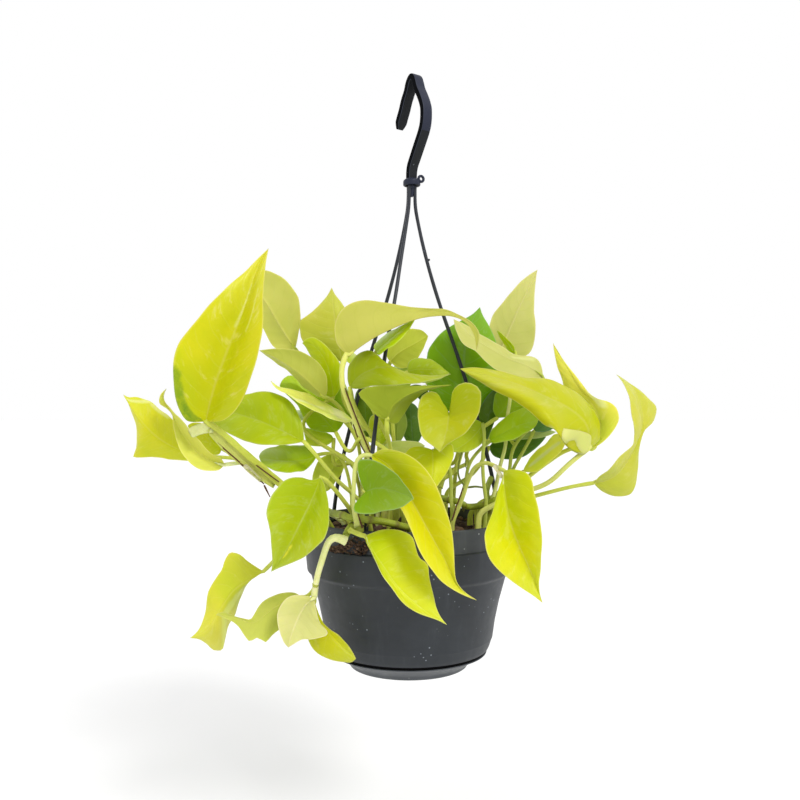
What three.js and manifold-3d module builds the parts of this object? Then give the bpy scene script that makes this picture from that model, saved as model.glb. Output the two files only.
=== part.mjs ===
// Golden pothos in a hanging pot. Millimetres, +Z up. The origin is the point where the hook bears on whatever it hangs
// from (inside the top of the bend); the pot's axis is vertical and the underside of the saucer lies HANG[2] below.
// Every leaf is a thin closed blade lofted over a 9-station net and joined to its own petiole.
import * as THREE from "three";
import Module from "manifold-3d";

// ---------------------------------------------------------------- driving dimensions
const HANG = [4.4, -2.8, 429.4]; // hang point, measured from the middle of the saucer's underside
const RIM_Z = 107; // top of the pot rim
const RIM_R = 74.2; // outer radius of the rim collar at the top
const BAND_R = 75.4; // outer radius of the band under the collar
const WALL = 2.0; // pot wall
const SOIL_Z = 98.6; // soil surface at the wall
const SOIL_MOUND = 2.2; // rise of the soil towards the middle
const ROD_R = [1.55, 1.25]; // radius of the three hanger rods at the rim and under the hook
const ROD_LOW_R = 67.6; // how far from the axis the rods meet the rim lugs
const ROD_LOW_Z = 101;
const HUB = [2.2, 0, 354.6]; // where the rods come together under the hook
// the rods run side by side under the hook, then bow out to the rim: height, distance from the axis
const ROD_PROFILE = [[101, 67.6], [108, 66.9], [116, 65.8], [127, 64.1], [137, 62], [151, 58.6], [163, 55.4], [181, 50.4], [205, 43], [229, 34.6], [243, 29.5],
  [252, 26.1], [264, 21.9], [275, 18.2], [287, 14.6], [299, 11.2], [305, 9.7], [311, 8.2], [317, 6.8], [323, 5.5], [329, 4.3], [334, 3.2], [340, 2.6], [346, 2.6], [354.6, 2.75]];
// the compass angle of each rod, as height and degrees
const ROD_ANGLES = {
  hanger_rod_left: [[101, 149.5], [354.6, 149.5]],
  hanger_rod_front: [[101, 244.5], [110, 244.2], [171, 242.8], [225, 240], [243, 238.5], [267, 237.6], [284, 234.6], [302, 231], [320, 230], [340, 230], [346, 233], [354.6, 236]],
  hanger_rod_right: [[101, 3], [354.6, 3]],
};
const HOOK_W = 8; // width of the flat hook bar
const HOOK_T = 4; // its thickness
const HOOK_TURN = 52; // degrees the plane of the hook is turned from the X axis
const BLADE_T = 0.45; // half thickness of a leaf blade inside
const BLADE_E = 0.3; // half thickness at its edge
const CLEAR = 0.35; // clearance round stems in the soil

// Leaf table: node, colour class, 8 x 5 net of points across the blade in 0.1 mm (left edge, left middle, midrib,
// right middle, right edge), petiole centreline in 0.1 mm, petiole radii in mm.
const LEAVES = [
  ["leaf_01", "lime", [-1397,-460,1794,-1397,-460,1794,-1397,-460,1794,-1397,-460,1794,-1397,-460,1794,-1181,-646,1849,-1280,-575,1861,-1375,-485,1878,-1466,-538,1875,-1553,-576,1875,-1064,-742,2011,-1195,-647,2026,-1322,-525,2045,-1449,-603,2067,-1573,-657,2092,-1004,-751,2189,-1129,-658,2212,-1251,-540,2235,-1394,-628,2271,-1533,-690,2306,-976,-706,2376,-1078,-630,2402,-1178,-532,2426,-1294,-604,2456,-1408,-654,2484,-977,-635,2573,-1046,-583,2595,-1113,-517,2614,-1193,-566,2635,-1272,-600,2654,-986,-529,2778,-1023,-502,2792,-1059,-467,2804,-1091,-486,2812,-1124,-500,2817,-979,-380,2996,-979,-380,2996,-979,-380,2996,-979,-380,2996,-979,-380,2996], [-812,-226,1277,-903,-276,1343,-1163,-421,1597,-1281,-453,1709,-1397,-460,1794], [2.5, 1.9]],
  ["leaf_02", "pale", [-878,358,2338,-878,358,2338,-878,358,2338,-878,358,2338,-878,358,2338,-985,360,2329,-950,351,2365,-916,332,2397,-881,321,2432,-847,301,2462,-1063,337,2374,-1013,324,2427,-962,297,2473,-894,276,2533,-825,238,2585,-1108,286,2472,-1062,273,2522,-1015,248,2565,-922,220,2641,-828,170,2705,-1146,230,2560,-1106,217,2612,-1065,193,2658,-978,164,2738,-890,114,2807,-1181,180,2650,-1150,169,2698,-1119,147,2741,-1052,123,2816,-984,80,2881,-1206,136,2741,-1189,128,2775,-1171,114,2806,-1138,98,2861,-1104,70,2911,-1200,98,2838,-1200,98,2838,-1200,98,2838,-1200,98,2838,-1200,98,2838], [251,256,920,247,279,1139,222,311,1214,155,374,1293,28,469,1390,-135,540,1513,-361,527,1737,-619,478,2000,-771,432,2181,-878,358,2338], [1.7, 1.4]],
  ["leaf_03", "limegreen", [-504,202,2232,-504,202,2232,-504,202,2232,-504,202,2232,-504,202,2232,-428,220,2294,-470,198,2288,-512,184,2284,-567,191,2274,-622,208,2268,-399,220,2380,-461,187,2368,-524,167,2358,-628,179,2339,-733,212,2323,-398,223,2477,-469,186,2465,-540,163,2452,-680,179,2433,-820,223,2413,-421,230,2569,-488,194,2560,-555,173,2550,-697,189,2544,-838,233,2535,-481,224,2642,-524,201,2636,-566,188,2629,-653,197,2621,-740,224,2610,-539,239,2719,-558,229,2716,-577,223,2710,-617,228,2707,-656,239,2700,-589,282,2806,-589,282,2806,-589,282,2806,-589,282,2806,-589,282,2806], [-206,130,920,-180,131,1219,-181,138,1544,-226,150,1628,-432,206,1833,-488,220,1916,-504,202,2232], [1.7, 1.4]],
  ["leaf_04", "pale", [-618,6,1961,-618,6,1961,-618,6,1961,-618,6,1961,-618,6,1961,-709,119,1984,-683,61,2002,-664,-6,2011,-627,-20,2040,-596,-41,2063,-782,133,2037,-749,61,2060,-723,-24,2070,-669,-46,2122,-621,-80,2162,-843,106,2096,-813,36,2120,-789,-47,2131,-736,-70,2190,-689,-106,2236,-898,44,2155,-876,-10,2175,-857,-74,2183,-813,-97,2243,-773,-131,2290,-962,0,2204,-944,-47,2221,-928,-102,2229,-900,-118,2274,-873,-143,2309,-1025,-57,2249,-1013,-90,2262,-1001,-128,2267,-988,-137,2291,-975,-150,2310,-1077,-154,2297,-1077,-154,2297,-1077,-154,2297,-1077,-154,2297,-1077,-154,2297], [-274,126,920,-275,127,1361,-323,148,1563,-417,174,1697,-519,147,1887,-568,100,1934,-618,6,1961], [1.7, 1.4]],
  ["leaf_05", "limegreen", [-567,144,1958,-567,144,1958,-567,144,1958,-567,144,1958,-567,144,1958,-510,93,2033,-540,104,2019,-568,119,2007,-606,143,1986,-640,174,1970,-495,53,2126,-538,67,2102,-576,91,2081,-629,122,2054,-675,166,2031,-512,44,2216,-556,60,2189,-594,84,2163,-648,118,2133,-695,164,2105,-566,52,2294,-597,64,2266,-624,84,2240,-667,115,2207,-705,156,2177,-632,60,2362,-652,70,2335,-669,86,2311,-699,112,2277,-725,146,2246,-716,79,2410,-725,89,2382,-732,103,2356,-745,119,2333,-756,140,2311,-798,124,2368,-798,124,2368,-798,124,2368,-798,124,2368,-798,124,2368], [-296,8,920,-329,20,1042,-335,10,1133,-320,-177,1325,-325,-193,1395,-406,-157,1483,-705,-3,1654,-785,60,1736,-783,85,1786,-745,105,1838,-567,144,1958], [1.7, 1.4]],
  ["leaf_06", "lime", [-1563,-220,1558,-1563,-220,1558,-1563,-220,1558,-1563,-220,1558,-1563,-220,1558,-1610,-136,1650,-1617,-174,1613,-1623,-204,1576,-1636,-181,1540,-1648,-152,1503,-1672,-57,1737,-1697,-123,1678,-1720,-177,1616,-1761,-142,1569,-1801,-96,1519,-1752,-8,1809,-1786,-86,1742,-1816,-148,1672,-1889,-92,1597,-1958,-17,1519,-1839,11,1869,-1868,-63,1803,-1893,-122,1735,-1958,-69,1661,-2020,2,1584,-1921,24,1937,-1943,-42,1876,-1964,-95,1811,-1982,-68,1770,-2000,-33,1726,-2010,-4,1962,-2020,-39,1929,-2031,-67,1894,-2031,-56,1876,-2032,-41,1858,-2094,-40,1979,-2094,-40,1979,-2094,-40,1979,-2094,-40,1979,-2094,-40,1979], [-426,154,920,-446,158,979,-486,152,1021,-915,64,1288,-1103,-22,1442,-1268,-94,1514,-1563,-220,1558], [1.6, 1.3]],
  ["leaf_07", "pale", [-1300,-300,1483,-1300,-300,1483,-1300,-300,1483,-1300,-300,1483,-1300,-300,1483,-1397,-373,1446,-1390,-346,1479,-1381,-327,1511,-1367,-356,1534,-1353,-392,1554,-1508,-400,1490,-1488,-365,1530,-1470,-340,1567,-1445,-380,1596,-1421,-431,1622,-1589,-392,1588,-1566,-362,1618,-1545,-340,1646,-1515,-382,1674,-1487,-436,1699,-1636,-363,1707,-1621,-345,1724,-1609,-332,1740,-1579,-367,1760,-1554,-411,1778,-1672,-290,1832,-1671,-289,1834,-1671,-288,1835,-1661,-300,1841,-1653,-313,1846,-1770,-268,1919,-1756,-256,1922,-1740,-246,1927,-1736,-250,1927,-1732,-256,1928,-1737,-200,2022,-1737,-200,2022,-1737,-200,2022,-1737,-200,2022,-1737,-200,2022], [-452,-12,920,-463,-12,1003,-493,-6,1048,-628,13,1123,-864,-61,1283,-987,-63,1390,-1103,-67,1451,-1136,-86,1468,-1160,-130,1481,-1219,-313,1494,-1300,-300,1483], [1.5, 1.3]],
  ["leaf_08", "green", [-1326,-280,1594,-1326,-280,1594,-1326,-280,1594,-1326,-280,1594,-1326,-280,1594,-1345,-277,1638,-1346,-278,1622,-1345,-277,1606,-1352,-267,1578,-1357,-251,1551,-1378,-269,1676,-1381,-271,1652,-1381,-269,1630,-1400,-253,1588,-1415,-229,1548,-1409,-255,1716,-1417,-258,1688,-1421,-255,1660,-1441,-241,1623,-1456,-218,1586,-1439,-232,1756,-1453,-235,1725,-1464,-232,1693,-1483,-219,1659,-1499,-198,1625,-1487,-215,1777,-1499,-218,1749,-1509,-215,1721,-1526,-204,1691,-1540,-186,1663,-1539,-205,1779,-1545,-207,1760,-1550,-205,1742,-1559,-199,1724,-1567,-188,1707,-1584,-200,1758,-1584,-200,1758,-1584,-200,1758,-1584,-200,1758,-1584,-200,1758], [-403,-39,920,-417,-41,1016,-453,-51,1060,-634,-111,1173,-823,-156,1257,-1098,-230,1477,-1326,-280,1594], [1.5, 1.1]],
  ["leaf_09", "limegreen", [-749,-220,1643,-749,-220,1643,-749,-220,1643,-749,-220,1643,-749,-220,1643,-768,-186,1779,-795,-208,1733,-824,-217,1681,-838,-242,1654,-854,-258,1624,-833,-154,1905,-875,-192,1819,-918,-208,1724,-939,-251,1675,-961,-279,1620,-951,-127,1982,-991,-170,1883,-1028,-187,1772,-1050,-245,1704,-1070,-283,1626,-1096,-84,1999,-1126,-120,1911,-1149,-135,1812,-1169,-195,1738,-1184,-235,1655,-1243,-41,1973,-1263,-66,1911,-1276,-77,1842,-1291,-129,1775,-1299,-165,1699,-1392,9,1938,-1399,-8,1893,-1401,-15,1844,-1410,-47,1802,-1414,-69,1755,-1505,40,1843,-1505,40,1843,-1505,40,1843,-1505,40,1843,-1505,40,1843], [-312,-60,920,-312,-60,1109,-325,-72,1161,-398,-131,1254,-512,-185,1363,-694,-237,1586,-749,-220,1643], [1.7, 1.4]],
  ["leaf_10", "green", [-674,20,1534,-674,20,1534,-674,20,1534,-674,20,1534,-674,20,1534,-738,154,1575,-728,73,1552,-715,-1,1514,-711,-33,1498,-706,-61,1475,-809,228,1600,-790,94,1562,-773,-27,1499,-765,-82,1471,-759,-132,1431,-879,207,1597,-859,71,1558,-843,-53,1494,-834,-115,1463,-826,-171,1418,-947,172,1594,-929,43,1557,-915,-76,1496,-905,-138,1464,-898,-194,1420,-1014,141,1588,-1000,27,1556,-987,-77,1502,-980,-131,1475,-973,-180,1436,-1075,85,1570,-1064,9,1549,-1053,-61,1513,-1051,-98,1494,-1048,-133,1467,-1099,-40,1525,-1099,-40,1525,-1099,-40,1525,-1099,-40,1525,-1099,-40,1525], [-422,80,920,-425,85,1211,-444,99,1334,-470,90,1437,-506,70,1506,-554,46,1541,-674,20,1534], [1.4, 1.2]],
  ["leaf_11", "lime", [-413,-60,1794,-413,-60,1794,-413,-60,1794,-413,-60,1794,-413,-60,1794,-495,38,1851,-494,-26,1839,-497,-86,1816,-495,-140,1806,-497,-191,1787,-580,66,1902,-578,-25,1884,-586,-112,1851,-583,-171,1840,-586,-228,1819,-665,41,1947,-662,-49,1929,-669,-135,1896,-666,-205,1883,-670,-272,1858,-750,2,1987,-747,-78,1971,-751,-155,1941,-748,-221,1928,-751,-283,1905,-836,-49,2015,-834,-106,2004,-836,-159,1982,-834,-201,1974,-835,-240,1959,-924,-115,2032,-922,-131,2028,-922,-147,2022,-922,-177,2017,-924,-205,2007,-1001,-120,2077,-1001,-120,2077,-1001,-120,2077,-1001,-120,2077,-1001,-120,2077], [-225,-20,920,-231,-22,1333,-319,-52,1587,-413,-60,1794], [1.8, 1.4]],
  ["leaf_12", "green", [-553,232,1692,-553,232,1692,-553,232,1692,-553,232,1692,-553,232,1692,-491,261,1787,-535,232,1758,-583,215,1731,-611,222,1711,-640,236,1692,-533,248,1886,-581,211,1838,-634,189,1792,-678,201,1751,-726,226,1712,-610,222,1970,-652,185,1916,-698,162,1863,-737,175,1816,-781,200,1771,-698,191,2036,-730,158,1983,-764,137,1931,-790,147,1891,-817,167,1851,-795,175,2089,-813,148,2043,-833,132,1995,-845,140,1960,-857,156,1924,-899,171,2126,-904,146,2081,-909,132,2035,-915,138,2009,-921,149,1982,-970,132,2049,-970,132,2049,-970,132,2049,-970,132,2049,-970,132,2049], [155,-260,920,164,-263,1163,128,-260,1276,-25,-244,1469,-246,-207,1639,-314,-187,1668,-349,-159,1666,-420,91,1569,-456,170,1550,-495,205,1587,-553,232,1692], [1.7, 1.4]],
  ["leaf_13", "green", [-575,298,1636,-575,298,1636,-575,298,1636,-575,298,1636,-575,298,1636,-596,334,1669,-599,311,1654,-603,294,1637,-606,296,1619,-611,303,1598,-626,341,1684,-631,309,1664,-638,284,1641,-646,288,1614,-656,298,1585,-663,329,1695,-668,296,1673,-678,270,1650,-690,275,1617,-706,287,1582,-697,303,1706,-704,273,1687,-714,249,1667,-732,255,1629,-754,269,1590,-730,275,1717,-736,250,1701,-745,230,1685,-762,235,1657,-783,246,1628,-763,240,1723,-767,225,1714,-772,214,1705,-781,216,1691,-793,222,1676,-795,198,1727,-795,198,1727,-795,198,1727,-795,198,1727,-795,198,1727], [-242,296,920,-350,348,988,-388,362,1060,-370,319,1230,-414,210,1452,-448,174,1460,-558,114,1446,-575,298,1636], [1.7, 1.4]],
  ["leaf_14", "limegreen", [-601,-560,1419,-601,-560,1419,-601,-560,1419,-601,-560,1419,-601,-560,1419,-711,-679,1428,-663,-656,1396,-619,-623,1356,-582,-661,1340,-548,-690,1318,-820,-799,1413,-729,-755,1353,-646,-693,1280,-582,-759,1252,-523,-811,1214,-888,-882,1325,-786,-834,1261,-689,-762,1185,-604,-849,1154,-523,-917,1112,-913,-927,1212,-822,-884,1155,-735,-819,1089,-656,-901,1060,-579,-964,1024,-890,-914,1091,-835,-887,1047,-780,-844,1000,-725,-904,976,-670,-949,949,-884,-890,964,-858,-877,941,-832,-855,916,-805,-885,904,-778,-907,890,-892,-860,835,-892,-860,835,-892,-860,835,-892,-860,835,-892,-860,835], [-368,-420,920,-380,-431,1145,-539,-541,1371,-601,-560,1419], [1.8, 1.4]],
  ["leaf_15", "olive", [-503,260,1520,-503,260,1520,-503,260,1520,-503,260,1520,-503,260,1520,-486,276,1475,-508,261,1486,-527,240,1497,-552,234,1513,-573,222,1530,-491,268,1429,-526,244,1445,-556,213,1463,-601,202,1487,-641,182,1512,-506,241,1386,-545,215,1401,-578,181,1419,-637,166,1440,-689,142,1466,-527,202,1351,-563,179,1358,-594,149,1369,-656,134,1382,-712,109,1399,-554,163,1317,-580,146,1317,-604,124,1319,-662,110,1322,-716,86,1330,-577,133,1281,-594,122,1278,-609,107,1276,-645,98,1272,-678,84,1269,-610,100,1256,-610,100,1256,-610,100,1256,-610,100,1256,-610,100,1256], [-436,311,920,-439,317,1194,-428,537,1367,-411,292,1404,-503,260,1520], [1.4, 1.2]],
  ["leaf_16", "pale", [-423,-588,2251,-423,-588,2251,-423,-588,2251,-423,-588,2251,-423,-588,2251,-497,-663,2425,-427,-630,2377,-343,-603,2305,-363,-448,2380,-360,-304,2418,-383,-686,2583,-309,-640,2499,-216,-606,2384,-229,-428,2471,-217,-266,2517,-182,-629,2595,-132,-599,2535,-70,-574,2453,-71,-419,2533,-51,-272,2573,24,-545,2570,53,-531,2545,85,-519,2508,99,-434,2549,120,-352,2566,236,-474,2566,248,-467,2550,259,-461,2527,274,-417,2543,288,-376,2547,433,-426,2478,427,-421,2468,418,-418,2455,426,-399,2455,431,-383,2452,470,-388,2288,470,-388,2288,470,-388,2288,470,-388,2288,470,-388,2288], [-165,-80,920,-169,-88,1240,-246,-256,1465,-404,-483,1891,-448,-578,2020,-454,-597,2156,-423,-588,2251], [2.6, 1.7]],
  ["leaf_16b", "pale", [979,-94,2100,979,-94,2100,979,-94,2100,979,-94,2100,979,-94,2100,844,-186,2102,869,-142,2127,900,-108,2160,929,-57,2186,965,-17,2220,723,-224,2123,758,-163,2159,798,-114,2208,827,-66,2232,860,-27,2265,609,-234,2161,647,-167,2201,691,-114,2253,715,-75,2270,744,-44,2294,524,-203,2243,555,-150,2272,590,-109,2311,615,-69,2330,643,-36,2357,429,-167,2315,459,-119,2341,493,-80,2377,516,-43,2394,541,-14,2418,360,-117,2409,381,-83,2427,406,-56,2452,422,-28,2465,441,-6,2484,332,-34,2533,332,-34,2533,332,-34,2533,332,-34,2533,332,-34,2533], [622,-49,920,642,-50,1148,735,-33,1391,758,-34,1552,820,-37,1665,910,-66,1750,950,-78,1821,1004,-86,2028,979,-94,2100], [1.5, 1.2]],
  ["leaf_17", "green", [-230,-387,2274,-230,-387,2274,-230,-387,2274,-230,-387,2274,-230,-387,2274,-189,-453,2258,-201,-424,2278,-208,-392,2294,-231,-333,2318,-244,-267,2333,-143,-466,2294,-158,-435,2314,-169,-401,2328,-192,-335,2358,-204,-261,2377,-96,-489,2322,-114,-452,2346,-127,-411,2364,-147,-351,2391,-158,-284,2409,-54,-500,2357,-72,-464,2380,-84,-423,2398,-99,-376,2419,-108,-324,2433,-19,-484,2401,-32,-457,2419,-41,-427,2432,-52,-390,2449,-59,-349,2460,13,-452,2449,6,-437,2459,1,-421,2466,-5,-401,2475,-9,-378,2482,43,-407,2500,43,-407,2500,43,-407,2500,43,-407,2500,43,-407,2500], [-151,-190,920,-127,-167,1195,-123,-163,1551,-150,-194,1661,-262,-324,1889,-288,-361,1980,-282,-379,2114,-230,-387,2274], [1.7, 1.4]],
  ["leaf_18", "pale", [-136,276,2232,-136,276,2232,-136,276,2232,-136,276,2232,-136,276,2232,-171,297,2298,-145,284,2273,-123,265,2248,-101,257,2219,-83,244,2189,-143,284,2363,-113,266,2322,-89,239,2282,-53,226,2233,-23,204,2184,-98,263,2419,-65,242,2368,-38,210,2319,0,196,2261,31,170,2204,-42,246,2463,-8,222,2404,19,186,2349,46,175,2302,69,154,2257,25,224,2486,51,203,2431,73,170,2379,89,162,2343,103,147,2309,95,194,2474,107,181,2438,117,161,2405,124,156,2384,130,148,2364,149,156,2424,149,156,2424,149,156,2424,149,156,2424,149,156,2424], [-111,227,920,-73,232,1189,-67,249,1529,-96,266,1646,-202,314,1874,-224,324,1968,-209,315,2082,-136,276,2232], [1.7, 1.4]],
  ["leaf_19", "limegreen", [-412,-371,2024,-412,-371,2024,-412,-371,2024,-412,-371,2024,-412,-371,2024,-305,-507,2020,-337,-467,2057,-361,-418,2092,-399,-396,2127,-429,-366,2160,-205,-595,2037,-242,-539,2094,-271,-470,2143,-312,-437,2210,-344,-390,2270,-106,-656,2036,-134,-594,2106,-159,-516,2165,-188,-492,2211,-215,-459,2251,-8,-633,2044,-27,-585,2096,-50,-531,2136,-80,-514,2151,-113,-493,2160,90,-592,2061,74,-563,2090,57,-531,2111,36,-519,2114,14,-506,2112,188,-559,2081,179,-546,2092,169,-531,2100,159,-525,2103,149,-518,2105,282,-531,2117,282,-531,2117,282,-531,2117,282,-531,2117,282,-531,2117], [-93,100,920,-94,99,1207,-109,66,1320,-198,-95,1579,-382,-338,1893,-412,-371,2024], [1.9, 1.5]],
  ["leaf_20", "limegreen", [-11,37,2148,-11,37,2148,-11,37,2148,-11,37,2148,-11,37,2148,20,18,2103,15,21,2131,12,28,2156,3,51,2184,-3,80,2209,61,-5,2078,55,0,2124,52,13,2166,45,47,2210,42,90,2248,112,-29,2065,107,-23,2119,105,-9,2168,101,27,2214,101,71,2254,162,-53,2071,159,-48,2120,160,-35,2164,158,-2,2206,159,39,2243,211,-57,2085,211,-53,2124,211,-43,2159,211,-20,2188,211,9,2213,257,-46,2106,258,-44,2129,258,-37,2150,258,-26,2164,257,-11,2177,301,-23,2137,301,-23,2137,301,-23,2137,301,-23,2137,301,-23,2137], [63,47,920,14,22,1091,-4,14,1332,-88,105,1489,-102,113,1545,-116,58,1733,-133,58,1974,-97,52,2058,-11,37,2148], [1.7, 1.4]],
  ["leaf_21", "grey", [-150,-645,1813,-150,-645,1813,-150,-645,1813,-150,-645,1813,-150,-645,1813,-257,-670,1877,-203,-656,1860,-144,-650,1838,-119,-582,1813,-87,-525,1782,-340,-698,1979,-237,-668,1935,-125,-658,1883,-82,-570,1866,-32,-498,1842,-236,-695,2030,-162,-672,1986,-81,-664,1933,-39,-584,1926,9,-518,1911,-108,-682,2036,-61,-668,2010,-11,-663,1978,24,-600,1976,63,-547,1966,21,-661,2035,49,-653,2026,79,-650,2013,105,-605,2011,134,-565,2002,152,-631,2036,164,-628,2035,178,-627,2032,192,-603,2031,207,-583,2026,284,-585,2041,284,-585,2041,284,-585,2041,284,-585,2041,284,-585,2041], [-34,-60,920,-34,-62,1185,-42,-89,1253,-126,-433,1591,-151,-625,1726,-150,-645,1813], [1.7, 1.4]],
  ["leaf_22", "lime", [273,-471,1850,273,-471,1850,273,-471,1850,273,-471,1850,273,-471,1850,216,-526,1937,247,-497,1885,272,-478,1840,283,-502,1906,288,-538,1980,146,-576,1999,210,-521,1908,271,-484,1830,328,-528,1936,379,-593,2058,70,-591,1933,171,-530,1870,270,-491,1820,378,-538,1897,483,-611,1991,54,-597,1833,161,-540,1811,267,-502,1803,369,-540,1827,471,-596,1864,68,-629,1734,161,-580,1730,255,-547,1738,329,-573,1741,404,-613,1753,125,-647,1653,178,-618,1653,231,-600,1658,268,-613,1663,305,-633,1671,206,-631,1590,206,-631,1590,206,-631,1590,206,-631,1590,206,-631,1590], [295,-333,920,295,-337,1359,258,-366,1649,262,-394,1753,273,-471,1850], [1.5, 1.3]],
  ["leaf_23", "dark", [467,165,1811,467,165,1811,467,165,1811,467,165,1811,467,165,1811,583,177,1873,514,155,1872,445,147,1875,373,156,1864,301,179,1856,653,171,1995,535,134,1991,416,120,1991,296,134,1980,177,172,1974,689,160,2127,550,116,2129,411,100,2135,272,116,2138,134,160,2143,685,145,2262,552,103,2273,418,88,2284,283,103,2298,148,147,2313,656,133,2396,546,98,2408,436,86,2420,345,96,2435,255,125,2449,594,117,2516,537,99,2525,479,92,2532,440,97,2536,400,110,2539,537,105,2638,537,105,2638,537,105,2638,537,105,2638,537,105,2638], [2,297,920,-37,352,1021,-55,376,1112,-50,369,1307,-20,363,1390,27,357,1447,75,347,1467,344,167,1454,393,147,1612,467,165,1811], [1.7, 1.4]],
  ["leaf_24", "pale", [709,440,2302,709,440,2302,709,440,2302,709,440,2302,709,440,2302,626,394,2386,675,419,2365,726,434,2341,781,458,2305,839,469,2265,627,366,2505,694,403,2467,764,424,2427,861,465,2372,963,483,2312,673,361,2616,741,399,2578,814,420,2538,906,459,2489,1005,476,2438,749,380,2713,804,410,2681,863,428,2649,932,457,2611,1006,470,2571,827,403,2810,869,427,2783,916,441,2756,956,459,2730,999,467,2704,920,442,2899,945,457,2881,972,465,2864,989,473,2852,1008,476,2839,1029,500,2975,1029,500,2975,1029,500,2975,1029,500,2975,1029,500,2975], [563,-79,920,579,-81,1115,611,-94,1223,644,-59,1325,660,-110,1442,680,-116,1520,694,-102,1559,718,-13,1660,723,9,1717,740,-63,1915,740,-70,2025,728,-32,2077,715,49,2134,709,440,2302], [1.5, 1.2]],
  ["leaf_25", "green", [830,340,2301,830,340,2301,830,340,2301,830,340,2301,830,340,2301,821,288,2333,815,307,2327,812,328,2324,804,350,2316,799,373,2312,807,256,2361,798,285,2352,792,316,2348,782,345,2337,776,376,2331,782,254,2387,774,279,2379,770,305,2375,761,329,2367,756,354,2362,759,253,2412,752,274,2406,748,297,2402,740,317,2396,736,338,2392,735,255,2436,729,272,2431,726,289,2429,719,308,2423,714,329,2419,710,264,2458,707,274,2455,705,284,2454,700,296,2450,697,309,2448,684,280,2479,684,280,2479,684,280,2479,684,280,2479,684,280,2479], [340,282,920,354,276,1268,392,276,1563,469,290,1669,776,352,1882,869,371,1983,883,371,2119,830,340,2301], [1.7, 1.4]],
  ["leaf_26", "lime", [1256,-400,1614,1256,-400,1614,1256,-400,1614,1256,-400,1614,1256,-400,1614,1347,-310,1762,1296,-384,1754,1233,-446,1745,1110,-510,1593,1172,-494,1729,1266,-276,1928,1205,-376,1901,1134,-460,1861,995,-629,1730,996,-598,1755,1113,-260,2037,1054,-368,1999,988,-460,1943,903,-644,1861,859,-608,1815,927,-270,2088,884,-350,2059,839,-419,2015,786,-569,1954,745,-534,1910,739,-266,2119,712,-316,2102,685,-359,2076,649,-476,2025,619,-448,1988,557,-227,2162,540,-267,2145,523,-302,2120,509,-365,2091,491,-349,2070,363,-260,2162,363,-260,2162,363,-260,2162,363,-260,2162,363,-260,2162], [497,-237,920,494,-233,1102,520,-235,1146,704,-263,1243,930,-359,1340,1014,-401,1402,1115,-431,1506,1256,-400,1614], [2.1, 1.6]],
  ["leaf_27", "lime", [1300,-260,1592,1300,-260,1592,1300,-260,1592,1300,-260,1592,1300,-260,1592,1414,-288,1680,1384,-269,1682,1359,-244,1680,1305,-200,1685,1261,-144,1684,1480,-313,1809,1414,-272,1806,1361,-217,1804,1284,-157,1796,1222,-79,1788,1419,-265,1927,1361,-229,1922,1313,-181,1919,1240,-124,1906,1182,-51,1897,1300,-200,1986,1265,-177,1998,1237,-147,2014,1183,-106,2009,1140,-53,2009,1217,-145,2104,1196,-132,2113,1179,-114,2122,1143,-87,2123,1114,-52,2125,1137,-79,2226,1129,-74,2233,1122,-66,2239,1101,-50,2240,1084,-29,2240,1068,0,2359,1068,0,2359,1068,0,2359,1068,0,2359,1068,0,2359], [554,-34,920,565,-31,1135,716,4,1219,867,-5,1358,1001,-65,1474,1115,-142,1564,1211,-210,1602,1300,-260,1592], [1.9, 1.5]],
  ["leaf_29", "lime", [1370,20,1325,1370,20,1325,1370,20,1325,1370,20,1325,1370,20,1325,1576,185,1211,1540,108,1276,1497,44,1352,1472,-34,1385,1442,-102,1427,1738,234,1300,1680,147,1367,1608,72,1441,1578,-15,1479,1539,-92,1522,1750,171,1509,1725,133,1538,1694,100,1570,1682,53,1591,1664,12,1615,1776,123,1707,1764,111,1713,1751,100,1720,1704,19,1733,1645,-53,1748,1895,212,1876,1825,147,1877,1744,91,1876,1693,6,1881,1630,-68,1884,1735,125,2027,1711,102,2026,1684,83,2023,1647,23,2021,1604,-31,2014,1564,120,2132,1564,120,2132,1564,120,2132,1564,120,2132,1564,120,2132], [464,120,920,464,120,1091,485,117,1112,692,87,1148,1046,35,1255,1370,20,1325], [1.9, 1.4]],
  ["leaf_30", "green", [588,-140,1640,588,-140,1640,588,-140,1640,588,-140,1640,588,-140,1640,635,-196,1633,628,-178,1651,624,-157,1667,610,-126,1691,602,-89,1712,687,-236,1645,678,-208,1675,674,-175,1699,660,-129,1740,654,-76,1772,739,-266,1661,732,-231,1699,729,-190,1731,718,-135,1781,715,-72,1821,789,-278,1684,787,-242,1725,788,-200,1758,783,-140,1814,783,-71,1859,841,-264,1711,845,-234,1747,850,-197,1775,853,-133,1839,859,-57,1888,893,-234,1741,898,-213,1766,903,-187,1786,915,-144,1829,927,-92,1862,929,-180,1789,929,-180,1789,929,-180,1789,929,-180,1789,929,-180,1789], [305,-116,920,320,-120,1084,385,-123,1253,436,-150,1474,500,-160,1569,588,-140,1640], [1.4, 1.15]],
  ["leaf_31", "lime", [835,-80,1418,835,-80,1418,835,-80,1418,835,-80,1418,835,-80,1418,888,-156,1418,878,-132,1437,872,-105,1454,866,-85,1467,864,-61,1477,939,-204,1442,923,-170,1470,914,-131,1494,905,-98,1514,902,-61,1531,985,-235,1481,969,-197,1511,959,-155,1537,949,-118,1560,945,-76,1579,1029,-255,1523,1014,-218,1554,1006,-176,1580,997,-140,1603,993,-100,1621,1076,-249,1566,1064,-217,1595,1057,-180,1618,1048,-134,1649,1044,-82,1673,1114,-223,1616,1107,-203,1634,1104,-180,1649,1096,-144,1674,1093,-103,1692,1145,-180,1674,1145,-180,1674,1145,-180,1674,1145,-180,1674,1145,-180,1674], [500,11,920,504,11,1166,635,6,1235,745,-3,1329,835,-80,1418], [1.4, 1.2]],
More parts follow.
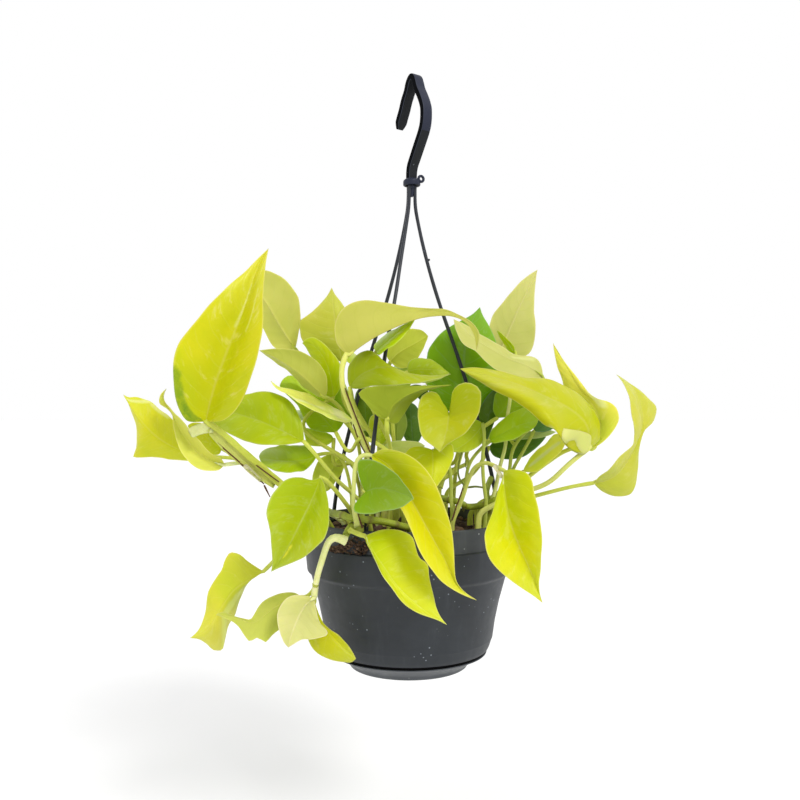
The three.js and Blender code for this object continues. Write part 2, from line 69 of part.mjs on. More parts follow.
  ["leaf_32", "limegreen", [539,-120,1766,539,-120,1766,539,-120,1766,539,-120,1766,539,-120,1766,492,-86,1799,509,-110,1776,528,-127,1748,542,-143,1731,557,-153,1710,439,-77,1792,469,-115,1756,501,-143,1713,521,-166,1686,542,-182,1656,387,-86,1763,423,-131,1721,460,-165,1670,481,-188,1643,503,-205,1611,343,-111,1724,377,-155,1681,413,-189,1631,432,-209,1608,452,-223,1581,311,-144,1676,337,-179,1642,364,-205,1601,380,-220,1585,395,-231,1565,291,-180,1625,306,-199,1605,321,-214,1582,329,-222,1574,338,-227,1566,280,-220,1568,280,-220,1568,280,-220,1568,280,-220,1568,280,-220,1568], [534,-185,920,553,-197,1197,528,-221,1473,538,-235,1651,539,-201,1715,539,-120,1766], [1.5, 1.2]],
  ["leaf_33", "lime", [158,-440,1595,158,-440,1595,158,-440,1595,158,-440,1595,158,-440,1595,81,-415,1618,120,-436,1603,159,-449,1583,199,-436,1606,239,-415,1622,2,-396,1601,81,-434,1591,161,-459,1570,234,-436,1601,307,-399,1623,-41,-406,1533,60,-455,1539,162,-486,1533,231,-466,1537,301,-433,1533,-34,-453,1456,62,-501,1462,161,-530,1458,212,-515,1461,265,-490,1458,-12,-496,1385,65,-535,1386,145,-558,1381,181,-547,1387,219,-529,1389,32,-538,1327,76,-561,1326,121,-574,1322,143,-568,1326,166,-556,1328,99,-580,1279,99,-580,1279,99,-580,1279,99,-580,1279,99,-580,1279], [133,-340,920,136,-341,1168,178,-365,1412,186,-398,1531,158,-440,1595], [1.5, 1.2]],
  ["leaf_34", "lime", [-257,-640,1570,-257,-640,1570,-257,-640,1570,-257,-640,1570,-257,-640,1570,-182,-873,1428,-161,-828,1470,-130,-771,1507,-104,-821,1562,-69,-857,1610,-90,-994,1299,-65,-946,1341,-32,-883,1379,21,-962,1453,86,-1019,1520,-8,-1070,1165,20,-1025,1201,54,-965,1234,112,-1046,1304,180,-1103,1369,53,-1133,1023,93,-1082,1056,137,-1013,1085,188,-1083,1144,241,-1129,1199,140,-1143,888,180,-1097,916,218,-1035,942,244,-1073,979,269,-1099,1013,264,-1082,769,277,-1064,782,288,-1040,794,287,-1051,809,286,-1059,822,417,-1040,691,417,-1040,691,417,-1040,691,417,-1040,691,417,-1040,691], [-342,-746,1108,-373,-688,1243,-361,-662,1510,-332,-658,1567,-257,-640,1570], [1.6, 1.25]],
  ["leaf_35", "green", [-288,-860,1348,-288,-860,1348,-288,-860,1348,-288,-860,1348,-288,-860,1348,-338,-943,1298,-304,-898,1323,-277,-864,1354,-297,-873,1395,-324,-892,1441,-348,-1008,1241,-301,-928,1297,-265,-868,1359,-292,-886,1449,-331,-925,1544,-267,-1019,1227,-248,-939,1295,-242,-879,1368,-240,-898,1465,-251,-937,1567,-189,-1057,1241,-176,-981,1307,-178,-922,1379,-165,-937,1451,-164,-966,1529,-113,-1115,1264,-99,-1057,1315,-99,-1010,1371,-89,-1021,1421,-89,-1041,1475,-40,-1156,1292,-32,-1121,1322,-32,-1092,1356,-26,-1098,1383,-26,-1108,1411,21,-1160,1337,21,-1160,1337,21,-1160,1337,21,-1160,1337,21,-1160,1337], [-259,-362,920,-268,-461,1070,-282,-479,1166,-310,-465,1256,-310,-486,1289,-304,-629,1334,-288,-860,1348], [1.7, 1.4]],
  ["leaf_36", "lime", [-289,-840,1062,-289,-840,1062,-289,-840,1062,-289,-840,1062,-289,-840,1062,-245,-894,966,-250,-890,989,-255,-880,1008,-218,-854,1059,-179,-812,1100,-199,-950,869,-199,-944,901,-200,-930,929,-119,-882,1017,-42,-803,1086,-133,-986,780,-131,-980,809,-130,-967,835,-41,-918,918,38,-837,986,-66,-1009,692,-56,-1004,715,-46,-993,735,38,-945,815,114,-867,881,21,-1014,620,33,-1010,640,44,-1000,657,91,-970,710,132,-921,757,128,-993,572,131,-991,579,133,-988,586,152,-975,611,166,-954,632,234,-960,518,234,-960,518,234,-960,518,234,-960,518,234,-960,518], [-390,-740,1085,-332,-826,1072,-289,-840,1062], [1.6, 1.4]],
  ["leaf_37", "lime", [636,-600,1466,636,-600,1466,636,-600,1466,636,-600,1466,636,-600,1466,579,-729,1331,601,-708,1358,631,-682,1381,681,-767,1433,750,-839,1473,527,-856,1201,575,-822,1234,633,-777,1259,700,-886,1316,785,-972,1359,468,-980,1079,557,-929,1110,656,-853,1131,724,-963,1185,803,-1044,1230,497,-1026,949,597,-972,979,700,-887,1006,758,-978,1050,819,-1043,1091,596,-1008,838,676,-965,861,754,-899,884,791,-956,914,826,-997,943,721,-944,738,765,-921,749,805,-887,762,815,-906,774,824,-919,788,856,-840,630,856,-840,630,856,-840,630,856,-840,630,856,-840,630], [290,-396,920,309,-408,1117,391,-422,1334,438,-476,1464,465,-501,1496,519,-532,1515,636,-600,1466], [1.6, 1.3]],
  ["leaf_38", "dark", [620,260,1579,620,260,1579,620,260,1579,620,260,1579,620,260,1579,656,248,1511,659,245,1541,664,248,1570,665,256,1602,668,270,1632,727,231,1487,725,228,1527,724,231,1566,723,244,1616,725,266,1665,803,211,1490,798,207,1532,797,211,1573,792,225,1631,791,251,1686,873,190,1507,868,186,1550,866,190,1592,859,203,1646,856,227,1698,938,175,1550,934,172,1582,931,175,1613,925,187,1659,921,208,1704,993,166,1600,991,164,1618,990,166,1636,986,173,1665,983,186,1692,1042,160,1660,1042,160,1660,1042,160,1660,1042,160,1660,1042,160,1660], [279,117,920,287,125,1240,427,249,1325,495,287,1368,564,288,1460,620,260,1579], [1.7, 1.4]],
  ["leaf_39", "lime", [-1005,-440,757,-1005,-440,757,-1005,-440,757,-1005,-440,757,-1005,-440,757,-1120,-423,829,-1097,-452,774,-1079,-465,718,-1092,-447,698,-1107,-422,678,-1238,-408,885,-1190,-461,780,-1150,-488,676,-1162,-444,620,-1179,-383,564,-1286,-448,775,-1247,-488,693,-1221,-510,615,-1215,-439,523,-1226,-344,435,-1358,-475,670,-1316,-514,594,-1284,-535,521,-1271,-455,418,-1274,-348,320,-1391,-491,545,-1361,-522,480,-1339,-539,420,-1321,-446,295,-1319,-319,182,-1411,-511,418,-1405,-527,386,-1401,-535,357,-1397,-495,303,-1396,-441,256,-1493,-520,319,-1493,-520,319,-1493,-520,319,-1493,-520,319,-1493,-520,319], [-493,-306,920,-542,-321,1043,-587,-357,1120,-613,-387,1131,-665,-537,1130,-693,-568,1124,-827,-580,968,-1005,-440,757], [1.6, 1.3]],
  ["leaf_40", "limepale", [-746,-440,584,-746,-440,584,-746,-440,584,-746,-440,584,-746,-440,584,-756,-514,481,-785,-496,523,-811,-486,570,-824,-465,591,-835,-449,616,-833,-580,412,-866,-556,472,-895,-543,539,-910,-514,568,-923,-492,602,-926,-627,356,-953,-602,419,-978,-589,488,-990,-555,523,-1002,-529,563,-1014,-644,354,-1027,-627,399,-1038,-618,448,-1043,-597,470,-1046,-581,495,-1098,-668,379,-1101,-653,419,-1099,-644,463,-1107,-635,470,-1114,-629,479,-1173,-689,471,-1179,-684,485,-1183,-681,501,-1191,-672,509,-1198,-665,517,-1275,-720,526,-1275,-720,526,-1275,-720,526,-1275,-720,526,-1275,-720,526], [-547,-687,985,-656,-555,645,-704,-511,598,-746,-440,584], [1.5, 1.3]],
  ["leaf_41", "pale", [-639,-620,613,-639,-620,613,-639,-620,613,-639,-620,613,-639,-620,613,-623,-644,541,-650,-646,565,-671,-657,594,-695,-644,612,-715,-639,636,-599,-673,473,-654,-677,514,-700,-697,566,-749,-673,596,-791,-664,636,-548,-701,414,-642,-706,461,-725,-738,527,-789,-710,553,-845,-698,593,-578,-746,385,-666,-751,424,-745,-781,480,-811,-752,499,-870,-742,530,-651,-786,385,-707,-788,406,-761,-808,435,-811,-786,445,-858,-779,462,-721,-817,375,-747,-818,381,-774,-827,390,-802,-815,391,-830,-811,396,-783,-840,342,-783,-840,342,-783,-840,342,-783,-840,342,-783,-840,342], [-417,-755,1016,-490,-780,1048,-529,-774,1016,-611,-672,772,-639,-620,613], [2.4, 1.9]],
  ["leaf_41", "lime", [-642,-550,571,-642,-550,571,-642,-550,571,-642,-550,571,-642,-550,571,-681,-555,486,-652,-572,500,-619,-581,512,-618,-580,512,-617,-580,512,-694,-565,396,-645,-595,427,-589,-611,455,-587,-609,456,-584,-606,456,-678,-582,307,-619,-620,355,-552,-641,400,-545,-634,405,-537,-624,410,-618,-613,244,-566,-650,298,-509,-669,349,-496,-654,361,-481,-633,373,-533,-643,210,-497,-672,257,-459,-686,301,-445,-669,316,-430,-646,329,-440,-670,198,-423,-688,230,-405,-696,260,-397,-685,271,-388,-669,281,-355,-700,229,-355,-700,229,-355,-700,229,-355,-700,229,-355,-700,229], [-624,-648,715,-640,-599,601,-642,-550,571], [1.8, 1.6]],
  ["leaf_43", "green", [662,76,1805,662,76,1805,662,76,1805,662,76,1805,662,76,1805,717,79,1811,699,68,1823,682,61,1836,657,67,1852,633,80,1869,770,75,1824,739,56,1847,710,44,1873,672,55,1905,636,76,1939,819,70,1847,783,45,1878,748,31,1911,704,44,1955,661,70,2002,863,60,1881,828,35,1913,794,21,1947,754,34,1994,716,60,2043,896,44,1923,867,23,1951,840,11,1981,810,21,2019,781,42,2059,908,21,1974,893,9,1991,878,2,2009,862,8,2033,848,21,2059,904,-4,2029,904,-4,2029,904,-4,2029,904,-4,2029,904,-4,2029], [11,-120,920,22,-190,979,33,-215,1030,109,-144,1288,151,-152,1327,304,-201,1406,341,-204,1447,396,-112,1596,484,58,1682,524,75,1712,662,76,1805], [1.7, 1.4]],
  ["leaf_44", "green", [-219,40,1598,-219,40,1598,-219,40,1598,-219,40,1598,-219,40,1598,-179,80,1619,-201,62,1623,-223,50,1624,-244,59,1624,-265,72,1623,-155,110,1650,-190,82,1655,-226,62,1658,-258,75,1660,-290,96,1660,-141,133,1692,-183,99,1698,-227,75,1702,-265,91,1707,-303,115,1709,-140,143,1735,-182,109,1744,-225,85,1750,-262,101,1757,-300,125,1762,-148,139,1780,-182,112,1787,-217,93,1792,-252,108,1799,-288,131,1806,-165,126,1818,-186,109,1821,-207,97,1824,-231,107,1829,-255,123,1833,-198,100,1850,-198,100,1850,-198,100,1850,-198,100,1850,-198,100,1850], [-99,18,920,-101,18,1228,-207,12,1355,-219,40,1598], [1.7, 1.4]],
  ["shoot_back_left", "lime", [-550,517,1822,-550,517,1822,-550,517,1822,-550,517,1822,-550,517,1822,-499,636,1805,-537,577,1817,-582,517,1831,-538,458,1815,-500,398,1802,-591,746,1777,-599,632,1819,-614,517,1839,-600,403,1817,-594,289,1772,-748,797,1793,-745,657,1840,-744,518,1859,-747,379,1837,-751,240,1786,-907,779,1793,-914,648,1836,-917,519,1854,-915,389,1833,-909,260,1787,-1044,708,1778,-1055,614,1808,-1060,520,1820,-1056,426,1806,-1046,332,1774,-1167,617,1750,-1175,569,1764,-1179,521,1770,-1176,473,1763,-1168,425,1747,-1289,522,1703,-1289,522,1703,-1289,522,1703,-1289,522,1703,-1289,522,1703], [-337,430,920,-360,406,1333,-392,515,1580,-438,517,1686,-550,517,1822], [1.8, 1.5]],
  ["shoot_back_left", "limegreen", [-253,691,2140,-253,691,2140,-253,691,2140,-253,691,2140,-253,691,2140,-185,792,2078,-228,745,2121,-276,699,2166,-257,629,2132,-242,560,2100,-253,926,2107,-268,816,2157,-299,707,2191,-322,593,2179,-363,481,2150,-374,1018,2216,-380,879,2264,-404,743,2289,-447,608,2290,-508,476,2269,-524,1047,2328,-534,919,2376,-558,792,2400,-597,666,2400,-649,541,2377,-673,1018,2421,-683,926,2457,-701,834,2476,-728,743,2475,-763,651,2457,-816,965,2498,-823,918,2517,-832,871,2526,-846,824,2526,-862,777,2516,-964,907,2562,-964,907,2562,-964,907,2562,-964,907,2562,-964,907,2562], [-348,406,1173,-338,463,1207,-335,474,1235,-326,396,1543,-318,395,1658,-299,444,1742,-234,655,1968,-230,681,2039,-253,691,2140], [1.8, 1.5]],
  ["shoot_back_mid", "lime", [-171,558,1833,-171,558,1833,-171,558,1833,-171,558,1833,-171,558,1833,-78,462,1869,-123,520,1858,-167,584,1850,-220,574,1793,-271,571,1739,51,493,1936,-64,547,1909,-163,610,1865,-249,651,1785,-318,702,1687,126,603,2023,-16,658,1984,-139,719,1921,-241,785,1832,-324,857,1720,154,746,2062,25,806,2028,-89,866,1971,-185,925,1887,-266,983,1780,141,896,2055,50,945,2031,-31,990,1990,-102,1031,1929,-163,1068,1850,116,1045,2022,70,1072,2010,29,1096,1988,-7,1116,1957,-40,1133,1917,96,1196,1972,96,1196,1972,96,1196,1972,96,1196,1972,96,1196,1972], [-89,328,920,-133,328,1370,-179,463,1581,-171,558,1833], [1.8, 1.5]],
  ["shoot_back_mid", "limegreen", [127,693,2131,127,693,2131,127,693,2131,127,693,2131,127,693,2131,191,741,2090,156,720,2120,118,701,2150,107,658,2124,94,616,2098,194,833,2125,156,768,2151,108,710,2168,63,648,2158,8,593,2139,157,908,2210,116,824,2231,64,748,2240,4,678,2240,-69,616,2228,87,952,2300,48,874,2321,-1,804,2330,-57,738,2329,-124,679,2316,2,962,2375,-28,907,2392,-63,856,2399,-104,808,2398,-151,764,2387,-87,957,2439,-102,929,2448,-121,903,2452,-142,879,2451,-165,856,2445,-179,951,2497,-179,951,2497,-179,951,2497,-179,951,2497,-179,951,2497], [-124,321,1314,-72,357,1431,-86,405,1634,14,488,1706,90,541,1863,188,586,1941,180,643,2041,127,693,2131], [1.8, 1.5]],
  ["shoot_back_centre", "green", [-144,413,1939,-144,413,1939,-144,413,1939,-144,413,1939,-144,413,1939,-109,350,1891,-125,381,1925,-139,414,1961,-165,444,1930,-188,476,1901,-39,309,1941,-93,358,1963,-134,415,1982,-168,479,1973,-190,551,1961,13,296,2047,-55,356,2062,-108,424,2071,-147,503,2074,-171,591,2071,47,322,2161,-15,378,2177,-65,442,2186,-101,515,2188,-125,597,2183,60,375,2259,16,416,2273,-20,463,2280,-46,516,2281,-64,575,2275,65,440,2346,43,461,2353,25,485,2357,11,512,2357,2,542,2354,73,509,2427,73,509,2427,73,509,2427,73,509,2427,73,509,2427], [-299,208,920,-337,130,1136,-347,116,1392,-333,167,1466,-279,337,1584,-251,392,1641,-144,413,1939], [1.8, 1.5]],
  ["shoot_back_centre", "limegreen", [-80,660,1500,-80,660,1500,-80,660,1500,-80,660,1500,-80,660,1500,39,613,1505,-21,649,1501,-82,693,1498,-137,642,1501,-192,599,1505,141,699,1451,28,713,1484,-84,725,1495,-194,699,1484,-304,672,1451,179,858,1414,43,861,1455,-92,856,1470,-227,844,1455,-361,825,1414,152,1009,1360,25,1019,1395,-102,1018,1407,-227,1004,1395,-352,978,1360,75,1129,1297,-18,1141,1320,-109,1142,1328,-200,1130,1320,-290,1107,1297,-21,1229,1226,-68,1237,1236,-115,1238,1240,-162,1231,1236,-208,1218,1226,-120,1320,1140,-120,1320,1140,-120,1320,1140,-120,1320,1140,-120,1320,1140], [-345,117,1234,-291,207,1297,-130,673,1303,-112,599,1395,-98,614,1446,-80,660,1500], [1.8, 1.5]],
  ["shoot_back_right", "green", [360,639,1770,360,639,1770,360,639,1770,360,639,1770,360,639,1770,473,567,1732,418,618,1752,365,676,1775,299,628,1785,234,587,1797,581,660,1664,478,684,1733,369,713,1779,249,704,1795,123,699,1788,646,840,1647,518,853,1729,383,866,1782,239,877,1805,88,888,1799,636,1027,1627,518,1048,1702,392,1063,1752,257,1070,1773,116,1071,1769,567,1189,1606,481,1210,1659,389,1222,1694,292,1226,1710,190,1221,1709,472,1332,1577,427,1345,1603,381,1352,1621,331,1353,1629,279,1349,1630,366,1470,1531,366,1470,1531,366,1470,1531,366,1470,1531,366,1470,1531], [162,287,920,171,296,1336,341,503,1521,360,639,1770], [1.8, 1.5]],
  ["shoot_back_right", "lime", [300,460,1920,300,460,1920,300,460,1920,300,460,1920,300,460,1920,379,361,1887,342,416,1915,309,474,1943,252,494,1901,199,517,1860,509,350,1936,407,413,1958,318,489,1965,234,563,1932,163,650,1885,603,401,2042,475,470,2057,361,553,2052,264,652,2025,182,765,1979,651,501,2139,533,570,2157,428,649,2154,336,740,2128,257,841,2081,652,627,2214,569,679,2229,494,737,2227,427,802,2208,367,873,2171,636,761,2272,594,788,2280,556,819,2279,521,851,2269,490,887,2250,620,900,2320,620,900,2320,620,900,2320,620,900,2320,620,900,2320], [162,287,1274,170,360,1349,220,430,1413,218,389,1715,243,409,1810,300,460,1920], [1.8, 1.5]],
  ["shoot_right", "limegreen", [484,542,1956,484,542,1956,484,542,1956,484,542,1956,484,542,1956,507,421,1918,504,486,1943,507,553,1971,447,590,1952,393,629,1936,636,369,1902,578,463,1953,530,564,1984,468,662,1971,416,768,1936,777,386,1943,698,497,2000,626,614,2029,564,739,2021,509,871,1985,887,465,1979,822,573,2034,759,684,2062,697,799,2054,638,918,2018,958,584,2003,917,665,2044,873,747,2064,826,829,2058,777,912,2032,1012,718,2016,993,760,2036,972,803,2047,947,844,2043,920,886,2031,1066,858,2013,1066,858,2013,1066,858,2013,1066,858,2013,1066,858,2013], [225,59,920,229,27,1193,241,30,1415,270,101,1484,377,376,1608,422,474,1676,456,520,1786,484,542,1956], [1.8, 1.5]],
  ["shoot_right", "lime", [520,402,1622,520,402,1622,520,402,1622,520,402,1622,520,402,1622,439,319,1586,491,357,1611,548,391,1645,526,457,1616,508,521,1597,507,191,1591,536,288,1638,577,380,1667,603,481,1647,641,578,1611,644,93,1673,666,215,1719,700,334,1741,748,450,1731,807,563,1697,808,50,1733,839,161,1778,874,271,1801,915,380,1790,961,489,1755,973,60,1763,1001,138,1797,1028,217,1813,1056,297,1805,1083,378,1779,1134,91,1770,1151,130,1787,1166,170,1795,1179,211,1791,1190,254,1778,1301,125,1754,1301,125,1754,1301,125,1754,1301,125,1754,1301,125,1754], [232,23,1290,279,77,1390,437,224,1446,462,296,1467,454,421,1505,466,426,1542,520,402,1622], [1.8, 1.5]],
  ["trailer_back_left", "lime", [-101,883,1194,-101,883,1194,-101,883,1194,-101,883,1194,-101,883,1194,13,845,1268,-43,869,1212,-100,895,1153,-158,887,1216,-216,880,1276,112,815,1138,8,871,1128,-100,906,1111,-212,905,1135,-327,882,1153,158,842,918,31,904,928,-101,939,935,-237,945,937,-377,924,936,135,864,688,16,922,692,-107,955,696,-233,960,701,-364,940,705,59,875,493,-27,917,492,-116,941,493,-208,945,498,-302,930,505,-37,875,321,-81,897,320,-126,909,320,-173,911,323,-222,903,328,-139,861,156,-139,861,156,-139,861,156,-139,861,156,-139,861,156], [-50,437,920,-56,493,1067,-67,589,1166,-89,782,1264,-95,834,1249,-101,883,1194], [1.8, 1.5]],
  ["trailer_back_left", "limegreen", [32,1234,1151,32,1234,1151,32,1234,1151,32,1234,1151,32,1234,1151,63,1107,1211,56,1175,1167,49,1244,1117,-7,1283,1168,-62,1323,1213,135,1017,1098,109,1140,1097,65,1254,1084,-11,1348,1099,-105,1432,1102,231,1014,917,190,1159,934,126,1290,939,44,1411,936,-61,1519,922,281,1067,722,245,1203,733,185,1326,737,108,1439,735,9,1539,727,284,1157,552,258,1256,556,215,1345,558,159,1427,558,86,1499,555,260,1256,399,247,1307,400,225,1353,400,197,1395,400,159,1431,400,222,1352,246,222,1352,246,222,1352,246,222,1352,246,222,1352,246], [-71,627,1186,-70,769,1230,-104,838,1255,-96,896,1244,-27,993,1165,73,1011,1027,0,1180,1103,32,1234,1151], [1.8, 1.5]],
  ["trailer_back_right", "lime", [325,975,889,325,975,889,325,975,889,325,975,889,325,975,889,425,950,961,377,967,911,329,984,856,270,972,899,211,960,939,533,931,869,433,972,849,333,993,822,228,982,828,123,951,827,597,956,699,473,1001,692,349,1020,681,224,1012,666,98,979,648,600,972,513,485,1014,501,369,1033,489,252,1025,477,134,994,465,552,977,348,469,1008,336,386,1021,326,301,1016,319,215,993,313,484,972,200,442,988,192,399,994,186,355,992,183,311,981,182,411,955,54,411,955,54,411,955,54,411,955,54,411,955,54], [244,434,920,256,469,1027,274,522,1107,306,601,1164,325,677,1187,326,751,1161,326,848,1079,325,975,889], [1.8, 1.5]],
  ["leaf_43", "green", [590,100,1632,590,100,1632,590,100,1632,590,100,1632,590,100,1632,613,111,1689,602,107,1690,590,104,1691,575,107,1691,561,111,1691,637,121,1746,614,114,1749,590,109,1750,564,113,1752,538,121,1753,662,130,1803,631,120,1806,599,113,1809,560,120,1813,522,132,1818,688,137,1860,653,125,1864,618,118,1868,579,125,1875,539,137,1881,710,142,1918,674,130,1924,637,122,1930,605,128,1935,573,138,1939,704,140,1980,679,132,1983,654,127,1985,634,130,1988,614,136,1991,668,130,2030,668,130,2030,668,130,2030,668,130,2030,668,130,2030], [493,66,1689,590,100,1632], [1.25, 1.1]],
  ["leaf_16b", "pale", [760,20,1636,760,20,1636,760,20,1636,760,20,1636,760,20,1636,804,30,1664,804,26,1658,805,20,1653,806,16,1647,807,11,1642,850,38,1686,851,30,1676,852,20,1667,854,14,1657,855,5,1648,898,45,1704,900,34,1689,901,20,1677,902,12,1664,903,3,1654,948,50,1717,949,37,1699,950,20,1684,951,11,1670,952,0,1658,998,47,1720,999,35,1705,999,20,1691,999,12,1678,1000,1,1666,1048,38,1717,1048,30,1707,1047,20,1698,1047,15,1689,1047,8,1681,1093,20,1703,1093,20,1703,1093,20,1703,1093,20,1703,1093,20,1703], [783,-37,1611,760,20,1636], [1.25, 1.1]],
  ["leaf_31", "grey", [924,-20,1712,924,-20,1712,924,-20,1712,924,-20,1712,924,-20,1712,980,3,1704,967,-5,1717,953,-11,1731,937,-5,1749,920,4,1768,1035,22,1710,1013,7,1734,990,-2,1757,964,7,1790,937,24,1822,1083,29,1731,1057,11,1760,1031,0,1790,1000,11,1829,970,30,1868,1121,29,1767,1096,11,1797,1071,0,1827,1044,10,1865,1017,28,1903,1150,24,1811,1130,9,1836,1110,0,1860,1090,8,1890,1070,22,1920,1169,14,1859,1158,5,1874,1146,0,1888,1136,5,1906,1125,13,1924,1178,0,1910,1178,0,1910,1178,0,1910,1178,0,1910,1178,0,1910], [731,0,1316,765,42,1377,822,24,1511,886,-24,1639,924,-20,1712], [1.4, 1.2]],
  ["leaf_03", "lime", [-430,300,1778,-430,300,1778,-430,300,1778,-430,300,1778,-430,300,1778,-427,310,1838,-442,304,1833,-457,300,1828,-470,303,1825,-484,309,1821,-433,317,1898,-458,306,1890,-482,300,1883,-511,307,1872,-541,320,1861,-447,320,1957,-476,307,1948,-505,300,1939,-547,309,1926,-589,328,1912,-468,320,2015,-497,307,2007,-525,300,1999,-572,310,1986,-618,330,1973,-489,318,2071,-516,306,2066,-543,300,2060,-586,309,2051,-629,327,2042,-516,314,2128,-537,305,2122,-557,300,2117,-586,306,2114,-615,318,2111,-565,300,2156,-565,300,2156,-565,300,2156,-565,300,2156,-565,300,2156], [-318,175,1723,-400,251,1722,-430,300,1778], [1.25, 1.1]],
  ["shoot_back_centre", "green", [-324,260,1625,-324,260,1625,-324,260,1625,-324,260,1625,-324,260,1625,-291,276,1682,-307,267,1682,-324,260,1683,-342,265,1681,-361,273,1680,-271,285,1745,-298,270,1744,-324,260,1744,-355,268,1742,-386,282,1740,-264,290,1810,-295,272,1809,-326,260,1808,-364,270,1806,-403,287,1804,-268,290,1877,-299,272,1876,-330,260,1874,-372,271,1872,-415,290,1869,-279,287,1942,-307,271,1941,-336,260,1940,-376,271,1937,-416,288,1935,-307,279,2002,-326,268,2001,-345,260,2000,-373,267,1999,-400,279,1998,-355,260,2047,-355,260,2047,-355,260,2047,-355,260,2047,-355,260,2047], [-293,300,1558,-324,260,1625], [1.25, 1.1]],
  ["leaf_20", "grey", [-86,160,1603,-86,160,1603,-86,160,1603,-86,160,1603,-86,160,1603,-120,174,1639,-103,171,1638,-86,164,1638,-69,170,1636,-53,173,1635,-141,185,1682,-113,179,1680,-86,168,1679,-58,178,1676,-31,183,1674,-146,192,1730,-115,186,1727,-84,173,1725,-50,186,1720,-15,191,1717,-144,197,1779,-112,191,1775,-80,177,1771,-44,191,1766,-8,197,1761,-130,202,1827,-102,196,1821,-74,184,1816,-44,195,1811,-14,200,1807,-101,204,1863,-83,200,1859,-65,192,1855,-46,199,1852,-28,202,1849,-55,200,1887,-55,200,1887,-55,200,1887,-55,200,1887,-55,200,1887], [-97,113,1516,-86,160,1603], [1.25, 1.1]],
  ["leaf_18", "dark", [37,260,1594,37,260,1594,37,260,1594,37,260,1594,37,260,1594,86,275,1626,60,267,1627,35,263,1627,11,267,1626,-13,276,1624,109,285,1675,70,273,1675,32,267,1673,-3,273,1671,-37,285,1668,114,293,1732,71,279,1731,28,273,1728,-10,279,1727,-48,293,1724,106,298,1790,65,285,1787,24,279,1784,-10,285,1782,-45,297,1779,92,297,1844,57,285,1842,21,280,1839,-9,285,1837,-39,296,1835,61,290,1893,39,283,1891,17,280,1889,-5,284,1889,-26,291,1889,14,280,1925,14,280,1925,14,280,1925,14,280,1925,14,280,1925], [-67,249,1529,37,260,1594], [1.25, 1.1]],
  ["leaf_19", "pale", [-196,20,1555,-196,20,1555,-196,20,1555,-196,20,1555,-196,20,1555,-150,5,1537,-156,13,1554,-161,23,1570,-169,32,1587,-177,45,1603,-103,0,1534,-110,11,1559,-118,28,1582,-125,40,1607,-132,56,1629,-55,2,1533,-61,15,1562,-67,32,1587,-73,45,1613,-79,62,1636,-7,9,1539,-12,20,1566,-17,37,1590,-21,49,1615,-26,66,1637,40,19,1551,37,28,1573,33,42,1593,30,52,1615,27,66,1634,85,31,1568,83,37,1583,81,46,1595,80,53,1611,79,64,1625,123,50,1598,123,50,1598,123,50,1598,123,50,1598,123,50,1598], [-153,-21,1464,-196,20,1555], [1.25, 1.1]],
  ["shoot_back_right", "green", [168,280,1932,168,280,1932,168,280,1932,168,280,1932,168,280,1932,166,291,1968,161,284,1959,157,280,1950,147,284,1938,137,291,1925,160,298,1998,151,287,1985,142,280,1971,126,287,1949,109,298,1928,139,300,2027,130,288,2011,121,280,1995,102,287,1971,84,300,1948,112,297,2047,104,287,2033,96,280,2019,80,287,1995,63,300,1970,80,295,2059,74,286,2047,67,280,2036,57,286,2016,46,295,1996,48,289,2058,44,284,2051,40,280,2044,35,283,2033,30,288,2022,14,280,2048,14,280,2048,14,280,2048,14,280,2048,14,280,2048], [251,416,1829,168,280,1932], [1.25, 1.1]],
];
const VINES = [
  ["vine_over_rim", [-280,-440,920,-311,-493,1023,-328,-524,1063,-347,-561,1091,-369,-604,1103,-384,-634,1101,-404,-677,1081,-420,-713,1048], [2.4, 2.3]],
  ["vine_front_left", [5,-412,920,5,-419,1033,1,-431,1059,-65,-521,1085,-110,-562,1103,-277,-655,1143,-338,-668,1150,-382,-650,1152,-418,-619,1156,-577,-414,1171,-673,-312,1215,-794,-216,1266], [2.4, 2.4]],
  ["vine_right", [129,-9,920,141,-19,1105,164,-25,1170,198,-35,1218,218,-50,1227,236,-80,1227,297,-247,1227,324,-289,1227,333,-291,1226,350,-276,1221,411,-123,1172,446,-88,1161,480,-89,1163,540,-107,1176,637,-176,1230,583,-150,1105,570,-139,920], [2.3, 2.3]],
];

const LEAF_COLOURS = {
  lime: "#bcd227", limegreen: "#a3c620", green: "#7fae1c", dark: "#55821c", pale: "#cdd873", grey: "#9aa77a", olive: "#93a02c", limepale: "#cddb54",
};
const STEM = "#a9bd3c", VINE = "#8fa83a", POT = "#474c51", SAUCER = "#5b6066", HOOK = "#3d4146", SOIL = "#3b271b";

const wasm = await Module();
wasm.setup();

// ---------------------------------------------------------------- helpers
const V = (x, y, z) => new THREE.Vector3(x, y, z);
function points(flat) {
  const out = [];
  for (let i = 0; i < flat.length; i += 3) out.push(V(flat[i] / 10, flat[i + 1] / 10, flat[i + 2] / 10));
  return out;
}
function solid(verts, tris) {
  return new wasm.Manifold(new wasm.Mesh({ numProp: 3, vertProperties: new Float32Array(verts.flatMap((p) => [p.x, p.y, p.z])), triVerts: new Uint32Array(tris) }));
}
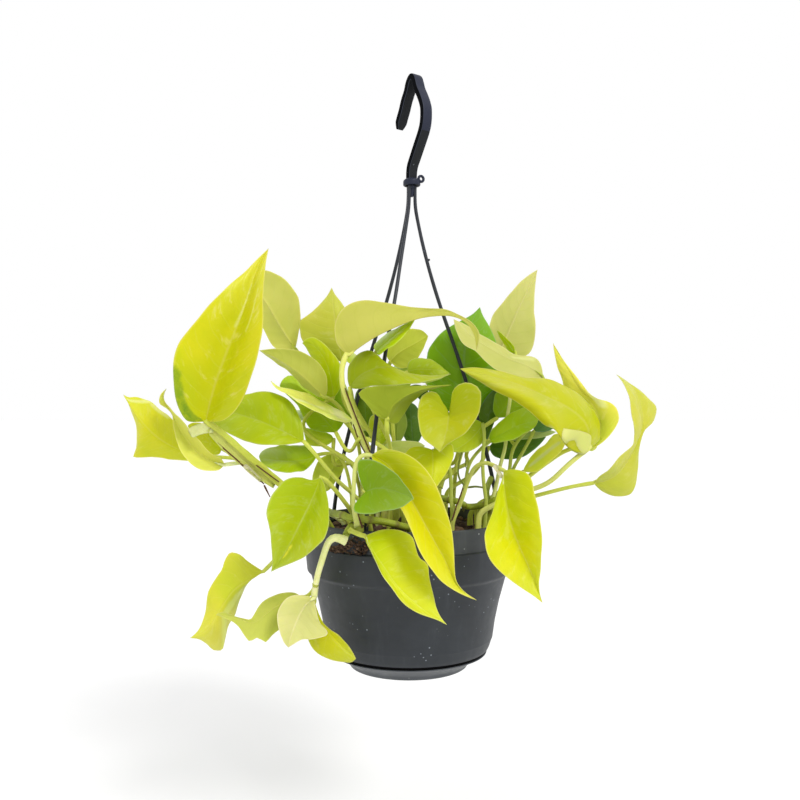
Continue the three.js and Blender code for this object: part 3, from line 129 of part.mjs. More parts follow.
// a closed surface as a solid
function solidOf(geometry) {
  const g = geometry.index ? geometry.toNonIndexed() : geometry;
  const key = new Map(), verts = [], tris = [];
  const p = g.getAttribute("position");
  for (let i = 0; i < p.count; i++) {
    const k = [p.getX(i), p.getY(i), p.getZ(i)].map((v) => Math.round(v * 1e4)).join();
    if (!key.has(k)) { key.set(k, verts.length); verts.push(V(p.getX(i), p.getY(i), p.getZ(i))); }
    tris.push(key.get(k));
  }
  const clean = [];
  for (let i = 0; i < tris.length; i += 3)
    if (tris[i] !== tris[i + 1] && tris[i + 1] !== tris[i + 2] && tris[i] !== tris[i + 2]) clean.push(tris[i], tris[i + 1], tris[i + 2]);
  return solid(verts, clean);
}
// a rod of changing radius along points, with flat ends and no twist
function rod(path, radii, sides = 5) {
  const n = path.length, verts = [], tris = [];
  let side = null;
  for (let i = 0; i < n; i++) {
    const t = path[Math.min(i + 1, n - 1)].clone().sub(path[Math.max(i - 1, 0)]).normalize();
    if (!side) side = (Math.abs(t.z) > 0.9 ? V(1, 0, 0) : V(0, 0, 1)).cross(t).normalize();
    side.sub(t.clone().multiplyScalar(side.dot(t))).normalize();
    const up = t.clone().cross(side);
    for (let k = 0; k < sides; k++) {
      const a = (k / sides) * 2 * Math.PI;
      verts.push(path[i].clone().addScaledVector(side, radii[i] * Math.cos(a)).addScaledVector(up, radii[i] * Math.sin(a)));
    }
  }
  for (let i = 0; i + 1 < n; i++)
    for (let k = 0; k < sides; k++) {
      const a = i * sides + k, b = i * sides + ((k + 1) % sides), c = a + sides, d = b + sides;
      tris.push(a, b, d, a, d, c);
    }
  for (let k = 1; k + 1 < sides; k++) {
    tris.push(0, k + 1, k);
    const e = (n - 1) * sides;
    tris.push(e, e + k, e + k + 1);
  }
  return solid(verts, tris);
}
function taper(n, r0, r1) {
  return Array.from({ length: n }, (_, i) => r0 + ((r1 - r0) * i) / (n - 1));
}
// a thin closed blade over an 8 x 5 net whose first and last rows are single points
function blade(net) {
  const R = net.length / 5, at = (i, j) => net[i * 5 + j];
  const normal = (i, j) => {
    const n = V(0, 0, 0);
    for (const [di, dj] of [[1, 1], [-1, 1], [1, -1], [-1, -1]]) {
      const a = i + di, b = j + dj;
      if (a < 0 || a >= R || b < 0 || b > 4) continue;
      n.add(at(a, j).clone().sub(at(i, j)).multiplyScalar(di).cross(at(i, b).clone().sub(at(i, j)).multiplyScalar(dj)));
    }
    return n;
  };
  const verts = [], top = [], bottom = [];
  const put = (p, n, h) => {
    verts.push(p.clone().addScaledVector(n, h), p.clone().addScaledVector(n, -h));
    return [verts.length - 2, verts.length - 1];
  };
  for (let i = 0; i < R; i++) {
    if (i === 0 || i === R - 1) {
      const k = i === 0 ? 1 : R - 2, n = V(0, 0, 0);
      for (let j = 1; j < 4; j++) n.add(normal(k, j));
      const [a, b] = put(at(i, 2), n.normalize(), BLADE_E + 0.05);
      top.push([a, a, a, a, a]); bottom.push([b, b, b, b, b]);
      continue;
    }
    const t = [], u = [];
    for (let j = 0; j < 5; j++) {
      const [a, b] = put(at(i, j), normal(i, j).normalize(), j === 0 || j === 4 ? BLADE_E : BLADE_T);
      t.push(a); u.push(b);
    }
    top.push(t); bottom.push(u);
  }
  const tris = [];
  const tri = (a, b, c) => { if (a !== b && b !== c && a !== c) tris.push(a, b, c); };
  for (let i = 0; i + 1 < R; i++) {
    for (let j = 0; j < 4; j++) {
      const short = verts[top[i][j]].distanceTo(verts[top[i + 1][j + 1]]) <= verts[top[i + 1][j]].distanceTo(verts[top[i][j + 1]]);
      if (short) {
        tri(top[i][j], top[i + 1][j], top[i + 1][j + 1]); tri(top[i][j], top[i + 1][j + 1], top[i][j + 1]);
        tri(bottom[i][j], bottom[i + 1][j + 1], bottom[i + 1][j]); tri(bottom[i][j], bottom[i][j + 1], bottom[i + 1][j + 1]);
      } else {
        tri(top[i][j], top[i + 1][j], top[i][j + 1]); tri(top[i + 1][j], top[i + 1][j + 1], top[i][j + 1]);
        tri(bottom[i][j], bottom[i][j + 1], bottom[i + 1][j]); tri(bottom[i + 1][j], bottom[i][j + 1], bottom[i + 1][j + 1]);
      }
    }
    // the two edges
    tri(top[i][0], bottom[i + 1][0], top[i + 1][0]); tri(top[i][0], bottom[i][0], bottom[i + 1][0]);
    tri(top[i][4], top[i + 1][4], bottom[i + 1][4]); tri(top[i][4], bottom[i + 1][4], bottom[i][4]);
  }
  return solid(verts, tris);
}
// outline of a turned piece, radius and height, as one closed loop
function turned(profile, segments = 48) {
  const g = new THREE.LatheGeometry(profile.map(([r, z]) => new THREE.Vector2(r, z)), segments);
  g.rotateX(Math.PI / 2);
  let s = solidOf(g);
  if (s.volume() < 0) s = solidOf(flip(g));
  return s;
}
function flip(g) {
  const h = g.toNonIndexed(), p = h.getAttribute("position"), a = p.array;
  for (let i = 0; i < a.length; i += 9) for (let c = 0; c < 3; c++) [a[i + 3 + c], a[i + 6 + c]] = [a[i + 6 + c], a[i + 3 + c]];
  return h;
}
const group = new THREE.Group();
function put(name, made, colour, roughness, metalness = 0) {
  if (made.simplify) made = made.asOriginal().simplify(0.05);
  const m = made.getMesh(), n = m.numProp, pos = new Float32Array((m.vertProperties.length / n) * 3);
  for (let i = 0, k = 0; i < m.vertProperties.length; i += n, k += 3)
    for (let c = 0; c < 3; c++) pos[k + c] = m.vertProperties[i + c] - HANG[c];
  const g = new THREE.BufferGeometry();
  g.setAttribute("position", new THREE.BufferAttribute(pos, 3));
  g.setIndex(Array.from(m.triVerts));
  g.computeVertexNormals();
  const mesh = new THREE.Mesh(g, new THREE.MeshStandardMaterial({ color: colour, roughness, metalness }));
  mesh.name = name;
  group.add(mesh);
}
const polar = (deg, r, z) => V(r * Math.cos((deg * Math.PI) / 180), r * Math.sin((deg * Math.PI) / 180), z);

// ---------------------------------------------------------------- saucer and pot
const saucer = turned([[0, 0], [43.2, 0], [44.2, 2.8], [49.2, 6], [53.8, 9], [57.4, 10.4], [56.7, 11], [54.2, 10.6], [48.4, 7], [43.4, 3.8], [42.4, 2], [0, 2]], 36);
let pot = turned([
  [0, 2.4], [41.4, 2.4], [42.9, 4.4], [48.1, 7.8], [54.6, 11.7], [57.7, 11.9], [61.7, 22.6], [63.5, 34.4], [66.6, 49], [71.8, 68],
  [74.6, 70.6], [BAND_R, 90.8], [73.4, 91.4], [RIM_R, RIM_Z - 0.4], [RIM_R - 0.4, RIM_Z], [RIM_R - WALL, RIM_Z],
  [71.2, 91], [69.8, 68], [64.6, 49], [61.5, 34.4], [59.7, 22.6], [56.2, 13.4], [52.9, 12.6], [47.2, 9.6], [42, 6.2], [40, 4.6], [0, 4.6],
], 40);
// a water hole in the middle of the floor and four round it
for (let i = 0; i < 5; i++) {
  const c = i === 4 ? V(0, 0, 0) : polar(i * 90 + 45, 30, 0);
  pot = pot.subtract(rod([c.clone().setZ(0), c.clone().setZ(8)], [4, 4], 8));
}

// ---------------------------------------------------------------- hanger rods, with a knob under each lug
const rods = [];
const interp = (table, z) => {
  let i = 0;
  while (i + 2 < table.length && table[i + 1][0] < z) i++;
  const [a, b] = [table[i], table[i + 1]];
  return a[1] + ((b[1] - a[1]) * (z - a[0])) / (b[0] - a[0]);
};
for (const [name, angles] of Object.entries(ROD_ANGLES)) {
  const deg = angles[0][1];
  let path = ROD_PROFILE.map(([z, r]) => {
    const a = (interp(angles, z) * Math.PI) / 180, x0 = (HUB[0] * (z - ROD_LOW_Z)) / (HUB[2] - ROD_LOW_Z);
    return V(x0 + r * Math.cos(a), r * Math.sin(a), z);
  });
  for (let round = 0; round < 2; round++)
    path = path.map((p, i) => (i && i + 1 < path.length ? p.clone().multiplyScalar(4).add(path[i - 1]).add(path[i + 1]).multiplyScalar(1 / 6) : p));
  const low = path[0], high = path.at(-1);
  const dir = path[1].clone().sub(low).normalize(), top = high.clone().sub(path.at(-2)).normalize();
  const foot = low.clone().addScaledVector(dir, -4.6), neck = low.clone().addScaledVector(dir, -1.9);
  const u = polar(deg, 1, 0), w = polar(deg + 90, 1, 0);
  // lug on the inside of the rim
  const box = [];
  for (const z of [99.9, 102.2]) for (const [r, t] of [[64.4, -5], [72.4, -5], [72.4, 5], [64.4, 5]]) box.push(V(0, 0, z).addScaledVector(u, r).addScaledVector(w, t));
  pot = pot.add(solid(box, [0, 2, 1, 0, 3, 2, 4, 5, 6, 4, 6, 7, 0, 1, 5, 0, 5, 4, 1, 2, 6, 1, 6, 5, 2, 3, 7, 2, 7, 6, 3, 0, 4, 3, 4, 7]));
  pot = pot.subtract(rod([low.clone().addScaledVector(dir, -6), low.clone().addScaledVector(dir, 6)], [ROD_R[0] + 0.4, ROD_R[0] + 0.4], 10));
  const knob = rod([foot, foot.clone().addScaledVector(dir, 0.5), foot.clone().addScaledVector(dir, 2.2), neck.clone().addScaledVector(dir, -0.05)], [1.8, 2.4, 2.4, 1.8], 10);
  const run = [foot.clone().addScaledVector(dir, 0.6), ...path];
  let stem = rod(run, run.map((p) => interp([[ROD_LOW_Z, ROD_R[0]], [HUB[2], ROD_R[1]]], p.z)), 8).add(knob);
  // a small moulding nub on one rod
  if (name === "hanger_rod_right") {
    const at = path.find((p) => p.z > 296), out = V(at.x, at.y, 0).normalize();
    stem = stem.add(rod([at.clone().addScaledVector(out, 0.4), at.clone().addScaledVector(out, 2.4).add(V(0, 0, 0.5))], [1.15, 0.7], 6));
  }
  rods.push({ name, low, high, dir, top, foot, solid: stem });
}

// ---------------------------------------------------------------- hook: a flat bar bent into a question mark, on a small foot
const es = V(Math.cos((HOOK_TURN * Math.PI) / 180), -Math.sin((HOOK_TURN * Math.PI) / 180), 0), en = V(-es.y, es.x, 0);
const line = [[-14.4, 397], [-11.6, 403.4], [-8.3, 410], [-5.6, 416.4], [-2.4, 422], [-0.6, 426.8], [1.2, 429.8], [3.5, 431.4], [6, 430], [7.7, 426.2], [9.4, 421.4], [12.4, 416], [15.2, 410.2], [16.8, 404.8], [16.9, 399.6], [16.2, 394.3], [14.4, 389.3], [9.4, 380.6], [4.1, 371.6], [1.2, 366.4], [0.1, 361.5], [0, 356]];
function bar(flat, w, t) {
  const P = flat.map(([s, z]) => V(2.2, 0, z).addScaledVector(es, s)), n = P.length, verts = [], tris = [];
  const shape = [[-1, -0.72], [-0.8, -1], [0.8, -1], [1, -0.72], [1, 0.72], [0.8, 1], [-0.8, 1], [-1, 0.72]];
  for (let i = 0; i < n; i++) {
    const d = P[Math.min(i + 1, n - 1)].clone().sub(P[Math.max(i - 1, 0)]).normalize(), m = en.clone().cross(d).normalize();
    const k = i === 0 ? 0.72 : 1;
    for (const [a, b] of shape) verts.push(P[i].clone().addScaledVector(en, (a * w * k) / 2).addScaledVector(m, (b * t * k) / 2));
  }
  for (let i = 0; i + 1 < n; i++)
    for (let k = 0; k < 8; k++) {
      const a = i * 8 + k, b = i * 8 + ((k + 1) % 8);
      tris.push(a, b, b + 8, a, b + 8, a + 8);
    }
  for (let k = 1; k < 7; k++) { const e = (n - 1) * 8; tris.push(0, k + 1, k, e, e + k, e + k + 1); }
  let s = solid(verts, tris);
  if (s.volume() < 0) { for (let i = 0; i < tris.length; i += 3) [tris[i + 1], tris[i + 2]] = [tris[i + 2], tris[i + 1]]; s = solid(verts, tris); }
  return s;
}
let hook = bar(line, HOOK_W, HOOK_T);
hook = hook.add(rod([V(2.4, 0, 352), V(2.4, 0, 352.5), V(2.4, 0, 355.8), V(2.3, 0, 357.4)], [5.9, 6.4, 6.3, 4.4], 16));
// small loop on the side of the foot
const loop = new THREE.TorusGeometry(2.05, 1.05, 6, 12);
loop.rotateY(0.5); loop.rotateX(Math.PI / 2); loop.translate(9.2, -1.5, 357);
hook = hook.add(solidOf(loop));
for (const r of rods) hook = hook.subtract(rod([r.high.clone().addScaledVector(r.top, -8), r.high.clone().addScaledVector(r.top, 0.35)], [ROD_R[1] + 0.35, ROD_R[1] + 0.35], 10));

// ---------------------------------------------------------------- leaves, petioles and vines
const plants = new Map(), holes = [];
// a socket in the soil round every run of a stem that dips below TOP_OF_SOCKET
const TOP_OF_SOCKET = 107.5;
const beyond = (end, next) => end.clone().add(end.clone().sub(next).normalize().multiplyScalar(0.5));
function bore(path, r) {
  let run = [];
  const cut = (a, b) => a.clone().lerp(b, (TOP_OF_SOCKET - a.z) / (b.z - a.z));
  const done = () => {
    if (run.length > 1) {
      if (run[0].z < TOP_OF_SOCKET - 0.01) run.unshift(beyond(run[0], run[1]));
      if (run.at(-1).z < TOP_OF_SOCKET - 0.01) run.push(beyond(run.at(-1), run.at(-2)));
      holes.push(rod(run, run.map(() => r * 1.12 + CLEAR + 0.12)));
    }
    run = [];
  };
  path.forEach((p, i) => {
    const low = p.z < TOP_OF_SOCKET;
    if (i && low !== path[i - 1].z < TOP_OF_SOCKET) {
      run.push(cut(path[i - 1], p));
      if (!low) done();
    }
    if (low) run.push(p.clone());
  });
  done();
}
for (const [name, colour, flat, petiole, radii] of LEAVES) {
  const net = points(flat);
  let s = blade(net);
  if (petiole.length) {
    const p = points(petiole);
    bore(p, Math.max(...radii));
    const t = taper(p.length, radii[0], radii[1]);
    const inner = net[7]; // midrib point of the first full row
    p.push(inner.clone());
    t.push(0.62);
    s = s.add(rod(p, t));
  }
  if (plants.has(name)) plants.get(name).solid = plants.get(name).solid.add(s);
  else plants.set(name, { solid: s, colour });
}
for (const [name, flat, radii] of VINES) {
  const p = points(flat);
  bore(p, Math.max(...radii));
  plants.set(name, { solid: rod(p, taper(p.length, radii[0], radii[1]), 7), colour: "vine" });
}

// ---------------------------------------------------------------- soil: rough mounded plug with a socket round each stem
const soilShape = new THREE.LatheGeometry([[0, 5.0], [39.6, 5.0], [41.7, 6.8], [46.9, 10.2], [51.8, 13.0], [55.6, 13.8], [59.2, 22.8], [60.9, 34.5], [63.9, 49.1], [69.1, 68.3], [70.4, SOIL_Z],
  [60, SOIL_Z + 0.5], [42, SOIL_Z + 1.3], [20, SOIL_Z + 2], [0, SOIL_Z + SOIL_MOUND]].map(([r, z]) => new THREE.Vector2(r, z)), 24);
soilShape.rotateX(Math.PI / 2);
{
  const p = soilShape.getAttribute("position");
  for (let i = 0; i < p.count; i++) {
    const x = p.getX(i), y = p.getY(i), z = p.getZ(i), r = Math.hypot(x, y);
    if (z > SOIL_Z - 1 && r < 69 && r > 1) p.setZ(i, z + 0.7 * Math.sin(x * 0.31 + 1.7) * Math.cos(y * 0.27 - 0.6) + 0.5 * Math.sin(x * 0.83 - y * 0.6));
  }
}
let soil = solidOf(soilShape);
if (soil.volume() < 0) soil = solidOf(flip(soilShape));
for (const h of holes) soil = soil.subtract(h);
for (const r of rods) soil = soil.subtract(rod([r.foot.clone().addScaledVector(r.dir, -0.6), r.foot.clone().addScaledVector(r.dir, 12)], [3, 3], 10));

put("pot", pot, POT, 0.55);
put("saucer", saucer, SAUCER, 0.5);
put("soil", soil, SOIL, 0.95);
put("hook", hook, HOOK, 0.5);
for (const r of rods) put(r.name, r.solid, HOOK, 0.5);
for (const [name, p] of plants) put(name, p.solid, p.colour === "vine" ? VINE : LEAF_COLOURS[p.colour] ?? STEM, 0.4);

export default group;
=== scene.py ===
import bpy, bmesh, math
import numpy as np
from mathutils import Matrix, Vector


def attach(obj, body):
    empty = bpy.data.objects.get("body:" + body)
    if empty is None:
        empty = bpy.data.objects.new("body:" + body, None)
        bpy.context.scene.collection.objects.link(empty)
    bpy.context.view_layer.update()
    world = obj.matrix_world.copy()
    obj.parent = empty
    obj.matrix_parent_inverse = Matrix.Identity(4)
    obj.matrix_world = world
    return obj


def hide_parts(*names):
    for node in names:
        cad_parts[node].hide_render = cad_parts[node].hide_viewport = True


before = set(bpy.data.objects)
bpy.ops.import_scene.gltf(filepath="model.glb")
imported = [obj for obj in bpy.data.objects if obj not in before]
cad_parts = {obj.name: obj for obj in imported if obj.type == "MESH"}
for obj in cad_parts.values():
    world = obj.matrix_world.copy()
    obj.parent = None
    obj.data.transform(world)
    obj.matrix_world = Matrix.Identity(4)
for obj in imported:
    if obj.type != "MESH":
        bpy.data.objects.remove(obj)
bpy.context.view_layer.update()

# ------------------------------------------------------------------------------------------------ table of the plant
# Each leaf: name, 15 x 5 net of points across the blade (left edge, left middle, midrib, right middle, right edge) in
# 0.1 mm, stalk centreline in 0.1 mm, stalk radii in mm. Heights count from the underside of the saucer.
LEAVES = [
('leaf_01', 'L1', 'lime', [197.1, 193.3, 13.8], [-1397,-460,1794,-1397,-460,1794,-1397,-460,1794,-1397,-460,1794,-1397,-460,1794,-1279,-563,1797,-1335,-522,1810,-1389,-470,1826,-1444,-503,1808,-1497,-527,1792,-1181,-646,1849,-1280,-575,1861,-1375,-485,1878,-1466,-538,1875,-1553,-576,1875,-1114,-704,1927,-1236,-617,1939,-1352,-506,1954,-1465,-572,1967,-1573,-620,1983,-1064,-742,2011,-1195,-647,2026,-1322,-525,2045,-1449,-603,2067,-1573,-657,2092,-1027,-758,2098,-1159,-661,2119,-1287,-538,2140,-1428,-624,2170,-1565,-685,2201,-1004,-751,2189,-1129,-658,2212,-1251,-540,2235,-1394,-628,2271,-1533,-690,2306,-987,-733,2281,-1102,-647,2307,-1215,-537,2331,-1346,-618,2365,-1474,-675,2397,-976,-706,2376,-1078,-630,2402,-1178,-532,2426,-1294,-604,2456,-1408,-654,2484,-976,-670,2474,-1060,-607,2498,-1143,-526,2520,-1244,-588,2547,-1344,-632,2572,-977,-635,2573,-1046,-583,2595,-1113,-517,2614,-1193,-566,2635,-1272,-600,2654,-982,-589,2674,-1035,-549,2693,-1087,-498,2708,-1144,-532,2724,-1200,-557,2737,-986,-529,2778,-1023,-502,2792,-1059,-467,2804,-1091,-486,2812,-1124,-500,2817,-986,-460,2885,-1006,-445,2894,-1026,-426,2901,-1040,-434,2905,-1054,-440,2907,-979,-380,2996,-979,-380,2996,-979,-380,2996,-979,-380,2996,-979,-380,2996], [-812,-226,1277,-827,-235,1287,-843,-244,1297,-858,-253,1308,-873,-261,1319,-888,-269,1331,-903,-276,1343,-917,-282,1356,-932,-289,1369,-946,-295,1383,-960,-301,1397,-974,-307,1412,-988,-313,1426,-1002,-320,1440,-1015,-327,1454,-1029,-334,1467,-1042,-343,1481,-1056,-352,1493,-1069,-362,1506,-1082,-372,1519,-1095,-382,1531,-1108,-392,1544,-1121,-401,1557,-1135,-408,1570,-1149,-415,1584,-1163,-421,1597,-1177,-427,1611,-1191,-432,1625,-1206,-437,1640,-1220,-441,1654,-1235,-445,1668,-1250,-448,1682,-1265,-451,1695,-1281,-453,1709,-1297,-455,1722,-1313,-457,1735,-1329,-459,1748,-1345,-460,1760,-1362,-460,1772,-1380,-460,1783,-1397,-460,1794], [2.5,1.9]),
('leaf_02', 'L2', 'pale', [214.7, 211.4, 115.2], [-878,358,2338,-878,358,2338,-878,358,2338,-878,358,2338,-878,358,2338,-931,361,2326,-914,356,2347,-897,346,2366,-879,340,2384,-861,330,2400,-985,360,2329,-950,351,2365,-916,332,2397,-881,321,2432,-847,301,2462,-1031,353,2342,-985,341,2390,-938,316,2433,-886,300,2482,-833,270,2524,-1063,337,2374,-1013,324,2427,-962,297,2473,-894,276,2533,-825,238,2585,-1087,314,2422,-1038,301,2473,-989,275,2518,-907,249,2588,-824,204,2647,-1108,286,2472,-1062,273,2522,-1015,248,2565,-922,220,2641,-828,170,2705,-1128,258,2515,-1085,245,2567,-1040,220,2613,-948,191,2692,-855,140,2759,-1146,230,2560,-1106,217,2612,-1065,193,2658,-978,164,2738,-890,114,2807,-1163,204,2605,-1127,192,2656,-1091,169,2701,-1013,142,2781,-934,94,2850,-1181,180,2650,-1150,169,2698,-1119,147,2741,-1052,123,2816,-984,80,2881,-1199,157,2695,-1173,147,2738,-1147,128,2777,-1095,107,2846,-1042,70,2907,-1206,136,2741,-1189,128,2775,-1171,114,2806,-1138,98,2861,-1104,70,2911,-1203,116,2789,-1196,112,2808,-1188,104,2826,-1175,94,2861,-1161,78,2893,-1200,98,2838,-1200,98,2838,-1200,98,2838,-1200,98,2838,-1200,98,2838], [251,256,920,251,257,942,251,258,964,251,259,985,250,261,1007,250,263,1028,250,265,1048,250,267,1068,249,270,1087,249,272,1105,249,275,1122,247,279,1139,245,283,1155,241,289,1170,236,295,1185,230,303,1200,222,311,1214,214,320,1228,204,330,1241,193,340,1255,181,351,1268,168,362,1281,155,374,1293,141,386,1306,126,398,1318,111,410,1330,95,422,1342,79,434,1354,62,446,1366,45,457,1378,28,469,1390,11,479,1401,-6,489,1413,-23,499,1425,-40,508,1437,-57,516,1449,-73,523,1462,-89,529,1474,-105,534,1487,-120,537,1500,-135,540,1513,-149,541,1527,-163,542,1540,-176,542,1554,-190,541,1568,-204,541,1581,-218,540,1595,-232,540,1609,-246,539,1623,-260,538,1637,-274,537,1651,-289,535,1665,-303,534,1680,-317,533,1694,-332,531,1708,-347,529,1722,-361,527,1737,-376,525,1751,-390,523,1765,-405,521,1780,-419,519,1794,-434,517,1809,-449,514,1823,-463,512,1838,-478,509,1853,-492,506,1867,-507,503,1882,-521,501,1897,-535,498,1911,-549,494,1926,-564,491,1941,-578,488,1956,-592,485,1971,-605,482,1986,-619,478,2000,-633,475,2015,-646,471,2030,-659,467,2045,-673,464,2060,-686,460,2075,-698,456,2090,-711,453,2106,-724,449,2121,-736,445,2136,-748,441,2151,-760,437,2166,-771,432,2181,-783,426,2197,-794,420,2212,-805,413,2228,-816,406,2243,-827,398,2259,-837,390,2275,-848,382,2290,-858,374,2306,-868,366,2322,-878,358,2338], [1.7,1.4]),
('leaf_03', 'L3', 'limegreen', [186.2, 185.7, 60.6], [-504,202,2232,-504,202,2232,-504,202,2232,-504,202,2232,-504,202,2232,-460,213,2260,-484,201,2258,-508,193,2256,-535,197,2251,-564,205,2247,-428,220,2294,-470,198,2288,-512,184,2284,-567,191,2274,-622,208,2268,-411,220,2333,-464,192,2324,-518,175,2318,-598,184,2303,-679,209,2292,-399,220,2380,-461,187,2368,-524,167,2358,-628,179,2339,-733,212,2323,-394,221,2429,-463,184,2416,-532,163,2403,-656,176,2382,-780,216,2362,-398,223,2477,-469,186,2465,-540,163,2452,-680,179,2433,-820,223,2413,-408,226,2525,-478,189,2514,-548,167,2503,-691,183,2490,-833,227,2474,-421,230,2569,-488,194,2560,-555,173,2550,-697,189,2544,-838,233,2535,-447,228,2606,-504,198,2600,-561,180,2591,-677,193,2584,-792,228,2574,-481,224,2642,-524,201,2636,-566,188,2629,-653,197,2621,-740,224,2610,-510,228,2680,-541,212,2675,-572,202,2668,-633,209,2661,-694,228,2650,-539,239,2719,-558,229,2716,-577,223,2710,-617,228,2707,-656,239,2700,-567,257,2760,-575,253,2759,-583,250,2757,-601,252,2754,-618,258,2750,-589,282,2806,-589,282,2806,-589,282,2806,-589,282,2806,-589,282,2806], [-206,130,920,-204,130,942,-201,130,964,-198,130,986,-196,130,1008,-193,130,1030,-191,130,1051,-189,130,1073,-188,130,1094,-186,130,1115,-185,130,1136,-183,130,1157,-182,131,1178,-181,131,1199,-180,131,1219,-180,131,1239,-179,131,1260,-178,132,1280,-178,132,1300,-177,132,1319,-177,132,1339,-177,133,1359,-177,133,1378,-176,133,1397,-176,134,1416,-176,134,1435,-176,134,1454,-176,135,1472,-176,135,1491,-177,136,1509,-178,136,1527,-181,138,1544,-187,139,1562,-194,141,1579,-203,144,1596,-214,147,1612,-226,150,1628,-239,154,1644,-253,158,1660,-268,162,1676,-284,167,1692,-301,171,1707,-318,175,1723,-335,180,1739,-352,185,1754,-369,189,1770,-386,194,1785,-402,198,1801,-417,202,1817,-432,206,1833,-446,209,1849,-459,213,1865,-470,215,1882,-479,218,1899,-488,220,1916,-494,222,1933,-498,223,1951,-500,223,1969,-501,223,1988,-502,223,2007,-502,222,2026,-502,221,2045,-502,220,2065,-503,219,2085,-503,217,2106,-503,215,2126,-503,213,2147,-503,211,2168,-503,208,2189,-503,205,2211,-504,202,2232], [1.7,1.4]),
('leaf_04', 'L4', 'pale', [199.9, 201.5, 97.5], [-618,6,1961,-618,6,1961,-618,6,1961,-618,6,1961,-618,6,1961,-668,86,1964,-651,47,1977,-639,0,1984,-617,-7,2000,-598,-19,2011,-709,119,1984,-683,61,2002,-664,-6,2011,-627,-20,2040,-596,-41,2063,-747,131,2011,-715,64,2031,-692,-14,2040,-643,-33,2082,-601,-62,2114,-782,133,2037,-749,61,2060,-723,-24,2070,-669,-46,2122,-621,-80,2162,-814,126,2066,-781,53,2090,-756,-34,2101,-700,-58,2158,-651,-94,2202,-843,106,2096,-813,36,2120,-789,-47,2131,-736,-70,2190,-689,-106,2236,-870,75,2127,-844,13,2149,-823,-60,2158,-774,-84,2220,-729,-120,2268,-898,44,2155,-876,-10,2175,-857,-74,2183,-813,-97,2243,-773,-131,2290,-929,22,2181,-909,-29,2199,-892,-89,2207,-856,-108,2261,-822,-138,2303,-962,0,2204,-944,-47,2221,-928,-102,2229,-900,-118,2274,-873,-143,2309,-994,-27,2227,-978,-67,2242,-964,-115,2249,-944,-128,2283,-924,-146,2310,-1025,-57,2249,-1013,-90,2262,-1001,-128,2267,-988,-137,2291,-975,-150,2310,-1053,-99,2273,-1046,-119,2280,-1039,-142,2283,-1032,-146,2296,-1026,-153,2306,-1077,-154,2297,-1077,-154,2297,-1077,-154,2297,-1077,-154,2297,-1077,-154,2297], [-274,126,920,-274,126,936,-274,126,953,-274,126,969,-274,126,985,-274,126,1002,-274,126,1018,-274,126,1034,-274,126,1051,-274,126,1067,-274,126,1083,-274,126,1100,-274,126,1116,-274,126,1132,-274,126,1149,-274,126,1165,-274,126,1181,-274,126,1198,-274,126,1214,-274,126,1230,-274,126,1247,-274,126,1263,-274,126,1279,-274,126,1296,-274,126,1312,-274,126,1328,-274,127,1344,-275,127,1361,-276,128,1377,-278,128,1394,-280,130,1410,-283,131,1427,-286,132,1443,-289,134,1459,-293,135,1475,-296,137,1490,-300,138,1506,-305,140,1521,-310,142,1535,-316,145,1549,-323,148,1563,-331,151,1577,-340,154,1590,-349,158,1604,-359,161,1617,-369,165,1630,-379,168,1643,-389,170,1657,-399,172,1670,-408,173,1684,-417,174,1697,-426,174,1712,-434,173,1727,-442,172,1742,-449,171,1758,-457,169,1774,-465,167,1790,-473,165,1806,-480,163,1822,-488,160,1837,-496,157,1851,-503,154,1864,-511,151,1876,-519,147,1887,-527,143,1897,-535,138,1905,-543,131,1913,-551,122,1920,-560,112,1927,-568,100,1934,-576,86,1940,-584,72,1946,-593,56,1950,-601,40,1955,-610,23,1958,-618,6,1961], [1.7,1.4]),
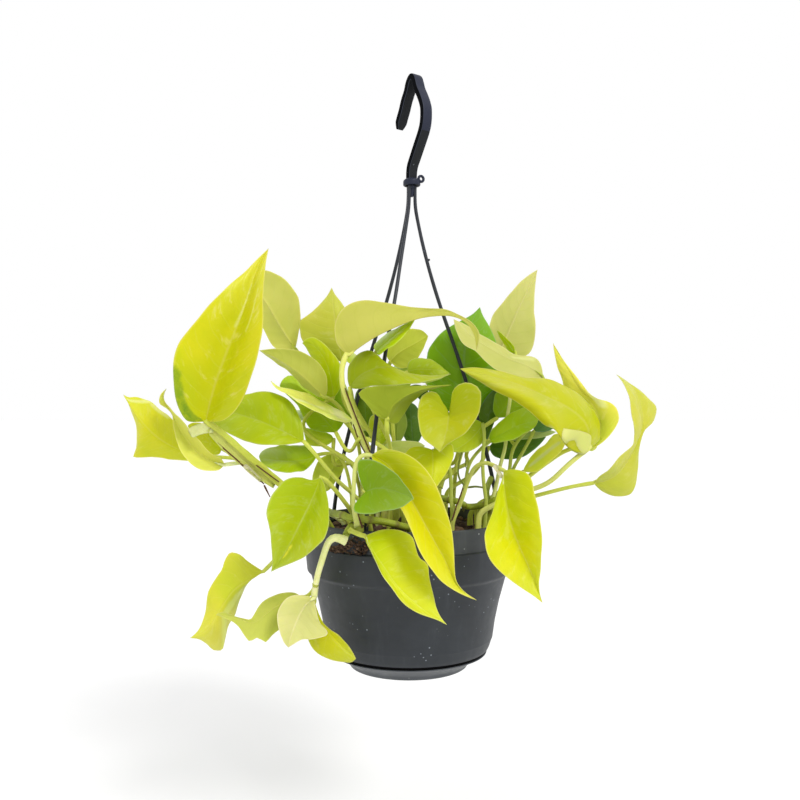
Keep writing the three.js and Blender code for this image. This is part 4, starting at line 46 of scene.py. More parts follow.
('leaf_05', 'L5', 'limegreen', [190.7, 203.3, 12.9], [-567,144,1958,-567,144,1958,-567,144,1958,-567,144,1958,-567,144,1958,-531,117,1993,-550,123,1986,-567,133,1980,-589,146,1970,-609,164,1962,-510,93,2033,-540,104,2019,-568,119,2007,-606,143,1986,-640,174,1970,-497,70,2079,-536,83,2059,-571,104,2041,-618,133,2015,-660,173,1994,-495,53,2126,-538,67,2102,-576,91,2081,-629,122,2054,-675,166,2031,-501,45,2172,-545,60,2146,-583,84,2122,-638,118,2095,-687,164,2070,-512,44,2216,-556,60,2189,-594,84,2163,-648,118,2133,-695,164,2105,-536,47,2257,-574,62,2229,-608,84,2203,-657,117,2171,-700,161,2141,-566,52,2294,-597,64,2266,-624,84,2240,-667,115,2207,-705,156,2177,-597,55,2330,-622,66,2302,-643,84,2275,-680,112,2242,-713,150,2212,-632,60,2362,-652,70,2335,-669,86,2311,-699,112,2277,-725,146,2246,-672,69,2391,-687,78,2365,-700,93,2341,-721,115,2309,-739,145,2280,-716,79,2410,-725,89,2382,-732,103,2356,-745,119,2333,-756,140,2311,-763,99,2401,-765,105,2382,-766,114,2365,-771,122,2352,-775,133,2341,-798,124,2368,-798,124,2368,-798,124,2368,-798,124,2368,-798,124,2368], [-296,8,920,-302,11,941,-308,14,962,-315,16,982,-320,18,1003,-325,19,1023,-329,20,1042,-332,20,1061,-335,20,1080,-335,19,1098,-335,16,1116,-335,10,1133,-334,0,1150,-333,-12,1167,-332,-26,1184,-331,-43,1201,-330,-61,1217,-328,-79,1233,-327,-98,1249,-325,-116,1265,-324,-134,1280,-323,-150,1295,-321,-165,1310,-320,-177,1325,-320,-186,1339,-319,-192,1354,-320,-195,1367,-321,-195,1381,-325,-193,1395,-331,-191,1408,-339,-187,1421,-349,-183,1433,-361,-177,1446,-375,-171,1458,-390,-164,1470,-406,-157,1483,-424,-149,1494,-443,-140,1506,-462,-131,1518,-482,-121,1529,-503,-111,1541,-524,-101,1552,-545,-90,1563,-567,-79,1575,-588,-68,1586,-609,-57,1597,-630,-46,1608,-650,-35,1620,-669,-24,1631,-688,-14,1642,-705,-3,1654,-722,7,1665,-736,17,1677,-750,27,1688,-761,36,1700,-771,45,1712,-779,53,1724,-785,60,1736,-788,67,1748,-789,73,1761,-788,79,1773,-783,85,1786,-777,90,1799,-768,95,1812,-757,100,1825,-745,105,1838,-730,110,1851,-714,115,1864,-696,120,1878,-677,124,1891,-657,128,1904,-636,133,1918,-614,137,1931,-591,140,1945,-567,144,1958], [1.7,1.4]),
('leaf_06', 'L6', 'lime', [198.9, 198.9, 23.8], [-1563,-220,1558,-1563,-220,1558,-1563,-220,1558,-1563,-220,1558,-1563,-220,1558,-1584,-178,1604,-1586,-198,1584,-1587,-214,1565,-1580,-193,1534,-1572,-168,1505,-1610,-136,1650,-1617,-174,1613,-1623,-204,1576,-1636,-181,1540,-1648,-152,1503,-1638,-95,1693,-1655,-148,1645,-1670,-191,1594,-1700,-161,1550,-1728,-122,1505,-1672,-57,1737,-1697,-123,1678,-1720,-177,1616,-1761,-142,1569,-1801,-96,1519,-1710,-26,1776,-1741,-102,1711,-1769,-162,1642,-1825,-118,1584,-1878,-60,1522,-1752,-8,1809,-1786,-86,1742,-1816,-148,1672,-1889,-92,1597,-1958,-17,1519,-1795,4,1840,-1828,-73,1772,-1857,-134,1703,-1951,-66,1613,-2039,26,1520,-1839,11,1869,-1868,-63,1803,-1893,-122,1735,-1958,-69,1661,-2020,2,1584,-1880,20,1905,-1905,-51,1840,-1929,-108,1771,-1968,-71,1716,-2005,-21,1657,-1921,24,1937,-1943,-42,1876,-1964,-95,1811,-1982,-68,1770,-2000,-33,1726,-1964,14,1953,-1981,-39,1905,-1998,-81,1853,-2005,-62,1824,-2013,-38,1793,-2010,-4,1962,-2020,-39,1929,-2031,-67,1894,-2031,-56,1876,-2032,-41,1858,-2054,-31,1959,-2058,-44,1948,-2063,-54,1935,-2061,-48,1928,-2059,-42,1920,-2094,-40,1979,-2094,-40,1979,-2094,-40,1979,-2094,-40,1979,-2094,-40,1979], [-426,154,920,-430,155,936,-434,157,952,-439,158,966,-446,158,979,-454,157,990,-463,156,1001,-474,154,1011,-486,152,1021,-500,149,1030,-514,147,1039,-528,144,1047,-544,141,1056,-559,138,1064,-575,134,1072,-590,131,1081,-605,128,1089,-619,125,1098,-633,123,1106,-646,120,1116,-660,118,1125,-673,116,1134,-686,113,1143,-699,111,1152,-712,109,1161,-726,106,1170,-739,104,1179,-752,101,1188,-765,99,1197,-779,96,1206,-792,94,1215,-805,91,1223,-819,88,1232,-833,85,1240,-846,82,1248,-860,79,1256,-874,75,1264,-888,72,1272,-902,68,1280,-915,64,1288,-928,60,1296,-941,56,1305,-953,51,1314,-964,46,1324,-975,41,1335,-986,35,1346,-997,29,1357,-1007,23,1368,-1018,17,1378,-1029,11,1389,-1041,6,1398,-1052,0,1408,-1065,-5,1417,-1077,-11,1425,-1090,-16,1434,-1103,-22,1442,-1117,-27,1450,-1130,-32,1457,-1143,-38,1464,-1157,-44,1471,-1171,-50,1477,-1184,-56,1484,-1198,-62,1490,-1212,-68,1496,-1226,-75,1501,-1240,-81,1506,-1254,-88,1511,-1268,-94,1514,-1283,-101,1517,-1297,-108,1520,-1312,-114,1521,-1326,-121,1523,-1341,-128,1524,-1356,-134,1526,-1370,-141,1527,-1385,-148,1528,-1400,-154,1530,-1415,-161,1531,-1430,-167,1533,-1444,-173,1536,-1459,-179,1538,-1474,-185,1540,-1489,-191,1543,-1504,-197,1546,-1519,-203,1549,-1533,-209,1552,-1548,-214,1555,-1563,-220,1558], [1.6,1.3]),
('leaf_07', 'L7', 'pale', [211.3, 211.0, 92.4], [-1300,-300,1483,-1300,-300,1483,-1300,-300,1483,-1300,-300,1483,-1300,-300,1483,-1339,-344,1447,-1339,-326,1472,-1338,-313,1494,-1324,-339,1513,-1308,-371,1530,-1397,-373,1446,-1390,-346,1479,-1381,-327,1511,-1367,-356,1534,-1353,-392,1554,-1455,-395,1457,-1440,-361,1497,-1426,-337,1535,-1407,-372,1561,-1389,-417,1586,-1508,-400,1490,-1488,-365,1530,-1470,-340,1567,-1445,-380,1596,-1421,-431,1622,-1552,-396,1537,-1530,-363,1572,-1510,-340,1605,-1480,-384,1634,-1452,-440,1661,-1589,-392,1588,-1566,-362,1618,-1545,-340,1646,-1515,-382,1674,-1487,-436,1699,-1614,-382,1647,-1594,-358,1670,-1577,-340,1693,-1548,-378,1715,-1522,-426,1737,-1636,-363,1707,-1621,-345,1724,-1609,-332,1740,-1579,-367,1760,-1554,-411,1778,-1658,-330,1768,-1648,-319,1778,-1640,-312,1788,-1617,-338,1801,-1598,-371,1814,-1672,-290,1832,-1671,-289,1834,-1671,-288,1835,-1661,-300,1841,-1653,-313,1846,-1712,-274,1877,-1708,-270,1879,-1704,-267,1882,-1698,-273,1884,-1692,-281,1886,-1770,-268,1919,-1756,-256,1922,-1740,-246,1927,-1736,-250,1927,-1732,-256,1928,-1772,-239,1972,-1761,-230,1972,-1751,-224,1973,-1752,-228,1975,-1753,-234,1977,-1737,-200,2022,-1737,-200,2022,-1737,-200,2022,-1737,-200,2022,-1737,-200,2022], [-452,-12,920,-453,-12,938,-454,-12,956,-456,-12,973,-459,-12,988,-463,-12,1003,-467,-12,1016,-473,-11,1027,-482,-9,1038,-493,-6,1048,-506,-3,1057,-520,0,1065,-536,4,1074,-552,7,1082,-568,10,1090,-584,12,1098,-599,14,1106,-614,14,1115,-628,13,1123,-641,11,1132,-655,8,1140,-668,4,1148,-681,-1,1156,-695,-6,1165,-708,-12,1173,-721,-17,1181,-735,-22,1190,-748,-27,1198,-761,-32,1207,-774,-36,1216,-787,-40,1225,-800,-44,1235,-813,-48,1244,-826,-52,1253,-839,-56,1263,-852,-59,1273,-864,-61,1283,-877,-63,1293,-889,-64,1303,-902,-65,1313,-914,-65,1324,-926,-65,1336,-938,-64,1347,-950,-64,1358,-962,-64,1370,-974,-64,1380,-987,-63,1390,-1000,-63,1399,-1014,-63,1406,-1029,-63,1414,-1044,-63,1421,-1059,-63,1428,-1074,-64,1436,-1089,-65,1443,-1103,-67,1451,-1116,-71,1457,-1127,-77,1463,-1136,-86,1468,-1145,-99,1473,-1152,-113,1477,-1160,-130,1481,-1166,-146,1484,-1173,-163,1486,-1178,-180,1488,-1184,-198,1489,-1188,-217,1490,-1193,-237,1491,-1197,-257,1492,-1202,-275,1493,-1207,-291,1493,-1212,-304,1494,-1219,-313,1494,-1227,-318,1494,-1237,-320,1493,-1250,-318,1492,-1265,-314,1489,-1282,-308,1486,-1300,-300,1483], [1.5,1.3]),
('leaf_08', 'L8', 'green', [204.5, 205.2, 12.9], [-1326,-280,1594,-1326,-280,1594,-1326,-280,1594,-1326,-280,1594,-1326,-280,1594,-1334,-279,1617,-1334,-280,1608,-1334,-279,1599,-1337,-272,1580,-1339,-262,1563,-1345,-277,1638,-1346,-278,1622,-1345,-277,1606,-1352,-267,1578,-1357,-251,1551,-1361,-274,1657,-1362,-275,1637,-1362,-274,1617,-1376,-260,1581,-1388,-240,1547,-1378,-269,1676,-1381,-271,1652,-1381,-269,1630,-1400,-253,1588,-1415,-229,1548,-1395,-263,1694,-1399,-265,1669,-1401,-263,1644,-1421,-247,1603,-1436,-223,1563,-1409,-255,1716,-1417,-258,1688,-1421,-255,1660,-1441,-241,1623,-1456,-218,1586,-1423,-244,1739,-1434,-247,1708,-1442,-244,1677,-1461,-231,1642,-1476,-209,1608,-1439,-232,1756,-1453,-235,1725,-1464,-232,1693,-1483,-219,1659,-1499,-198,1625,-1462,-222,1769,-1475,-225,1738,-1487,-222,1708,-1505,-210,1675,-1521,-190,1643,-1487,-215,1777,-1499,-218,1749,-1509,-215,1721,-1526,-204,1691,-1540,-186,1663,-1513,-210,1779,-1522,-212,1755,-1530,-210,1732,-1543,-201,1708,-1555,-186,1684,-1539,-205,1779,-1545,-207,1760,-1550,-205,1742,-1559,-199,1724,-1567,-188,1707,-1562,-202,1773,-1565,-203,1762,-1568,-202,1751,-1573,-199,1741,-1577,-193,1732,-1584,-200,1758,-1584,-200,1758,-1584,-200,1758,-1584,-200,1758,-1584,-200,1758], [-403,-39,920,-404,-39,938,-405,-39,956,-407,-39,973,-409,-40,989,-412,-40,1003,-417,-41,1016,-422,-42,1029,-430,-44,1040,-441,-47,1050,-453,-51,1060,-467,-55,1070,-482,-60,1079,-497,-65,1088,-512,-70,1096,-527,-74,1105,-541,-79,1114,-554,-83,1123,-567,-88,1132,-581,-92,1140,-594,-97,1149,-607,-102,1157,-621,-106,1166,-634,-111,1173,-648,-115,1180,-662,-119,1187,-677,-122,1193,-692,-126,1199,-707,-130,1205,-722,-133,1210,-737,-136,1216,-752,-140,1222,-767,-143,1228,-781,-146,1235,-796,-150,1242,-810,-153,1249,-823,-156,1257,-837,-160,1266,-851,-163,1274,-864,-166,1283,-877,-170,1293,-890,-173,1302,-903,-176,1312,-916,-180,1321,-928,-183,1332,-940,-186,1342,-952,-190,1353,-964,-193,1364,-976,-196,1374,-988,-200,1385,-999,-204,1396,-1011,-207,1407,-1023,-211,1417,-1035,-215,1428,-1047,-218,1439,-1059,-222,1449,-1072,-225,1459,-1085,-227,1468,-1098,-230,1477,-1112,-232,1486,-1126,-235,1494,-1140,-237,1502,-1155,-241,1509,-1169,-245,1514,-1184,-249,1520,-1199,-253,1525,-1213,-257,1532,-1227,-261,1539,-1241,-264,1547,-1255,-267,1556,-1268,-270,1564,-1282,-273,1572,-1297,-275,1580,-1311,-278,1587,-1326,-280,1594], [1.5,1.1]),
('leaf_09', 'L9', 'limegreen', [170.1, 183.5, 12.9], [-749,-220,1643,-749,-220,1643,-749,-220,1643,-749,-220,1643,-749,-220,1643,-754,-203,1712,-769,-215,1688,-785,-219,1661,-792,-232,1647,-801,-241,1631,-768,-186,1779,-795,-208,1733,-824,-217,1681,-838,-242,1654,-854,-258,1624,-797,-170,1845,-832,-201,1777,-869,-213,1702,-887,-248,1663,-907,-270,1620,-833,-154,1905,-875,-192,1819,-918,-208,1724,-939,-251,1675,-961,-279,1620,-885,-140,1954,-928,-183,1857,-971,-200,1748,-993,-252,1688,-1015,-285,1621,-951,-127,1982,-991,-170,1883,-1028,-187,1772,-1050,-245,1704,-1070,-283,1626,-1023,-107,1997,-1058,-147,1902,-1087,-164,1794,-1110,-224,1721,-1127,-264,1639,-1096,-84,1999,-1126,-120,1911,-1149,-135,1812,-1169,-195,1738,-1184,-235,1655,-1169,-63,1984,-1193,-93,1911,-1212,-106,1829,-1229,-163,1758,-1241,-201,1677,-1243,-41,1973,-1263,-66,1911,-1276,-77,1842,-1291,-129,1775,-1299,-165,1699,-1319,-16,1959,-1332,-37,1905,-1340,-46,1845,-1352,-90,1788,-1357,-120,1724,-1392,9,1938,-1399,-8,1893,-1401,-15,1844,-1410,-47,1802,-1414,-69,1755,-1453,28,1901,-1456,18,1874,-1456,13,1844,-1462,-5,1820,-1464,-17,1794,-1505,40,1843,-1505,40,1843,-1505,40,1843,-1505,40,1843,-1505,40,1843], [-312,-60,920,-312,-60,943,-312,-60,966,-312,-60,988,-312,-60,1009,-312,-60,1030,-312,-60,1051,-312,-60,1071,-312,-60,1090,-312,-60,1109,-314,-62,1127,-318,-66,1144,-325,-72,1161,-335,-81,1178,-347,-92,1194,-360,-103,1210,-373,-113,1225,-385,-123,1240,-398,-131,1254,-412,-139,1268,-426,-147,1281,-440,-154,1294,-455,-162,1307,-470,-168,1320,-485,-174,1334,-499,-180,1348,-512,-185,1363,-526,-190,1378,-539,-194,1393,-552,-198,1409,-565,-202,1425,-578,-206,1441,-591,-209,1457,-604,-213,1473,-617,-216,1489,-630,-220,1505,-642,-223,1521,-655,-227,1538,-668,-231,1554,-681,-235,1570,-694,-237,1586,-708,-238,1601,-721,-235,1616,-735,-229,1629,-749,-220,1643], [1.7,1.4]),
('leaf_10', 'L10', 'green', [164.1, 185.5, 12.9], [-674,20,1534,-674,20,1534,-674,20,1534,-674,20,1534,-674,20,1534,-705,90,1556,-700,48,1544,-693,10,1524,-691,-8,1515,-688,-24,1502,-738,154,1575,-728,73,1552,-715,-1,1514,-711,-33,1498,-706,-61,1475,-775,215,1595,-759,95,1561,-742,-14,1505,-736,-58,1482,-730,-97,1450,-809,228,1600,-790,94,1562,-773,-27,1499,-765,-82,1471,-759,-132,1431,-844,220,1599,-824,84,1560,-807,-40,1496,-798,-99,1466,-791,-153,1423,-879,207,1597,-859,71,1558,-843,-53,1494,-834,-115,1463,-826,-171,1418,-913,190,1595,-894,57,1557,-879,-66,1494,-869,-129,1462,-862,-186,1417,-947,172,1594,-929,43,1557,-915,-76,1496,-905,-138,1464,-898,-194,1420,-981,156,1592,-965,33,1557,-951,-80,1499,-943,-138,1469,-936,-191,1428,-1014,141,1588,-1000,27,1556,-987,-77,1502,-980,-131,1475,-973,-180,1436,-1047,118,1581,-1034,20,1553,-1022,-70,1507,-1017,-118,1483,-1012,-161,1449,-1075,85,1570,-1064,9,1549,-1053,-61,1513,-1051,-98,1494,-1048,-133,1467,-1092,35,1553,-1085,-9,1540,-1079,-50,1520,-1077,-73,1508,-1076,-94,1491,-1099,-40,1525,-1099,-40,1525,-1099,-40,1525,-1099,-40,1525,-1099,-40,1525], [-422,80,920,-422,80,941,-422,80,962,-422,80,983,-422,80,1004,-422,80,1024,-422,80,1045,-422,80,1066,-422,80,1087,-422,80,1107,-422,80,1128,-422,80,1149,-423,81,1170,-424,82,1190,-425,85,1211,-428,87,1231,-430,91,1252,-434,94,1273,-437,96,1293,-441,98,1313,-444,99,1334,-448,99,1354,-453,98,1375,-458,96,1396,-463,93,1417,-470,90,1437,-477,86,1456,-485,82,1474,-494,77,1490,-506,70,1506,-521,62,1520,-537,54,1532,-554,46,1541,-572,40,1545,-590,34,1545,-610,30,1545,-630,26,1543,-652,23,1539,-674,20,1534], [1.4,1.2]),
('leaf_11', 'L11', 'lime', [227.9, 231.8, 99.7], [-413,-60,1794,-413,-60,1794,-413,-60,1794,-413,-60,1794,-413,-60,1794,-451,9,1826,-451,-33,1819,-454,-73,1803,-451,-121,1795,-451,-166,1777,-495,38,1851,-494,-26,1839,-497,-86,1816,-495,-140,1806,-497,-191,1787,-538,59,1876,-536,-22,1861,-542,-100,1831,-540,-154,1821,-543,-206,1802,-580,66,1902,-578,-25,1884,-586,-112,1851,-583,-171,1840,-586,-228,1819,-623,57,1925,-620,-35,1907,-628,-123,1873,-625,-189,1861,-628,-251,1838,-665,41,1947,-662,-49,1929,-669,-135,1896,-666,-205,1883,-670,-272,1858,-707,23,1967,-704,-64,1950,-711,-146,1918,-707,-218,1905,-711,-286,1880,-750,2,1987,-747,-78,1971,-751,-155,1941,-748,-221,1928,-751,-283,1905,-792,-24,2003,-790,-93,1989,-793,-160,1962,-790,-214,1952,-792,-265,1933,-836,-49,2015,-834,-106,2004,-836,-159,1982,-834,-201,1974,-835,-240,1959,-880,-73,2025,-878,-115,2017,-879,-155,2001,-878,-184,1995,-879,-211,1985,-924,-115,2032,-922,-131,2028,-922,-147,2022,-922,-177,2017,-924,-205,2007,-967,-117,2043,-964,-126,2046,-962,-135,2048,-962,-160,2044,-964,-184,2035,-1001,-120,2077,-1001,-120,2077,-1001,-120,2077,-1001,-120,2077,-1001,-120,2077], [-225,-20,920,-225,-20,941,-225,-20,962,-225,-20,983,-225,-20,1004,-225,-20,1025,-225,-20,1046,-225,-20,1067,-225,-20,1087,-225,-20,1108,-225,-20,1129,-225,-20,1149,-225,-20,1170,-225,-20,1190,-225,-20,1211,-225,-20,1231,-225,-20,1252,-225,-20,1272,-226,-20,1292,-228,-21,1313,-231,-22,1333,-236,-24,1353,-241,-26,1373,-247,-28,1393,-253,-30,1413,-260,-32,1433,-267,-35,1453,-274,-37,1472,-281,-39,1492,-288,-42,1511,-295,-44,1530,-302,-47,1549,-310,-50,1568,-319,-52,1587,-327,-55,1606,-336,-57,1625,-344,-59,1644,-353,-60,1662,-361,-60,1681,-370,-60,1700,-378,-60,1719,-387,-60,1738,-396,-60,1757,-404,-60,1775,-413,-60,1794], [1.8,1.4]),
('leaf_12', 'L12', 'green', [162.3, 188.4, 12.9], [-553,232,1692,-553,232,1692,-553,232,1692,-553,232,1692,-553,232,1692,-510,252,1740,-537,235,1724,-566,224,1709,-581,228,1700,-597,235,1692,-491,261,1787,-535,232,1758,-583,215,1731,-611,222,1711,-640,236,1692,-500,258,1836,-551,224,1797,-606,202,1759,-644,213,1728,-685,233,1698,-533,248,1886,-581,211,1838,-634,189,1792,-678,201,1751,-726,226,1712,-571,235,1931,-616,198,1879,-665,175,1828,-709,189,1780,-756,215,1734,-610,222,1970,-652,185,1916,-698,162,1863,-737,175,1816,-781,200,1771,-653,205,2005,-690,170,1951,-731,148,1898,-765,160,1854,-801,183,1811,-698,191,2036,-730,158,1983,-764,137,1931,-790,147,1891,-817,167,1851,-745,181,2065,-771,151,2015,-798,132,1963,-815,141,1927,-833,157,1891,-795,175,2089,-813,148,2043,-833,132,1995,-845,140,1960,-857,156,1924,-848,173,2113,-858,147,2067,-870,132,2019,-879,139,1987,-889,153,1954,-899,171,2126,-904,146,2081,-909,132,2035,-915,138,2009,-921,149,1982,-947,154,2097,-945,140,2071,-943,132,2044,-947,136,2028,-952,143,2012,-970,132,2049,-970,132,2049,-970,132,2049,-970,132,2049,-970,132,2049], [155,-260,920,157,-260,942,159,-261,964,161,-262,985,162,-262,1007,163,-262,1028,164,-262,1048,164,-263,1069,165,-263,1089,165,-263,1108,165,-263,1127,165,-263,1145,164,-263,1163,162,-263,1182,158,-262,1200,153,-262,1219,146,-261,1238,138,-261,1257,128,-260,1276,117,-259,1296,105,-258,1316,92,-256,1335,77,-255,1355,62,-253,1375,46,-252,1394,29,-250,1413,12,-248,1432,-6,-246,1451,-25,-244,1469,-43,-241,1487,-62,-239,1504,-82,-236,1521,-101,-233,1537,-120,-231,1553,-139,-228,1568,-158,-224,1582,-177,-221,1595,-195,-218,1607,-212,-214,1619,-230,-211,1629,-246,-207,1639,-261,-203,1647,-276,-199,1654,-290,-195,1660,-303,-191,1665,-314,-187,1668,-324,-182,1670,-334,-177,1670,-342,-169,1669,-349,-159,1666,-357,-146,1661,-363,-130,1656,-369,-112,1649,-375,-92,1641,-381,-71,1632,-387,-48,1623,-392,-25,1613,-398,-1,1604,-403,23,1594,-409,46,1585,-414,69,1577,-420,91,1569,-426,111,1562,-433,129,1557,-440,145,1552,-448,159,1550,-456,170,1550,-464,180,1553,-474,189,1561,-484,197,1572,-495,205,1587,-506,212,1605,-517,218,1625,-529,223,1647,-541,228,1669,-553,232,1692], [1.7,1.4]),
('leaf_13', 'L13', 'green', [193.7, 209.8, 48.5], [-575,298,1636,-575,298,1636,-575,298,1636,-575,298,1636,-575,298,1636,-584,319,1654,-586,306,1646,-588,296,1637,-590,298,1626,-592,302,1615,-596,334,1669,-599,311,1654,-603,294,1637,-606,296,1619,-611,303,1598,-609,340,1677,-613,312,1659,-619,290,1639,-625,293,1615,-632,301,1590,-626,341,1684,-631,309,1664,-638,284,1641,-646,288,1614,-656,298,1585,-644,338,1690,-649,305,1668,-658,278,1644,-668,283,1614,-681,293,1582,-663,329,1695,-668,296,1673,-678,270,1650,-690,275,1617,-706,287,1582,-681,317,1700,-687,285,1680,-696,260,1658,-712,266,1622,-732,278,1585,-697,303,1706,-704,273,1687,-714,249,1667,-732,255,1629,-754,269,1590,-714,290,1712,-720,262,1694,-730,239,1676,-748,245,1640,-770,258,1604,-730,275,1717,-736,250,1701,-745,230,1685,-762,235,1657,-783,246,1628,-747,258,1720,-752,238,1708,-759,222,1695,-773,226,1674,-789,234,1652,-763,240,1723,-767,225,1714,-772,214,1705,-781,216,1691,-793,222,1676,-779,220,1726,-781,212,1721,-784,206,1716,-789,207,1709,-795,210,1701,-795,198,1727,-795,198,1727,-795,198,1727,-795,198,1727,-795,198,1727], [-242,296,920,-260,305,929,-278,314,937,-295,323,947,-310,330,956,-325,337,966,-338,343,977,-350,348,988,-361,352,999,-370,356,1011,-377,359,1023,-383,361,1035,-386,362,1047,-388,362,1060,-388,362,1074,-387,361,1088,-385,358,1103,-382,355,1119,-379,350,1135,-376,346,1151,-374,341,1168,-372,335,1184,-370,330,1199,-370,325,1215,-370,319,1230,-372,313,1244,-374,306,1259,-377,299,1273,-380,291,1287,-384,283,1301,-388,276,1315,-391,268,1329,-395,260,1344,-398,253,1358,-401,245,1374,-404,238,1391,-406,231,1409,-408,224,1426,-411,217,1441,-414,210,1452,-418,202,1459,-425,193,1462,-435,184,1462,-448,174,1460,-464,163,1458,-482,152,1456,-500,141,1453,-517,132,1450,-532,124,1448,-544,119,1447,-553,115,1446,-558,114,1446,-560,115,1448,-563,118,1451,-564,121,1456,-566,126,1463,-567,133,1471,-569,141,1480,-570,150,1491,-571,161,1503,-572,173,1516,-573,186,1531,-573,201,1546,-574,218,1563,-574,236,1580,-575,256,1598,-575,276,1617,-575,298,1636], [1.7,1.4]),
('leaf_14', 'L14', 'limegreen', [162.2, 176.9, 12.9], [-601,-560,1419,-601,-560,1419,-601,-560,1419,-601,-560,1419,-601,-560,1419,-656,-616,1406,-633,-606,1398,-610,-593,1387,-588,-613,1381,-567,-629,1372,-711,-679,1428,-663,-656,1396,-619,-623,1356,-582,-661,1340,-548,-690,1318,-768,-740,1430,-696,-706,1381,-631,-656,1322,-579,-709,1298,-532,-751,1266,-820,-799,1413,-729,-755,1353,-646,-693,1280,-582,-759,1252,-523,-811,1214,-855,-844,1372,-758,-797,1309,-666,-729,1233,-590,-807,1203,-519,-868,1163,-888,-882,1325,-786,-834,1261,-689,-762,1185,-604,-849,1154,-523,-917,1112,-905,-910,1271,-806,-863,1209,-712,-793,1136,-625,-884,1105,-541,-953,1063,-913,-927,1212,-822,-884,1155,-735,-819,1089,-656,-901,1060,-579,-964,1024,-902,-926,1152,-829,-890,1101,-757,-836,1043,-689,-908,1016,-622,-962,984,-890,-914,1091,-835,-887,1047,-780,-844,1000,-725,-904,976,-670,-949,949,-887,-903,1028,-846,-883,994,-805,-850,958,-764,-896,939,-723,-929,918,-884,-890,964,-858,-877,941,-832,-855,916,-805,-885,904,-778,-907,890,-883,-874,900,-872,-868,888,-861,-859,876,-848,-872,870,-836,-882,864,-892,-860,835,-892,-860,835,-892,-860,835,-892,-860,835,-892,-860,835], [-368,-420,920,-368,-420,943,-368,-420,965,-368,-420,987,-368,-420,1009,-368,-420,1030,-368,-420,1050,-368,-420,1070,-368,-420,1090,-369,-421,1109,-373,-425,1127,-380,-431,1145,-390,-440,1162,-401,-449,1179,-412,-459,1195,-423,-467,1212,-434,-474,1228,-445,-482,1245,-456,-489,1261,-468,-497,1277,-479,-504,1293,-491,-511,1309,-503,-519,1324,-515,-526,1340,-527,-533,1356,-539,-541,1371,-552,-549,1387,-566,-555,1401,-582,-559,1411,-601,-560,1419], [1.8,1.4]),
('leaf_15', 'L15', 'olive', [202.1, 211.2, 81.1], [-503,260,1520,-503,260,1520,-503,260,1520,-503,260,1520,-503,260,1520,-492,270,1497,-504,262,1503,-514,251,1510,-527,248,1519,-538,241,1528,-486,276,1475,-508,261,1486,-527,240,1497,-552,234,1513,-573,222,1530,-486,275,1452,-516,255,1466,-542,228,1482,-577,219,1502,-608,203,1524,-491,268,1429,-526,244,1445,-556,213,1463,-601,202,1487,-641,182,1512,-498,257,1407,-536,231,1423,-568,198,1442,-622,184,1466,-670,161,1493,-506,241,1386,-545,215,1401,-578,181,1419,-637,166,1440,-689,142,1466,-515,223,1368,-554,197,1379,-587,164,1394,-648,149,1411,-702,124,1433,-527,202,1351,-563,179,1358,-594,149,1369,-656,134,1382,-712,109,1399,-541,181,1334,-572,161,1338,-599,135,1343,-662,121,1352,-719,95,1365,-554,163,1317,-580,146,1317,-604,124,1319,-662,110,1322,-716,86,1330,-565,147,1298,-587,133,1296,-607,114,1295,-656,103,1294,-701,83,1296,-577,133,1281,-594,122,1278,-609,107,1276,-645,98,1272,-678,84,1269,-592,117,1267,-601,111,1265,-610,102,1264,-628,98,1258,-645,90,1253,-610,100,1256,-610,100,1256,-610,100,1256,-610,100,1256,-610,100,1256], [-436,311,920,-434,310,936,-433,308,953,-433,307,969,-432,306,986,-432,305,1002,-431,305,1018,-431,304,1035,-431,304,1051,-432,304,1068,-432,304,1085,-433,305,1102,-435,306,1119,-436,307,1136,-438,308,1152,-439,310,1167,-439,312,1181,-439,317,1194,-438,324,1205,-437,333,1217,-435,345,1227,-433,359,1237,-431,374,1247,-429,390,1257,-427,406,1266,-426,421,1276,-425,436,1286,-425,450,1297,-425,466,1308,-426,482,1320,-426,498,1332,-427,513,1343,-428,525,1353,-428,534,1361,-428,537,1367,-428,536,1371,-428,530,1375,-427,519,1377,-425,505,1379,-424,488,1381,-422,468,1382,-420,447,1384,-418,425,1385,-416,402,1386,-415,380,1387,-413,359,1389,-412,340,1391,-410,323,1393,-410,310,1396,-410,299,1399,-411,292,1404,-414,286,1410,-420,281,1419,-427,276,1430,-437,272,1442,-449,268,1456,-461,265,1471,-475,263,1487,-488,261,1503,-503,260,1520], [1.4,1.2]),
